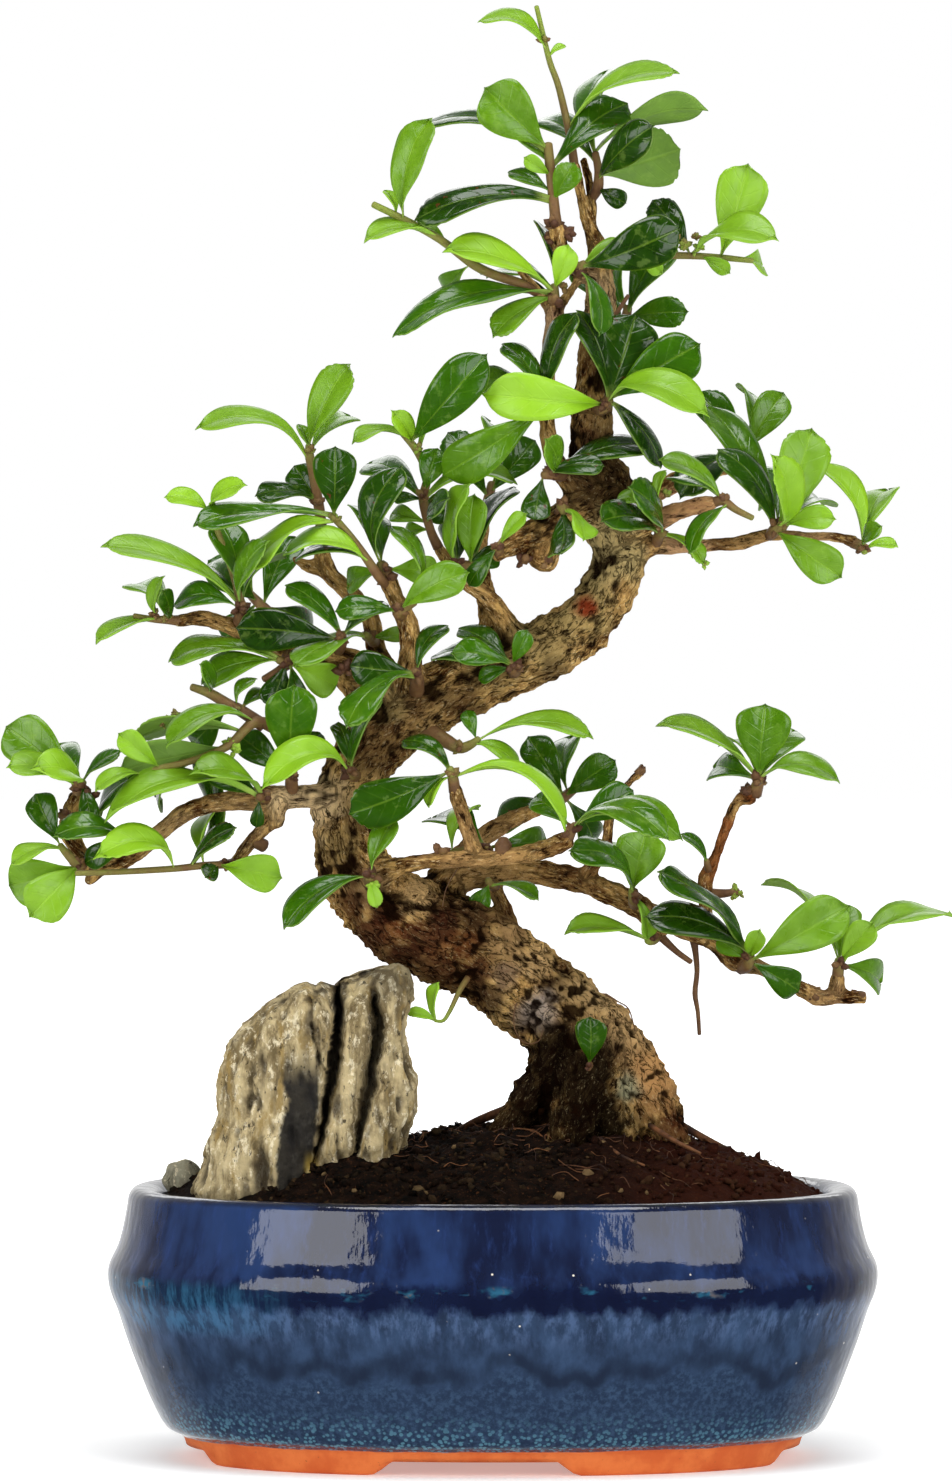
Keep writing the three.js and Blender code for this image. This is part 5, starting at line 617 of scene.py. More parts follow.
def grid_sheet(columns, rows):
    """A flat grid with u from -1 to 1 across it and t from 0 to 1 along it."""
    bm = bmesh.new()
    bmesh.ops.create_grid(bm, x_segments=columns, y_segments=rows, size=1)
    for vert in bm.verts:
        vert.co.y = (vert.co.y + 1) / 2
    return bm


def ball_sheet(subdivisions, radius=1):
    """A ball of triangles."""
    bm = bmesh.new()
    bmesh.ops.create_icosphere(bm, subdivisions=subdivisions, radius=radius)
    return bm


def read(rows, name):
    """A property of three parts, as an array with a row for each."""
    values = np.zeros(len(rows) * 3)
    rows.foreach_get(name, values)
    return values.reshape(-1, 3)


def corners_of(mesh):
    """The corners of a mesh."""
    return read(mesh.vertices, "co")


def set_corners(mesh, points):
    """Moves the corners of a mesh."""
    mesh.vertices.foreach_set("co", points.ravel())


def mesh_arrays(bm, name):
    """Keeps a template as a mesh, with its corners as an array."""
    mesh = made(bm, name)
    return mesh, corners_of(mesh)


def stack(name, parts):
    """Joins copies of template meshes, each with corners of its own."""
    bm = bmesh.new()
    for template, _ in parts:
        bm.from_mesh(template)
    mesh = made(bm, name)
    set_corners(mesh, np.vstack([points for _, points in parts]))
    return mesh


def clean(mesh, closest=.002):
    """Closes seams and poles, and turns every face outwards."""
    bm = bmesh.new()
    bm.from_mesh(mesh)
    bmesh.ops.remove_doubles(bm, verts=bm.verts, dist=closest)
    bmesh.ops.dissolve_degenerate(bm, edges=bm.edges, dist=closest / 4)
    bmesh.ops.recalc_face_normals(bm, faces=bm.faces)
    bm.to_mesh(mesh)
    bm.free()
    return mesh


def keep(mesh, name, rows):
    """Stores a value or three values for each corner."""
    rows = np.asarray(rows, float)
    kind, part = ("FLOAT", "value") if rows.ndim == 1 else ("FLOAT_VECTOR", "vector")
    mesh.attributes.new(name, kind, "POINT").data.foreach_set(part, rows.ravel())


def add_object(name, data):
    """Puts an object into the scene."""
    thing = bpy.data.objects.new(name, data)
    bpy.context.scene.collection.objects.link(thing)
    return thing


def place(mesh, name, slot, nodes, materials):
    """Stands a finished mesh in the frame as a piece."""
    mesh.transform(TO_FRAME)
    mesh.shade_smooth()
    for material in materials:
        mesh.materials.append(material)
    piece = add_object(name, mesh)
    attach(piece, "root")
    if nodes:
        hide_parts(*nodes)
    return piece


def grown_together(mesh, voxel):
    """The mesh with its overlapping parts grown into one skin."""
    holder = add_object("holder", mesh)
    modifier = holder.modifiers.new("finish", "REMESH")
    modifier.mode = "VOXEL"
    modifier.voxel_size = voxel
    shown = holder.evaluated_get(bpy.context.evaluated_depsgraph_get())
    result = bpy.data.meshes.new_from_object(shown)
    bpy.data.objects.remove(holder)
    return result


# Tubes

TUBES = {}


def tube_template(sides, rings):
    """A sheet to be rolled into a tube, with each corner's column and row."""
    if (sides, rings) not in TUBES:
        mesh, corners = mesh_arrays(grid_sheet(sides, rings), "tube")
        columns = np.round((corners[:, 0] + 1) / 2 * sides).astype(int)
        TUBES[sides, rings] = mesh, columns, np.round(corners[:, 1] * rings).astype(int)
    return TUBES[sides, rings]


def tube(path, sides, steps, tip=.6):
    """A limb with a rounded end: its template, its corners and their shares of its length."""
    rings = rings_of(path, steps)
    first_centre, first_ahead, _, _ = rings[0]
    centre, ahead, radius, _ = rings[-1]
    caps = [(centre + ahead * radius * tip * math.sin(a), ahead, max(radius * math.cos(a), 1e-4), 0)
            for a in (.5, 1, math.pi / 2)]
    rings = [(first_centre, first_ahead, 1e-4, 0)] + rings + caps
    template, column, row = tube_template(sides, len(rings) - 1)
    normal = np.array([0., 1, 0])
    centres, normals, sideways = [], [], []
    for centre, ahead, radius, _ in rings:
        normal = squared(normal, ahead)
        centres.append(centre)
        normals.append(normal * radius)
        sideways.append(np.cross(ahead, normal) * radius)
    angle = (column / sides * 2 * math.pi)[:, None]
    centres, normals, sideways = (np.array(rows)[row] for rows in (centres, normals, sideways))
    points = centres + normals * np.cos(angle) + sideways * np.sin(angle)
    return template, points, row / (len(rings) - 1)


# Leaves in their places

def leaf_frame(row, foot, swing=0):
    """Where the leaf of a row lies: its sizes, and the directions along, across and out of it."""
    _, _, across, down, back, width, arch, _ = row
    along = seen(across, down, foot[1] + back + swing) - foot
    length = np.linalg.norm(along)
    along = along / length
    wide = abs(width)
    half_width = max(wide, min(.46 * length, WIDEST_LEAF)) / 2
    turn = math.acos(width / (2 * half_width))
    to_eye = squared(np.array([0., -1, 0]), along)
    upper = unit(np.cross(along, to_eye))
    if upper[2] < 0:
        upper = -upper
    normal = to_eye * math.cos(turn) + upper * math.sin(turn)
    return {"foot": foot, "along": along, "side": np.cross(along, normal), "normal": normal,
            "length": length, "half_width": half_width, "wide": wide, "arch": arch}


def on_blade(leaf, across, along, out):
    """Points of a blade: millimetres across, along and out of its middle face."""
    share = along / leaf["length"]
    out = out + leaf["arch"] * leaf["length"] * 4 * share * (1 - share)
    return (leaf["foot"] + across[:, None] * leaf["side"] + along[:, None] * leaf["along"]
            + out[:, None] * leaf["normal"])


def leaf_samples(leaf):
    """Points spread over a blade, in rows of five, and one at its tip."""
    outline = BROAD_OUTLINE if leaf["wide"] >= BROAD_FROM else NARROW_OUTLINE
    across, along = [], []
    share = .3
    while share < 1:
        after = next(i for i, row in enumerate(outline) if row[0] >= share)
        (low, wide_a), (high, wide_b) = outline[after - 1:after + 1]
        half = leaf["half_width"] * (wide_a + (wide_b - wide_a) * (share - low) / (high - low))
        across += [side * half for side in (-1, -.5, 0, .5, 1)]
        along += [share * leaf["length"]] * 5
        share += .115
    across.append(0)
    along.append(leaf["length"])
    return on_blade(leaf, np.array(across), np.array(along), np.zeros(len(across)))


def distances(samples, centres):
    """How far each sample is from each centre."""
    return np.linalg.norm(samples[:, None] - centres[None], axis=2)


def lay_out():
    """Every leaf in its place, swung nearer or further off until it is clear of those before it."""
    balls = [ring for path in [TRUNK, *LIMBS.values()] for ring in rings_of(path, 3)]
    centres = np.array([ball[0] for ball in balls])
    reach = np.array([ball[2] for ball in balls]) + WOOD_SPACING
    placed = np.zeros((0, 3))
    laid = {name: [] for name in SPRAYS}
    rows = [(name, row) for name, (_, leaves) in SPRAYS.items() for row in leaves]
    rows += [(name, row) for name, leaves in TINY_LEAVES.items() for row in leaves]
    for name, row in rows:
        feet = [ring[0] for ring in rings_of(SPRAYS[name][0], 4) if ring[3] >= 1]
        wanted = seen(row[0], row[1], feet[0][1])
        foot = min(feet, key=lambda spot: math.hypot(spot[0] - wanted[0], spot[2] - wanted[2]))
        best = None
        for swing in SWINGS:
            leaf = leaf_frame(row, foot, swing)
            samples = leaf_samples(leaf)
            free = (distances(samples, centres) - reach).min()
            if len(placed):
                free = min(free, distances(samples, placed).min() - LEAF_SPACING)
            if best is None or free > best[0]:
                best = (free, leaf, samples)
            if best[0] >= 0:
                break
        placed = np.vstack([placed, best[2]])
        laid[name].append((best[1], row[7]))
    return laid


# Materials

class Finish:
    """A material, its shader and the nodes that feed it."""

    def __init__(self, name, **constants):
        self.material = bpy.data.materials.new(name)
        self.material.use_nodes = True
        self.tree = self.material.node_tree
        self.shader = self.tree.nodes["Principled BSDF"]
        for key, value in constants.items():
            self.shader.inputs[key.replace("_", " ")].default_value = value
        self.spot = self.place()

    def feed(self, socket, value):
        """Links a socket to another, or sets its value."""
        if isinstance(value, bpy.types.NodeSocket):
            self.tree.links.new(value, socket)
        else:
            socket.default_value = colour(value) if isinstance(value, str) else value

    def node(self, kind, inputs, **settings):
        """A shader node with its settings and what goes into it."""
        added = self.tree.nodes.new("ShaderNode" + kind)
        for key, value in settings.items():
            setattr(added, key, value)
        for key, value in inputs.items():
            self.feed(added.inputs[key], value)
        return added

    def place(self, stretch=(1, 1, 1)):
        """Object coordinates in millimetres, drawn out along each axis."""
        coordinates = self.node("TexCoord", {}).outputs["Object"]
        scale = tuple(1000 * s for s in stretch)
        return self.node("Mapping", {"Vector": coordinates, "Scale": scale}).outputs[0]

    def tall(self, share):
        """Object coordinates for upright marks, or for flat ones where the share is over 1."""
        return self.place((1, 1, share))

    def attribute(self, name, part="Vector"):
        """What keep stored under that name."""
        return self.node("Attribute", {}, attribute_name=name).outputs[part]

    def split(self, vector):
        """The three parts of a vector."""
        return self.node("SeparateXYZ", {"Vector": vector}).outputs

    def noise(self, vector, size, detail=3, rough=.55, distortion=0):
        """Noise from 0 to 1 with lumps of that size in millimetres."""
        return self.node("TexNoise", {"Vector": vector, "Scale": 1 / size, "Detail": detail,
                                      "Roughness": rough, "Distortion": distortion}).outputs["Fac"]

    def cells(self, size):
        """Distance from the middle of cells of that size in millimetres."""
        return self.node("TexVoronoi", {"Vector": self.spot, "Scale": 1 / size}).outputs["Distance"]

    def math(self, operation, *values):
        """One operation on one or two values."""
        return self.node("Math", dict(enumerate(values)), operation=operation).outputs[0]

    def times(self, *values):
        """The values multiplied together."""
        product = values[0]
        for value in values[1:]:
            product = self.math("MULTIPLY", product, value)
        return product

    def plus(self, a, b, share=1):
        """The first value and a share of the second."""
        return self.math("ADD", a, b if share == 1 else self.math("MULTIPLY", b, share))

    def sway(self, value, clouds, reach):
        """The value, moved up and down by half that reach as the noise wanders."""
        return self.plus(value, self.math("SUBTRACT", clouds, .5), reach)

    def band(self, value, low, high, start=0, end=1):
        """Runs smoothly from start to end as the value goes from low to high."""
        return self.node("MapRange", {"Value": value, "From Min": low, "From Max": high,
                                      "To Min": start, "To Max": end},
                         interpolation_type="SMOOTHSTEP").outputs["Result"]

    def stripe(self, value, edges):
        """Rises to 1 from the first edge to the second, and falls from the third to the fourth."""
        rise, full, still, end = edges
        return self.times(self.band(value, rise, full), self.band(value, end, still))

    def uneven(self, size, low, high, detail=3):
        """Runs from low to high over lumps of that size."""
        return self.band(self.noise(self.spot, size, detail), .3, .7, low, high)

    def ramp(self, value, stops):
        """A colour ramp."""
        added = self.node("ValToRGB", {"Fac": value})
        elements = added.color_ramp.elements
        while len(elements) < len(stops):
            elements.new(.5)
        for element, (at, _) in zip(elements, stops):
            element.position = at
        for element, (_, shade) in zip(elements, stops):
            element.color = colour(shade) if isinstance(shade, str) else shade
        return added.outputs["Color"]

    def mix(self, share, a, b):
        """The first colour with a share of the second laid over it."""
        return self.node("Mix", {0: share, 6: a, 7: b}, data_type="RGBA").outputs[2]

    def layers(self, base, *rows):
        """The base colour with rows of share and colour laid over it in turn."""
        for share, shade in rows:
            base = self.mix(share, base, shade)
        return base

    def wear(self, **sockets):
        """Feeds the shader's own sockets."""
        for key, value in sockets.items():
            self.feed(self.shader.inputs[key.replace("_", " ")], value)

    def bump(self, height, depth):
        """Raises the surface by up to that depth in millimetres."""
        self.wear(Normal=self.node("Bump", {"Height": height, "Distance": depth / 1000}).outputs[0])


def paint(setting):
    """A colour setting as red, green, blue and 1."""
    return tuple(setting) + (1,)


# Bands up the pot: where each rises, is full, begins to fall and ends
GLAZE_LINE = (23, 26.5, 27.5, 31.5)
DARK_BAND = (40, 43.5, 46, 50)
TEAL_RUN = (33, 38, 45, 49)
RIDGE = (43.6, 45.4, 46.6, 48.6)


def glaze_finish(sizes):
    """Cobalt glaze, run over the ridge in pale streaks to a dark wavy line, and teal lower down."""
    f = Finish("cobalt_glaze", IOR=1.5)
    spot = f.spot
    x, _, z = f.split(spot)
    streaks = f.noise(f.tall(.18), 2.6, 6, .7)
    deep = f.mix(f.band(f.noise(f.tall(.4), 17, 4, .6), .38, .66),
                 paint(sizes.deep_blue), paint(sizes.blue))
    deep = f.mix(f.band(streaks, .5, .75, 0, .5), deep, "#25396a")
    lower = f.mix(f.band(f.noise(f.tall(.45), 6, 5, .62), .3, .7), "#1e2a3f", "#30435f")
    pale_runs = f.times(f.band(z, 30, 39), f.band(streaks, .42, .66, 0, .7))
    lower = f.mix(pale_runs, lower, "#4a5f82")
    edge = f.sway(z, f.noise(f.tall(.6), 8, 5, .65), 13)
    line = f.sway(z, f.noise(f.tall(.01), 13, 2, .4), 22)
    line = f.sway(line, f.noise(spot, 2.4, 4, .6), 3)
    faint = f.band(f.noise(f.tall(.2), 12, 3), .35, .6, .25, .8)
    bottom = f.mix(f.band(f.noise(spot, 1.4, 5, .7), .4, .66), "#1f2c42", "#32465f")
    low = f.band(f.plus(z, f.noise(f.tall(.5), 22, 3), 8), 22, 10)
    leftward = f.times(f.band(x, -42, -70), f.stripe(z, TEAL_RUN))
    thin = f.times(f.stripe(z, RIDGE), f.band(f.noise(f.tall(2), 9, 4, .6), .56, .7, 0, .6))
    lip = f.band(f.plus(z, f.noise(spot, 3, 4), 2), 66.6, 68.2)
    pits = f.times(f.band(f.cells(4.5), .075, .05), f.band(f.noise(spot, 11, 2), .57, .64))
    clay = f.band(f.plus(z, f.noise(spot, 9), 1.4), 7.2, 6.7)
    terracotta = f.layers(
        f.mix(f.band(f.noise(spot, 9, 5, .6), .35, .65), "#cb5d22", "#dd7535"),
        (f.band(f.noise(spot, .9, 3, .7), .66, .74, 0, .7), "#7c3c1c"))
    base = f.layers(
        f.mix(f.band(edge, 44, 39.5), deep, lower),
        (f.times(f.stripe(line, GLAZE_LINE), faint), "#172031"),
        (f.band(line, 26, 21, 0, .85), bottom),
        (f.times(f.band(f.cells(1.25), .5, .3), low, .6), "#5e93a6"),
        (f.times(f.stripe(edge, DARK_BAND), .85), "#070d26"),
        (f.times(leftward, f.band(streaks, .42, .6, .1, .6)), "#2e6080"),
        (thin, "#2a6883"),
        (f.times(thin, f.band(f.noise(spot, 2.4, 4), .52, .6)), "#6a4a30"),
        (f.times(lip, .7), "#1d1c22"),
        (pits, "#cfc8bb"),
        (clay, terracotta))
    f.wear(Base_Color=base, Roughness=f.band(clay, 0, 1, .07, .85))
    swell = f.plus(f.times(f.noise(spot, 13, 2), 1.3), f.noise(f.tall(.22), 4.5, 3, .6), .32)
    f.bump(f.plus(swell, f.noise(spot, 1.6, 3), .1), .4)
    return f.material


def mesh_finish():
    """Dull black plastic."""
    f = Finish("black_mesh", Specular_IOR_Level=.4)
    base = f.mix(f.noise(f.spot, 3), "#101010", "#1d1d1c")
    f.wear(Base_Color=base, Roughness=f.uneven(2, .45, .7))
    f.bump(f.noise(f.spot, .6, 2), .08)
    return f.material


def soil_finish():
    """Dark damp soil, redder to the right, with light grains where the tint says so."""
    f = Finish("potting_soil", Specular_IOR_Level=.05)
    spot = f.spot
    rightward = f.plus(f.split(spot)[0], f.noise(spot, 20), 30)
    grit = f.mix(f.noise(spot, 2, 3), "#a58a60", "#5a432c")
    base = f.layers(
        f.mix(f.band(f.noise(spot, 3, 6, .7), .35, .7), "#040302", "#1e120b"),
        (f.band(f.noise(spot, .9, 4, .7), .58, .7, 0, .7), "#51321d"),
        (f.band(rightward, 28, 75, 0, .55), "#3b180c"),
        (f.band(f.attribute("tint", "Fac"), 0, 1), grit))
    f.wear(Base_Color=base, Roughness=f.uneven(1.5, .8, 1))
    f.bump(f.plus(f.noise(spot, 1.1, 6, .75), f.cells(1.6), .6), .8)
    return f.material


def fibre_finish():
    """Brown root fibres."""
    f = Finish("root_fibre", Specular_IOR_Level=.3)
    base = f.mix(f.band(f.noise(f.spot, 9, 4), .4, .66), "#24120a", "#744a2a")
    f.wear(Base_Color=base, Roughness=f.uneven(1, .7, .95))
    f.bump(f.noise(f.spot, .5, 3), .1)
    return f.material


def stone_finish(name, pale, dark, ochre):
    """Weathered stone: mottled pale and dark with dark pits, raised lumps painted paler as a
    painted highlight, hollows painted darker as painted shade, painted shade deep in its clefts,
    and its charcoal and yellow stain.
    """
    f = Finish(name, Specular_IOR_Level=.3)
    spot = f.spot
    height = f.attribute("height", "Fac")
    painted_cleft_shade, charcoal, stain = f.split(f.attribute("shade"))
    base = f.layers(
        f.mix(f.band(f.noise(f.tall(.35), 6, 6, .68), .4, .58), dark, pale),
        (f.band(f.noise(f.tall(.3), 5, 5, .65, .5), .53, .66, 0, .75), ochre),
        # Painted highlight: raised lumps of the surface made paler.
        (f.band(height, .1, 1.3, 0, .75), "#ecdcb2"),
        (f.band(f.noise(f.tall(.6), 2.2, 6, .75), .53, .63, 0, .8), "#f6eac8"),
        # Painted shade: hollows of the surface made darker.
        (f.band(height, -.5, -1.9, 0, .85), "#33281a"),
        (f.band(f.noise(f.tall(.55), 1.7, 5, .72), .43, .34, 0, .9), "#2f2416"),
        # Painted shade: the deep clefts darkened almost to black.
        (painted_cleft_shade, "#1a120a"),
        (charcoal, f.mix(f.noise(spot, 2, 6, .7), "#090909", "#292624")),
        (stain, "#c9a93c"))
    f.wear(Base_Color=base, Roughness=f.uneven(2, .75, .97))
    f.bump(f.plus(f.noise(spot, 2, 7, .75), f.noise(f.tall(.5), 1.1, 3), .5), 1.5)
    return f.material


def bark_finish(sizes):
    """Rough bark: pale flaking plates, dark crevices along the limb, patches of other colours and
    of painted shade, raised parts painted paler as a painted highlight and hollows painted darker
    as painted shade.
    """
    f = Finish("bark", Specular_IOR_Level=.01)
    spot = f.spot
    grain = f.attribute("bark")
    height = f.attribute("height", "Fac")
    thick, share = f.attribute("thick", "Fac"), f.attribute("cover", "Fac")
    flakes = f.noise(grain, 1.6, 7, .72, .4)
    fine = f.noise(grain, .62, 5, .78)
    wander = f.math("ABSOLUTE", f.math("SUBTRACT", f.noise(grain, 3.4, 5, .6, .8), .5))
    crack = f.times(f.band(wander, .03, .006), f.band(thick, .3, .8, .4, .8))
    frost = f.times(f.band(fine, .56, .66), f.math("SUBTRACT", .4, f.times(share, .26)))
    pale, brown = paint(sizes.pale_bark), paint(sizes.brown_bark)
    base = f.layers(
        f.mix(f.band(f.noise(spot, 8, 4, .6), .4, .6), pale, brown),
        (f.band(f.noise(spot, 5, 4, .65), .56, .66, 0, .2), "#7f7a45"),
        (f.band(flakes, .49, .6, 0, .85), "#d6ac66"),
        # Painted highlight: raised parts of the wood made paler.
        (f.band(height, .1, .5, 0, .5), "#e2bb76"),
        (f.band(fine, .55, .66, 0, .65), "#f2d8a0"),
        # Patches of bark colour, and near-black patches of painted shade round the trunk's foot.
        (share, f.attribute("patch_and_shade", "Color")),
        (frost, "#f4dca6"),
        # Painted shade: hollows of the wood darkened almost to black.
        (f.band(height, -.08, -.45, 0, .94), "#160903"),
        (f.band(flakes, .46, .37, 0, .94), "#160903"),
        (crack, "#150b05"),
        (f.band(fine, .43, .33, 0, .92), "#120702"))
    f.wear(Base_Color=base, Roughness=f.band(fine, .3, .7, .75, .97))
    relief = f.plus(f.times(flakes, 1.6), fine, .6)
    f.bump(f.math("SUBTRACT", relief, f.times(crack, .5)), 1.1)
    return f.material


def leaf_finish(name, sizes, under):
    """Leaf skin that pales with youth, with midrib, side ribs, stalk and a few brown spots."""
    f = Finish(name, Specular_IOR_Level=.2 if under else .4)
    spot = f.spot
    across, along, _ = f.split(f.attribute("blade"))
    growth = f.split(f.attribute("growth"))
    youth = f.sway(growth[0], f.noise(spot, 5, 3), .3)
    old, grown, young = paint(sizes.old_leaf), paint(sizes.grown_leaf), paint(sizes.young_leaf)
    between = tuple((a + b) / 2 for a, b in zip(grown, young))
    green = f.ramp(youth, [(0, old), (.38, grown), (.68, between), (1, young)])
    side = f.math("ABSOLUTE", across)
    ribs = f.math("FRACT", f.times(f.math("SUBTRACT", along, f.times(side, .22)), 7))
    from_rib = f.math("ABSOLUTE", f.math("SUBTRACT", ribs, .5))
    rib = f.times(f.band(from_rib, .1, 0), f.band(side, .95, .6))
    midrib = f.band(side, .075, .015)
    pale = f.mix(.45, green, "#a6cf3c")
    spotted = f.times(f.band(f.noise(spot, 2.4, 3, .6), .65, .7), growth[2])
    base = f.layers(
        green,
        (f.times(rib, .05), pale),
        (f.times(midrib, .24), pale),
        (f.band(side, .9, 1, 0, .22), pale),
        (f.times(f.band(along, .16, .04), .7), "#8a9a45"),
        (f.band(f.noise(spot, 2.6, 3, .6), .56, .7, 0, .1), "#a4c45c"),
        (spotted, "#4a2a12"))
    if under:
        base = f.mix(.3, base, "#93b455")
    dullness = (.45, .6) if under else (.1, .22)
    rough = f.plus(f.uneven(2.5, *dullness, 4), f.band(youth, .35, .8, 0, .24))
    f.wear(Base_Color=base, Roughness=rough)
    waves = f.times(f.noise(spot, 3.2, 2), f.band(youth, .3, .9, .9, .4))
    waves = f.plus(waves, f.times(f.noise(spot, .8, 2), f.band(youth, .2, .6, .05, 0)))
    f.bump(f.math("SUBTRACT", waves, f.plus(f.times(rib, .2), midrib, .6)), .16)
    return f.material


def stem_finish():
    """Stems and buds, from brown wood to green with youth."""
    f = Finish("green_stem", Specular_IOR_Level=.35)
    spot = f.spot
    share = f.sway(f.split(f.attribute("growth"))[0], f.noise(spot, 3, 4), .5)
    base = f.ramp(share, [(0, "#4a2b18"), (.25, "#6d4f2c"), (.5, "#6f692e"), (.75, "#74852c"),
                          (1, "#86ab30")])
    base = f.mix(f.band(f.noise(spot, .9, 4, .7), .55, .7, 0, .5), base, "#432a18")
    f.wear(Base_Color=base, Roughness=f.uneven(2, .5, .8))
    f.bump(f.noise(spot, .7, 4, .7), .15)
    return f.material


def glowing_floor_finish(sizes):
    """Pale floor that glows as painted light, faintly near the pot and fully further out, so that
    it brightens outwards to meet the backdrop and fills in the shadow round the pot.
    """
    f = Finish("glowing_pale_floor", Specular_IOR_Level=.1, Emission_Color=(1, 1, 1, 1))
    x, y, _ = f.split(f.spot)
    shade = tuple(sizes.floor_colour)
    base = f.mix(f.noise(f.spot, 60, 2), tuple(s * .985 for s in shade) + (1,), shade + (1,))
    distance = f.math("SQRT", f.math("ADD", f.times(x, x), f.times(y, y)))
    # Painted light: the floor glows, faintly near the pot and fully from further out.
    f.wear(Base_Color=base, Roughness=f.uneven(30, .85, .95),
           Emission_Strength=f.band(distance, 90, 420, .3, 1))
    return f.material


# Pot and soil

# Rings of the spun pot are drawn out to ovals. Beyond this half length each is less deep than
# long by the same amount
ROUND_WITHIN = 60
LENGTH_OVER_DEPTH = POT_HALF_LENGTH - POT_HALF_DEPTH
BLEND_WIDTH = 25

# Stretches of a profile, each as its rows of radius and height, and steps to a row
POT_OUTSIDE = [
    ([(7, 5.5), (30, 5.5), (66, 5.5)], 3),
    ([(66, 5.5), (66.4, 2.5), (67.4, .4), (68.2, 0)], 2),
    ([(68.2, 0), (74.8, 0)], 2),
    ([(74.8, 0), (75.8, .5), (76.4, 2.2), (77.2, 4.9), (77.8, 5.8), (79.2, 6.7), (81.6, 7.9),
      (83.4, 10.2)], 2),
    ([(83.4, 10.2), (86, 15.4), (88.6, 21.8), (91.2, 28.6), (93, 34), (94.2, 37.6), (95.4, 40.4),
      (96.1, 42.6), (96.45, 44.6), (96.5, 46.4), (96.3, 48), (95.6, 49.9), (94.5, 52), (93.5, 54.6),
      (92.7, 57.8), (92, 61.2), (91.4, 64), (91.1, 65.6), (90.4, 66.8), (89.2, 67.5), (87.2, 67.5),
      (85.2, 67.1), (83.9, 66.2), (83.3, 64.6), (83.3, 61), (83.3, 48)], 2),
    ([(83.3, 48), (81.2, 35), (78.5, 24), (73.5, 17), (66, 14)], 2),
    ([(66, 14), (30, 14), (7, 14)], 2),
    ([(7, 14), (7, 5.5)], 4),
]
POT_STEPS = 240
FOOT_ARCH = 4.3

# The soil's underside steps over the drain mesh
SOIL_OUTSIDE = [
    ([(0, SOIL_BOTTOM), (12.6, SOIL_BOTTOM)], 2),
    ([(12.6, SOIL_BOTTOM), (12.6, 15.8)], 2),
    ([(12.6, 15.8), (17.4, 15.8)], 2),
    ([(17.4, 15.8), (17.6, SOIL_BOTTOM)], 2),
    ([(17.6, SOIL_BOTTOM), (65.7, SOIL_BOTTOM)], 4),
    ([(65.7, SOIL_BOTTOM), (73.2, 17.4), (78.1, 24.6), (80.9, 35), (POT_INSIDE, 48.2)], 2),
    ([(POT_INSIDE, 48.2), (POT_INSIDE, 64.8)], 2),
    ([(POT_INSIDE, 64.8), (82, SOIL_EDGE)], 4),
    ([(82, SOIL_EDGE), (0, SOIL_EDGE)], 130),
]
SOIL_STEPS = 190
CRUMBS = 3400
FIBRES = 220
FIBRES_BY_TRUNK = 130


def half_depth(half_length):
    """The half depth of a ring of the pot, from its half length."""
    inner = half_length * (ROUND_WITHIN - LENGTH_OVER_DEPTH) / ROUND_WITHIN
    return np.where(half_length > ROUND_WITHIN, half_length - LENGTH_OVER_DEPTH, inner)


def to_oval(points, round_within):
    """Draws rings of a spun form out to the pot's rounded rectangle."""
    x, y = points[:, 0], points[:, 1]
    radius = np.hypot(x, y)
    angle = np.arctan2(y, x)
    cos, sin = np.cos(angle), np.sin(angle)
    reach = rounded(cos, sin, POT_SQUARENESS)
    share = ease(round_within, round_within + BLEND_WIDTH, radius)
    shaped = points.copy()
    shaped[:, 0] = x + share * (radius * cos * reach - x)
    shaped[:, 1] = y + share * (half_depth(radius) * sin * reach - y)
    return shaped


def spun(stretches, steps, closed):
    """Spins a profile round the upright axis, its stretches smooth curves that meet at corners."""
    line = []
    for rows, parts in stretches:
        parts = max(1, parts // 2) if len(rows) == 2 else parts
        line += [part(i / parts)[0] for part in curve(np.array(rows, float)) for i in range(parts)]
    if not closed:
        line.append(np.array(stretches[-1][0][-1], float))
    bm = bmesh.new()
    verts = [bm.verts.new((radius, 0, height)) for radius, height in line]
    pairs = zip(verts, verts[1:] + verts[:1] if closed else verts[1:])
    edges = [bm.edges.new(pair) for pair in pairs]
    bmesh.ops.spin(bm, geom=verts + edges, cent=(0, 0, 0), axis=(0, 0, 1), dvec=(0, 0, 0),
                   angle=2 * math.pi, steps=steps, use_merge=True, use_duplicate=False)
    bmesh.ops.remove_doubles(bm, verts=bm.verts, dist=.001)
    bmesh.ops.recalc_face_normals(bm, faces=bm.faces)
    return made(bm, "spun")


def pot_mesh():
    """The pot: foot ring cut into four feet, flared bowl, ridge, upper band and rounded lip."""
    mesh = spun(POT_OUTSIDE, POT_STEPS, True)
    points = to_oval(corners_of(mesh), 8)
    x, y, z = points.T
    low = (z < 3) & (np.hypot(x / POT_HALF_LENGTH, y / POT_HALF_DEPTH) > .5)
    front = ease(-30.5, -22.5, x) * ease(21.5, 13.5, x)
    ends = ease(27, 19.5, np.abs(y))
    points[:, 2] = np.where(low, z + (FOOT_ARCH - z) * np.maximum(front, ends), z)
    outside = np.hypot(points[:, 0] / POT_HALF_LENGTH, points[:, 1] / POT_HALF_DEPTH) > .8
    wave = lumps(points, 34, 3)
    glazed = ease(6, 12, points[:, 2]) * ease(66, 60, points[:, 2]) * outside
    points[:, :2] *= (1 - .0016 * (1 + wave) * glazed)[:, None]
    set_corners(mesh, points)
    return mesh


def mound_share(x, y):
    """How far out a place is, from 0 at the middle of the mound to 1 at its edge."""
    return np.clip(np.hypot(x / MOUND_HALF_LENGTH, y / MOUND_HALF_DEPTH), 0, 1)


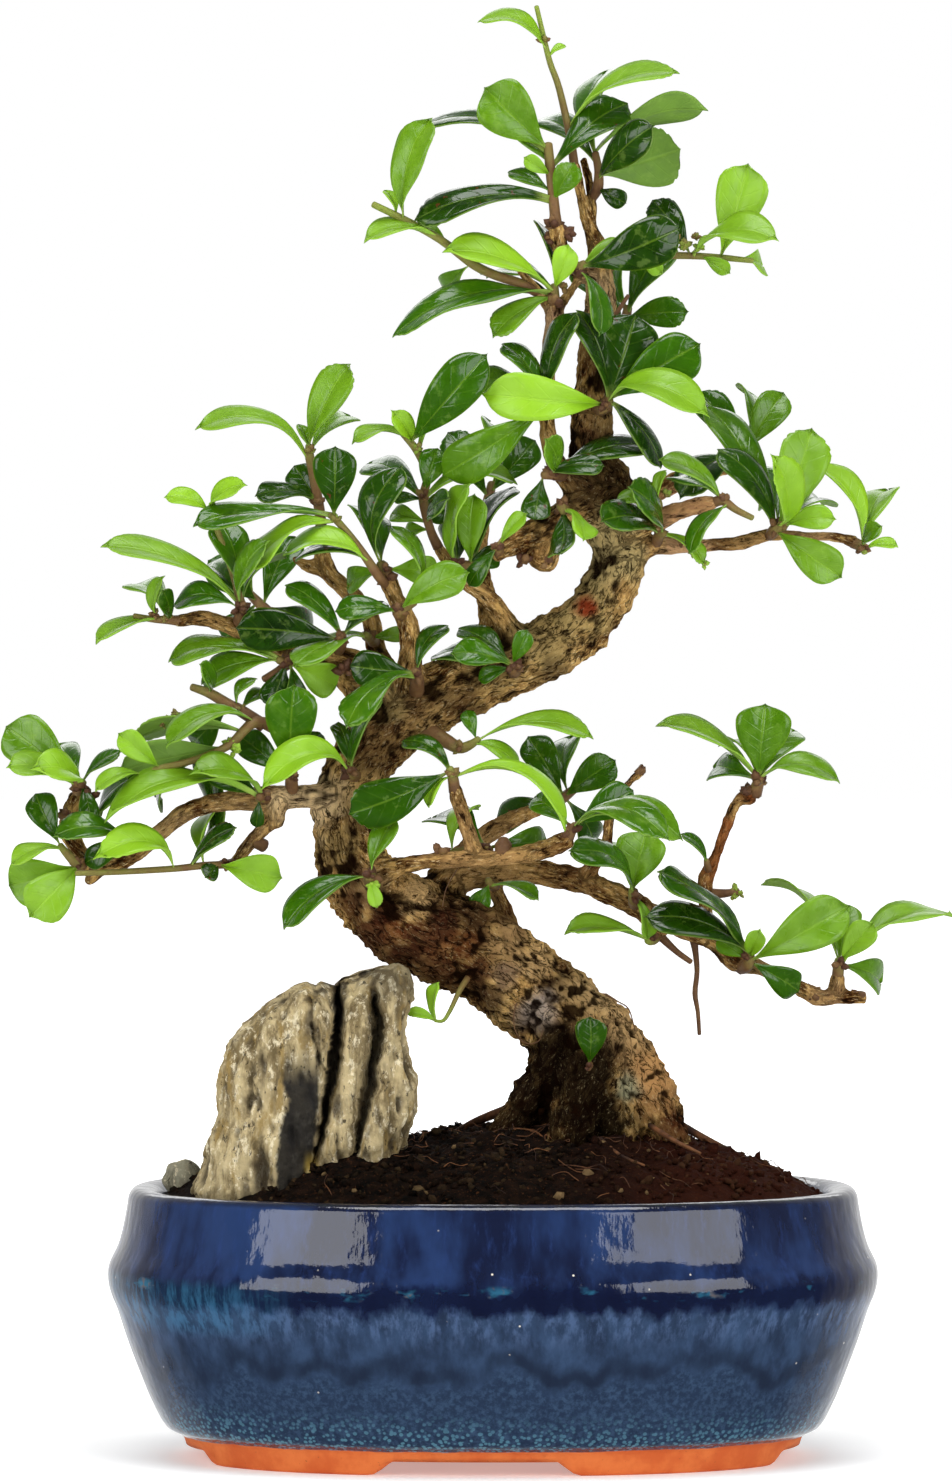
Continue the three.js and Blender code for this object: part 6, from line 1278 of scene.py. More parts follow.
def mound_height(x, y):
    """The height of the mound's top: domed and wavy, with a hollow left of the middle."""
    share = mound_share(x, y)
    waves = np.sin(.21 * x + 1) * np.cos(.27 * y) + .6 * np.sin(.47 * x + .39 * y)
    hollow = 2.2 * np.exp(-((x + 19) / 11) ** 2)
    return SOIL_EDGE + SOIL_RISE * (1 - share ** 3) + 1.1 * waves * (1 - share ** 4) - hollow


def oval_share(x, y, half_length, half_depth):
    """How far out a place is in an oval like the pot's, with 1 on its line."""
    return abs(x / half_length) ** POT_SQUARENESS + abs(y / half_depth) ** POT_SQUARENESS


def soil_mesh():
    """The body of soil, its top a mound of fine lumps."""
    mesh = spun(SOIL_OUTSIDE, SOIL_STEPS, False)
    points = to_oval(corners_of(mesh), 18)
    x, y, z = points.T
    upper = z > SOIL_EDGE - .9
    flat = points * (1, 1, 0)
    rough = 1.2 * lumps(flat, 4.2, 1, 3) + .8 * lumps(flat, 1.5, 2)
    raised = mound_height(x, y) + rough * np.where(mound_share(x, y) > .9, .45, 1) - .5
    points[:, 2] = np.where(upper, raised, z)
    set_corners(mesh, points)
    keep(mesh, "tint", np.zeros(len(points)))
    return mesh


def crumbs_mesh():
    """Loose crumbs of soil, a few woody chips and light grains."""
    dice = random.Random(4)
    template, ball = mesh_arrays(ball_sheet(1), "crumb")
    parts, tints = [], []
    while len(parts) < CRUMBS:
        x, y = dice.uniform(-82, 82), dice.uniform(-61, 61)
        out = oval_share(x, y, 81, 60)
        if out > 1:
            continue
        size = min(1.8, .45 + dice.expovariate(3))
        height = mound_height(np.array(x), np.array(y)) - .35 - (.5 if out > .85 else 0)
        axis = (dice.uniform(0, FULL_TURN), 3, (dice.random(), dice.random(), dice.random() + .01))
        shape = ball * (1 + np.array([[dice.uniform(-.28, .28)] for _ in ball]))
        sides = (dice.uniform(.8, 1.5), dice.uniform(.6, 1), dice.uniform(.5, .9))
        shape = shape * tuple(size * side for side in sides)
        parts.append((template, shape @ np.array(Matrix.Rotation(*axis)) + (x, y, height)))
        light = dice.random() < .035
        tint = dice.uniform(.25, .7) if light else dice.uniform(0, .45) ** 2
        tints += [tint] * len(ball)
    mesh = stack("soil_crumbs", parts)
    keep(mesh, "tint", tints)
    return mesh


def fibres_mesh():
    """Fine roots and bits of straw lying over the soil, most of them round the trunk."""
    dice = random.Random(9)
    paths = []
    for i in range(FIBRES):
        near = i < FIBRES_BY_TRUNK
        x = dice.gauss(12, 24) if near else dice.uniform(-76, 76)
        y = dice.gauss(-8, 17) if near else dice.uniform(-56, 56)
        angle, length = dice.uniform(0, FULL_TURN), dice.uniform(3, 11)
        path = []
        for step in range(5):
            if oval_share(x, y, 80, 59) > 1:
                break
            lift = .5 + (1.1 if step in (1, 2) else 0) * dice.random()
            height = float(mound_height(np.array(x), np.array(y))) + lift
            path.append((*front_place(x, y, height), y, dice.uniform(.05, .13)))
            angle += dice.uniform(-.7, .7)
            x += math.cos(angle) * length / 4
            y += math.sin(angle) * length / 4
        if len(path) > 2:
            paths.append(path)
    parts = [tube(path, 5, 3)[:2] for path in paths]
    parts += [tube(path, 8, 4)[:2] for path in SURFACE_ROOTS]
    return clean(stack("root_fibres", parts))


# Stones

STONE_BACK = -22
STONE_TOP_DOWN = 243
STONE_HEIGHT = 69
STONE_CAP = .16  # share of its height over which it closes, above and below
STONE_SQUARENESS = 2.8
STONE_EDGES = [  # down, left, right, half depth
    (242.6, 75.4, 101.6, 7), (243.6, 73, 102.4, 8.4), (245.4, 70.4, 103, 10),
    (249, 66.4, 103.3, 11.6), (254.5, 61.3, 102, 13), (260, 57, 101.7, 13.7),
    (266, 54.9, 103, 14.2), (271, 54, 104.4, 14.6), (278, 54.1, 104.4, 15), (285, 52, 102.2, 15),
    (292, 50, 100, 15), (298, 48, 99.4, 15), (306, 50, 98.8, 14), (313, 52.6, 98, 13),
]
STONE_TOP = [  # across, down
    (73.2, 244.6), (76.3, 244.8), (78.6, 246.2), (79.6, 245.3), (82.8, 247.3), (84.6, 245.5),
    (87.9, 245), (92.9, 242.8), (96.9, 241.3), (99.6, 240.3), (101.8, 240.8), (103.3, 243),
]
STONE_GROOVES = [  # how deep, then rows of down, across, width to the left, width to the right
    (12, [(245.5, 83, .5, .6), (251.7, 84.6, 1.1, 1.2), (257.5, 84.5, 1.1, 1.3),
          (268.3, 82.9, 1.3, 1.5), (276.7, 81.3, .9, 1), (285, 79.8, .5, .6), (290, 78.6, .4, .5)]),
    (8, [(249.5, 93.8, .8, 1), (256.7, 95.2, 1.8, 1.5), (262.5, 94.3, 2, 1.4),
         (268.3, 93.7, 3.2, 1.4), (275, 92.5, 2.8, 1.2), (280, 91.2, 2.1, 1), (285, 89.8, 1, .7),
         (289.5, 88.9, .5, .5)]),
    (2.6, [(257, 77.8, .3, .4), (262.5, 79.5, .3, .4), (268.3, 81.1, .3, .4)]),
    (2, [(256, 64.4, 1, .9), (262, 63.4, 1.2, 1), (270, 62.8, 1, 1), (278, 62, 1.3, 1)]),
    (1.6, [(250, 71, 1.2, 1), (262, 69.6, 1.2, 1.2), (276, 67.6, 1.4, 1.2), (292, 66, 1.4, 1.2)]),
    (1.3, [(264, 99.4, 1, .8), (276, 98.8, 1, 1), (288, 96.6, 1, .8)]),
]
STONE_HOLES = [  # across, down, half width, half height, depth
    (63.8, 285.8, .9, 1.8, 2.4), (84.3, 296.2, 1.5, 2.6, 4.5), (97.4, 292.6, .7, 2, 2),
    (88.6, 247.6, .8, 1.6, 1.6),
]
CHARCOAL_LEFT = [  # down, across
    (262, 72), (268, 69.8), (274, 72.4), (281, 70.1), (288, 69.4), (299, 69.3),
]
CHARCOAL_RIGHT = [
    (262, 80), (267, 80.4), (277, 79.8), (285, 79.2), (292, 76.8), (299, 76.2),
]


def follow(place, rows, column=1):
    """Reads a column of rows that are given at places along their first."""
    return np.interp(place, [row[0] for row in rows], [row[column] for row in rows])


def groove_cuts(across, down, wander):
    """How deep the grooves and holes are cut at each corner of the upright stone."""
    cut = np.zeros(len(down))
    for deepness, rows in STONE_GROOVES:
        top, bottom = rows[0][0], rows[-1][0]
        inside = ease(top - 3, top, down) * ease(bottom + 3, bottom - 3, down)
        offset = across + wander - follow(down, rows)
        offset = np.abs(offset / np.where(offset < 0, follow(down, rows, 2), follow(down, rows, 3)))
        sharp, soft = np.exp(-offset ** 3), np.exp(-(offset / 2.4) ** 2)
        cut = np.maximum(cut, deepness * inside * (.85 * sharp + .15 * soft))
    for at, level, half_width, half_height, deepness in STONE_HOLES:
        near = ((across - at) / half_width) ** 2 + ((down - level) / half_height) ** 2
        cut = np.maximum(cut, deepness * np.exp(-near))
    return cut


def stone_shade_and_stains(across, down, wander, front, cut):
    """The upright stone's painted shade deep in its clefts, and its charcoal and yellow stain, at
    each corner.
    """
    left, right = follow(down, CHARCOAL_LEFT), follow(down, CHARCOAL_RIGHT)
    inside = np.minimum(across - left, right - across) + wander
    charcoal = ease(-.4, .5, inside) * front * ease(260, 271, down)
    shoulder = ease(89, 93, across + wander) * ease(253, 246, down + wander)
    charcoal = np.maximum(charcoal, .5 * shoulder)
    yellow = ease(1.4, .3, np.abs(across - 78) / 1.6) * ease(286, 292, down) * front
    # The first part is painted shade that darkens the deep clefts; the charcoal and the yellow
    # stain are the stone's own colours.
    return np.stack([ease(2.4, 9, cut) * front * .9, charcoal * .97, yellow * .6], axis=1)


def tall_stone_mesh():
    """One upright boulder with deep narrow grooves down its front and rounded shoulders."""
    mesh, corners = mesh_arrays(grid_sheet(250, 170), "stone_tall")
    angle, t = corners[:, 0] * math.pi, corners[:, 1]
    cos, sin = np.cos(angle), np.sin(angle)
    level = np.clip((t - STONE_CAP) / (1 - 2 * STONE_CAP), 0, 1)
    down = STONE_TOP_DOWN + level * STONE_HEIGHT
    left, right, deep = (follow(down, STONE_EDGES, column) for column in (1, 2, 3))
    closing = np.minimum(t, 1 - t) / STONE_CAP
    dome = np.sin(np.clip(closing, 0, 1) * math.pi / 2)
    size = rounded(cos, sin, STONE_SQUARENESS) * np.where(closing < 1, dome ** .8, 1)
    across = (left + right) / 2 + (right - left) / 2 * cos * size
    fade = ease(262, STONE_TOP_DOWN, down)
    crown = 3 * (1 - dome) * (t < .5)
    down = down + (follow(across, STONE_TOP) - 243.4) * fade + 1.6 * fade - crown * .8
    depth = deep * sin * size
    front = np.clip(-2 * sin, 0, 1)
    wander = .9 * lumps(np.stack([across * .3, down, 0 * down], axis=1), 3.5, 2, 2)
    cut = groove_cuts(across, down, wander)
    first, second = (follow(down, rows) for _, rows in STONE_GROOVES[:2])
    apart = ease(246, 251, down) * ease(293, 286, down)
    for low, high, share in ((left, first, 1), (first, second, apart), (second, right, apart)):
        middle = np.clip((across - low) / (high - low), 0, 1) * 2 - 1
        depth = depth - 2.4 * front * share * np.sqrt(np.clip(1 - middle ** 2, 0, 1))
    step = 3.4 * ease(-.6, .6, across - first) - 1.2 * ease(-.6, .6, across - second)
    depth = depth + front * step + cut * front * np.minimum(size, 1)
    spread = (EYE_DISTANCE + STONE_BACK) / EYE_DISTANCE
    points = np.stack([(across - MIDDLE_ACROSS) * spread, STONE_BACK + depth,
                       EYE_HEIGHT - (down - EYE_DOWN) * spread], axis=1)
    crags = 1 - 2.2 * np.abs(lumps(points * (1, 1, .22), 6.5, 5, 3))
    flutes = lumps(points * (1, 1, .32), 2.8, 6, 3)
    pits = np.maximum(lumps(points * (1, 1, .5), 3, 8) - .24, 0)
    rough = 1.1 * crags + .95 * flutes + .3 * lumps(points, 1.1, 4, 2) - 3.2 * pits - 1
    outwards = np.stack([cos, sin, np.zeros(len(t))], axis=1)
    points = points + outwards * (rough * np.clip(size * 1.5, 0, 1))[:, None]
    points[:, 2] += np.where(t < .5, 1, 0) * (1 - level) ** 4 * .5 * lumps(points, 3, 7)
    set_corners(mesh, points)
    keep(mesh, "shade", stone_shade_and_stains(across, down, wander, front, cut))
    # The relief, which the finish paints paler where raised and darker in hollows, as painted light
    # and shade.
    keep(mesh, "height", rough)
    return clean(mesh, .01)


def pebble_mesh():
    """A rounded pebble at the left rim."""
    mesh, ball = mesh_arrays(ball_sheet(4, 4.8), "stone_small")
    bumps = .06 * np.sin(.9 * ball[:, 0] + 1.3 * ball[:, 2]) + .05 * np.cos(1.1 * ball[:, 1])
    rough = lumps(ball, 2, 3, 2)
    size = (1 + bumps + .02 * rough - .015)[:, None]
    set_corners(mesh, ball * size * (1, .9, 1) + seen(45.6, 295, -1))
    keep(mesh, "shade", np.zeros((len(ball), 3)))
    # The relief, which the finish paints paler where raised and darker in hollows, as painted light
    # and shade.
    keep(mesh, "height", .8 * rough)
    return mesh


# Wood

def bark_rings():
    """Rings of every limb: centre, direction, radius, distance run so far, a direction outwards."""
    rings, travelled = [], 0
    for path in [TRUNK, *LIMBS.values()]:
        previous = None
        travelled += 40
        normal = np.array([0., 1, 0])
        for centre, ahead, radius, _ in rings_of(path, 5):
            travelled += 0 if previous is None else np.linalg.norm(centre - previous)
            previous = centre
            normal = squared(normal, ahead)
            rings.append((centre, ahead, radius, travelled, normal))
    return rings


def along_grain(points):
    """The radius of the limb at each point, and the point's place in the limb's own directions."""
    rings = bark_rings()
    tree = kdtree.KDTree(len(rings))
    for i, ring in enumerate(rings):
        tree.insert(Vector(ring[0]), i)
    tree.balance()
    radius, grain = np.zeros(len(points)), np.zeros((len(points), 3))
    for i, point in enumerate(points):
        hits = tree.find_n(Vector(point), 8)
        found = min(hits, key=lambda hit: hit[2] - rings[hit[1]][2])
        centre, ahead, radius[i], passed, normal = rings[found[1]]
        offset = point - centre
        sideways = np.cross(ahead, normal)
        grain[i] = offset.dot(normal), offset.dot(sideways), passed + offset.dot(ahead)
    return radius, grain


def bark_patches_and_shade(across, down, wander):
    """The colour of the patches over each corner of the wood, some of them painted shade, and how
    much of it they cover.
    """
    shade, share = np.zeros((len(across), 3)), np.zeros(len(across))
    for at, level, reach, hue, strength in BARK_PATCHES_AND_SHADE:
        near = np.hypot(across - at, down - level) / reach
        weight = strength * ease(1.25, .5, near + .35 * wander)
        shade = shade * (1 - weight[:, None]) + np.array(colour(hue)[:3]) * weight[:, None]
        share = share * (1 - weight) + weight
    return shade / np.maximum(share, .001)[:, None], share


def wood_mesh():
    """Trunk, roots and branches grown into one skin, with the bark's lumps."""
    parts = [tube(TRUNK, 28, 5)[:2]] + [tube(path, 16, 4)[:2] for path in LIMBS.values()]
    mesh = grown_together(clean(stack("wood", parts)), WOOD_VOXEL)
    bm = bmesh.new()
    bm.from_mesh(mesh)
    for _ in range(3):
        bmesh.ops.smooth_vert(bm, verts=bm.verts, factor=.5, use_axis_x=True, use_axis_y=True,
                              use_axis_z=True)
    bm.to_mesh(mesh)
    bm.free()
    points, normals = corners_of(mesh), read(mesh.vertex_normals, "vector")
    radius, grain = along_grain(points)
    thick = ease(1.6, 8, radius)
    low = ease(185, 235, front_place(*points.T)[1]) * thick
    plates, chips = .3 + 1.1 * thick, .26 + .6 * thick + .5 * low
    relief = plates * lumps(points, 9, 11) + chips * lumps(points, 2.6, 12, 2)
    relief = relief + .55 * low * lumps(points, 1.5, 16)
    knots = np.maximum(lumps(grain, 2.2, 13), 0) * (.12 + .5 * thick)
    points = points + normals * (relief + knots - .12 - .35 * thick)[:, None]
    set_corners(mesh, points)
    # Patch colours, the near-black ones round the trunk's foot being painted shade.
    shade, share = bark_patches_and_shade(*front_place(*points.T), lumps(points, 5, 14, 2))
    grain[:, 2] *= np.where(radius > 5, .45, .35)
    keep(mesh, "bark", grain)
    keep(mesh, "patch_and_shade", shade)
    # The relief, which the bark paints paler where raised and darker in its hollows, as painted
    # light and shade.
    keep(mesh, "height", relief / (1.1 + .65 * thick))
    keep(mesh, "thick", .35 + .65 * thick)
    keep(mesh, "cover", share * .97)
    return mesh


# Leaves, stems and buds

def leaf_template():
    """A flat blade: its mesh, and each corner's place across and along it and its side."""
    bm = grid_sheet(LEAF_COLUMNS, LEAF_ROWS)
    bmesh.ops.solidify(bm, geom=bm.faces[:], thickness=.5)
    for face in bm.faces:
        face.material_index = 0 if face.normal.z > .5 else 1
    mesh, corners = mesh_arrays(bm, "leaf")
    side = np.where(corners[:, 2] > corners[:, 2].mean(), 1., -1.)
    rows = np.round(corners[:, 1] * LEAF_ROWS).astype(int)
    return mesh, corners[:, 0], np.array(LEAF_OUTLINE)[rows].T, side


def blade_points(leaf, youth, dice, template, tooth):
    """A leaf's corners: spatulate, toothed at its tip, folded along its midrib and gently waved."""
    _, u, (t, wide, notch), side = template
    length, half = leaf["length"], leaf["half_width"]
    edge = np.abs(u)
    cut = tooth * dice.choice((0, .15, .35, 1))
    wide = half * (wide - notch * cut * ease(.5, 1, edge))
    along = t * length * (1 - .03 * edge * ease(.75, 1, t))
    across = u * wide * (1 + .05 * dice.uniform(-1, 1) * np.sign(u))
    fold = .25 + .1 * youth + dice.uniform(-.08, .08)
    cup = fold * edge - (.3 - .25 * youth) * edge ** 2
    out = half * cup * ease(0, .3, t)
    out = out - .16 * np.exp(-(u / .13) ** 2) * ease(0, .2, t)
    lift, phase = math.sin(dice.uniform(0, FULL_TURN)), dice.uniform(0, FULL_TURN)
    out = out + .035 * length * edge ** 2 * lift * np.sin(t * dice.uniform(5, 9) + phase + u)
    out = out - length * dice.uniform(0, .1) * ease(.7, 1.15, t) * (.4 + youth)
    bend = dice.uniform(-.03, .03) * length
    across = across + bend * np.sin(t * math.pi)
    return on_blade(leaf, across, along, out + side * LEAF_THICKNESS / 2)


def mean_youth(leaves):
    """The mean youth of a shoot's leaves."""
    return sum(youth for _, youth in leaves) / len(leaves)


def foliage_piece(name, stem, leaves, template, tooth, dice):
    """One shoot: its stem and its leaves."""
    slimmer = [(across, down, back, radius * .85) for across, down, back, radius in stem]
    stem_template, points, passed = tube(slimmer, 8, 4)
    count = len(points)
    parts, blades = [(stem_template, points)], [np.zeros((count, 3))]
    stem_youth = (.1 + .8 * mean_youth(leaves)) * ease(-.3, .9, passed)
    growths = [np.stack([stem_youth, np.full(count, dice.random()), np.zeros(count)], axis=1)]
    mesh, u, (t, _, _), _ = template
    for leaf, youth in leaves:
        parts.append((mesh, blade_points(leaf, youth, dice, template, tooth)))
        blades.append(np.stack([u, t, 0 * u], axis=1))
        spotted = 1 if youth < .3 and dice.random() < .35 else 0
        growths.append(np.tile((youth, dice.random(), spotted), (len(u), 1)))
    mesh = stack(name, parts)
    keep(mesh, "blade", np.vstack(blades))
    keep(mesh, "growth", np.vstack(growths))
    slots = np.zeros(len(mesh.polygons), int)
    mesh.polygons.foreach_get("material_index", slots)
    slots[:len(stem_template.polygons)] = 2
    mesh.polygons.foreach_set("material_index", slots)
    return clean(mesh, .01)


def buds_mesh():
    """Scaly buds along the wood, each a cluster of small pointed scales."""
    dice = random.Random(21)
    template, ball = mesh_arrays(ball_sheet(1), "bud_scale")
    pointed = ball.copy()
    pointed[:, :2] *= np.clip(1.12 - .42 * np.clip(ball[:, 2:], 0, 1) ** 1.2, .4, 1.2)
    pointed[:, 2] = np.where(ball[:, 2] > 0, ball[:, 2] * 1.5, ball[:, 2])
    parts, growths = [], []
    for across, down, back, radius, youth in BUDS:
        middle = seen(across, down, back)
        for _ in range(9):
            lean = Vector((dice.gauss(0, .75), dice.gauss(-.2, .75), dice.gauss(.55, .6)))
            turn = np.array(Vector((0, 0, 1)).rotation_difference(lean).to_matrix())
            size = radius * dice.uniform(.34, .66)
            spot = middle + np.array(lean.normalized()) * radius * dice.uniform(.2, .85)
            parts.append((template, pointed * (size, size * .8, size * 1.15) @ turn.T + spot))
            growth = min(1, max(0, youth + dice.uniform(-.15, .25)))
            growths += [(growth, dice.random(), 0)] * len(ball)
    mesh = stack("buds", parts)
    keep(mesh, "growth", growths)
    return mesh


def twigs_mesh():
    """The thinnest twigs."""
    mesh = clean(stack("thin_twigs", [tube(path, 8, 4)[:2] for path in THIN_TWIGS]))
    keep(mesh, "growth", np.tile((.12, .5, 0), (len(mesh.vertices), 1)))
    return mesh


# Lights, world and camera

# Softboxes round the middle of the tree: name, place in metres, width, height, share of the power
SOFTBOXES = [
    ("left_softbox", (-1.03, -1.2, .42), .94, 1.1, 1),
    ("right_softbox", (1.14, -1.2, .42), 1.25, 1.1, 1.2),
    ("far_left_softbox", (-1.6, -.1, .45), 1, 1.1, .02),
    ("far_right_softbox", (1.6, -.1, .45), 1, 1.1, .02),
    ("top_softbox", (0, -.5, 1.6), 1.3, .8, 1.9),
    ("back_softbox", (0, 1.9, 1.1), 1.8, 1, .8),
]
TREE_MIDDLE_HEIGHT = .18
FLOOR_SIZE = 6
SENSOR = 36
WHITE = (1, 1, 1, 1)
ROOM_LIGHT = {"From Min": .2, "From Max": 1, "To Min": .07, "To Max": .95}


def aim(thing, spot, target):
    """Stands a lamp or camera at a spot, facing a target."""
    thing.location = spot
    thing.rotation_euler = (target - spot).to_track_quat("-Z", "Y").to_euler()


def softbox(name, spot, target, width, height, power):
    """One soft rectangular lamp."""
    light = bpy.data.lights.new(name, "AREA")
    light.shape = "RECTANGLE"
    light.size, light.size_y = width, height
    light.energy = power
    aim(add_object(name, light), spot, target)


def studio_world():
    """White behind the tree, with a room that is bright at the back and dim in front."""
    world = bpy.data.worlds.new("studio")
    world.use_nodes = True
    tree = world.node_tree

    def node(kind, *sources):
        added = tree.nodes.new("ShaderNode" + kind)
        for socket, source in zip(added.inputs, sources):
            tree.links.new(source, socket)
        return added

    direction = node("SeparateXYZ", node("TexCoord").outputs["Generated"])
    brightness = node("MapRange", direction.outputs["Y"])
    for key, value in ROOM_LIGHT.items():
        brightness.inputs[key].default_value = value
    room, backdrop = tree.nodes["Background"], node("Background")
    for background in (room, backdrop):
        background.inputs["Color"].default_value = WHITE
    tree.links.new(brightness.outputs["Result"], room.inputs["Strength"])
    from_camera = node("LightPath").outputs["Is Camera Ray"]
    shown = node("MixShader", from_camera, room.outputs[0], backdrop.outputs[0])
    tree.links.new(shown.outputs[0], tree.nodes["World Output"].inputs["Surface"])
    return world


def front_camera():
    """The camera at the eye, framing the whole tree."""
    camera = bpy.data.cameras.new("front_camera")
    camera.sensor_fit = "VERTICAL"
    camera.sensor_height = SENSOR
    target = TO_FRAME @ Vector((VIEW_ACROSS, 0, VIEW_HEIGHT))
    spot = TO_FRAME @ Vector((VIEW_ACROSS, -EYE_DISTANCE, EYE_HEIGHT))
    camera.lens = SENSOR * (target - spot).length / (VISIBLE_HEIGHT / 1000)
    viewer = add_object("front_camera", camera)
    aim(viewer, spot, target)
    return viewer


# Settings

def colour_setting(name, text, description):
    """A colour that the panel shows."""
    return bpy.props.FloatVectorProperty(name=name, description=description, size=3, min=0, max=1,
                                         default=colour(text)[:3], subtype="COLOR")


class PotSettings(bpy.types.PropertyGroup):
    deep_blue: colour_setting("Deep blue", "#10172f", "Darkest part of the glaze")
    blue: colour_setting("Blue", "#203258", "Thinner part of the glaze over the upper band")


class WoodSettings(bpy.types.PropertyGroup):
    pale_bark: colour_setting("Pale bark", "#a9834d", "Bark on the upper trunk and branches")
    brown_bark: colour_setting("Brown bark", "#553115", "Older bark between the pale plates")


class LeafSettings(bpy.types.PropertyGroup):
    old_leaf: colour_setting("Old leaf", "#0a2001", "Oldest leaves")
    grown_leaf: colour_setting("Grown leaf", "#2d5703", "Leaves of middle age")
    young_leaf: colour_setting("Young leaf", "#80ae18", "Newest leaves")
    tooth_depth: bpy.props.FloatProperty(
        name="Tooth depth", description="How deep the teeth at a leaf's tip are cut",
        default=1, min=0, max=2, subtype="FACTOR")


class StageSettings(bpy.types.PropertyGroup):
    floor_colour: colour_setting("Floor", "#f4f4f4", "Colour of the floor and the backdrop")
    softbox_power: bpy.props.FloatProperty(
        name="Softbox power", description="Power that each softbox takes its share of",
        default=13, min=0, subtype="POWER", unit="POWER")


# Operators

class BONSAI_OT_pot(bpy.types.Operator):
    """Builds the glazed oval pot"""
    bl_idname = "bonsai.pot"
    bl_label = "Pot"

    def execute(self, context):
        finish = glaze_finish(context.scene.bonsai_pot)
        place(pot_mesh(), "glazed_pot", "glaze", ["pot"], [finish])
        return {"FINISHED"}


class BONSAI_OT_drain_mesh(bpy.types.Operator):
    """Finishes the plastic mesh over the drain hole"""
    bl_idname = "bonsai.drain_mesh"
    bl_label = "Drain mesh"

    def execute(self, context):
        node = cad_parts["drain_mesh"]
        finish = mesh_finish()
        if not node.material_slots:
            node.data.materials.append(finish)
        for slot in node.material_slots:
            slot.link = "OBJECT"
            slot.material = finish
        return {"FINISHED"}


class BONSAI_OT_soil(bpy.types.Operator):
    """Builds the soil mound with its crumbs and fine roots"""
    bl_idname = "bonsai.soil"
    bl_label = "Soil"

    def execute(self, context):
        finish = soil_finish()
        place(soil_mesh(), "soil_mound", "soil", ["soil"], [finish])
        place(crumbs_mesh(), "soil_crumbs", "soil", [], [finish])
        place(fibres_mesh(), "root_fibres", "bark", [], [fibre_finish()])
        return {"FINISHED"}


class BONSAI_OT_stones(bpy.types.Operator):
    """Builds the upright stone and the pebble"""
    bl_idname = "bonsai.stones"
    bl_label = "Stones"

    def execute(self, context):
        ochre = stone_finish("ochre_stone", "#cbb88b", "#7d6c49", "#a0854a")
        grey = stone_finish("grey_stone", "#a9a48c", "#77735f", "#8a8560")
        place(tall_stone_mesh(), "grooved_stone", "stone_ochre", ["stone_tall"], [ochre])
        place(pebble_mesh(), "rim_pebble", "stone_grey", ["stone_small"], [grey])
        return {"FINISHED"}


class BONSAI_OT_wood(bpy.types.Operator):
    """Builds the roots, trunk and branches in their bark"""
    bl_idname = "bonsai.wood"
    bl_label = "Wood"

    def execute(self, context):
        finish = bark_finish(context.scene.bonsai_wood)
        place(wood_mesh(), "trunk_and_branches", "bark", ["wood"], [finish])
        return {"FINISHED"}


class BONSAI_OT_leaves(bpy.types.Operator):
    """Builds every leafy shoot"""
    bl_idname = "bonsai.leaves"
    bl_label = "Leaves"

    def execute(self, context):
        sizes = context.scene.bonsai_leaves
        materials = [leaf_finish("leaf_upper", sizes, False),
                     leaf_finish("leaf_under", sizes, True), stem_finish()]
        template = leaf_template()
        dice = random.Random(7)

        def shoot(name, stem, leaves, slot, nodes):
            mesh = foliage_piece(name, stem, leaves, template, sizes.tooth_depth, dice)
            place(mesh, name, slot, nodes, materials)

        for name, leaves in lay_out().items():
            youth = mean_youth(leaves)
            slot = "leaf_old" if youth < .33 else "leaf_mid" if youth < .55 else "leaf_young"
            shoot("shoot_" + name, SPRAYS[name][0], leaves, slot, ["leaves_" + name])
        for number, (stem, rows) in enumerate(SMALL_SHOOTS):
            leaves = [(leaf_frame(row, seen(row[0], row[1], stem[-1][2])), row[7]) for row in rows]
            shoot("small_shoot_%d" % (number + 1), stem, leaves, "leaf_mid", [])
        return {"FINISHED"}


class BONSAI_OT_buds(bpy.types.Operator):
    """Builds the scaly buds and the thinnest twigs"""
    bl_idname = "bonsai.buds"
    bl_label = "Buds and twigs"

    def execute(self, context):
        finish = stem_finish()
        place(buds_mesh(), "buds", "bark", [], [finish])
        place(twigs_mesh(), "thin_twigs", "bark", [], [finish])
        return {"FINISHED"}


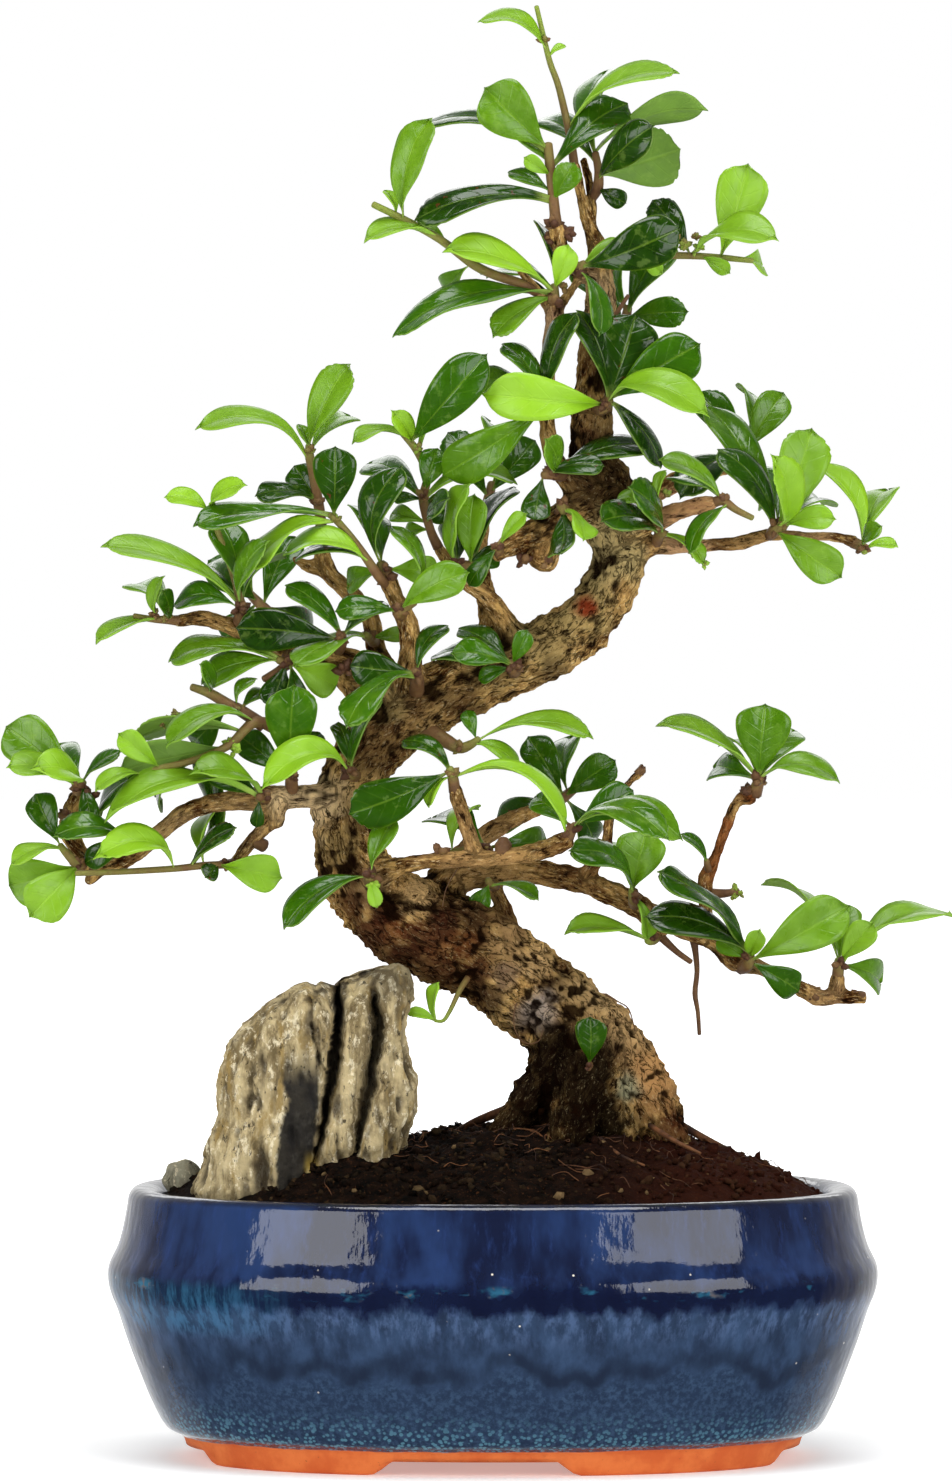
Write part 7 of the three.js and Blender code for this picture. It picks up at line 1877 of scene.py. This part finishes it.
class BONSAI_OT_stage(bpy.types.Operator):
    """Sets the floor, the soft lights and the camera"""
    bl_idname = "bonsai.stage"
    bl_label = "Stage"

    def execute(self, context):
        sizes = context.scene.bonsai_stage
        bm = bmesh.new()
        bmesh.ops.create_grid(bm, x_segments=8, y_segments=8, size=FLOOR_SIZE)
        floor = add_object("floor", made(bm, "floor"))
        floor.data.materials.append(glowing_floor_finish(sizes))
        floor.visible_glossy = False
        middle = Vector((POT_MIDDLE.x, POT_MIDDLE.y, TREE_MIDDLE_HEIGHT))
        for name, spot, width, height, share in SOFTBOXES:
            power = sizes.softbox_power * share
            softbox(name, middle + Vector(spot), middle, width, height, power)
        context.scene.world = studio_world()
        context.scene.view_settings.view_transform = "Standard"
        context.scene.camera = front_camera()
        return {"FINISHED"}


OPERATORS = (BONSAI_OT_pot, BONSAI_OT_drain_mesh, BONSAI_OT_soil, BONSAI_OT_stones, BONSAI_OT_wood,
             BONSAI_OT_leaves, BONSAI_OT_buds, BONSAI_OT_stage)
SETTINGS = {"bonsai_pot": PotSettings, "bonsai_wood": WoodSettings, "bonsai_leaves": LeafSettings,
            "bonsai_stage": StageSettings}


class BONSAI_PT_panel(bpy.types.Panel):
    """Lists the pieces of the bonsai and their settings"""
    bl_idname = "BONSAI_PT_panel"
    bl_label = "Bonsai"
    bl_space_type = "VIEW_3D"
    bl_region_type = "UI"
    bl_category = "Bonsai"

    def draw(self, context):
        for operator in OPERATORS:
            self.layout.operator(operator.bl_idname)
        for name, group in SETTINGS.items():
            box = self.layout.box()
            for key in group.__annotations__:
                box.prop(getattr(context.scene, name), key)


def register():
    """Adds the operators, the settings and the panel."""
    for group in (*SETTINGS.values(), *OPERATORS, BONSAI_PT_panel):
        bpy.utils.register_class(group)
    for name, group in SETTINGS.items():
        setattr(bpy.types.Scene, name, bpy.props.PointerProperty(type=group))


def unregister():
    """Takes them away again."""
    for name in SETTINGS:
        delattr(bpy.types.Scene, name)
    for group in (BONSAI_PT_panel, *reversed(OPERATORS), *SETTINGS.values()):
        bpy.utils.unregister_class(group)


def main():
    """Builds every piece in order."""
    register()
    bpy.ops.bonsai.pot()
    bpy.ops.bonsai.drain_mesh()
    bpy.ops.bonsai.soil()
    bpy.ops.bonsai.stones()
    bpy.ops.bonsai.wood()
    bpy.ops.bonsai.leaves()
    bpy.ops.bonsai.buds()
    bpy.ops.bonsai.stage()


if __name__ == "__main__":
    main()
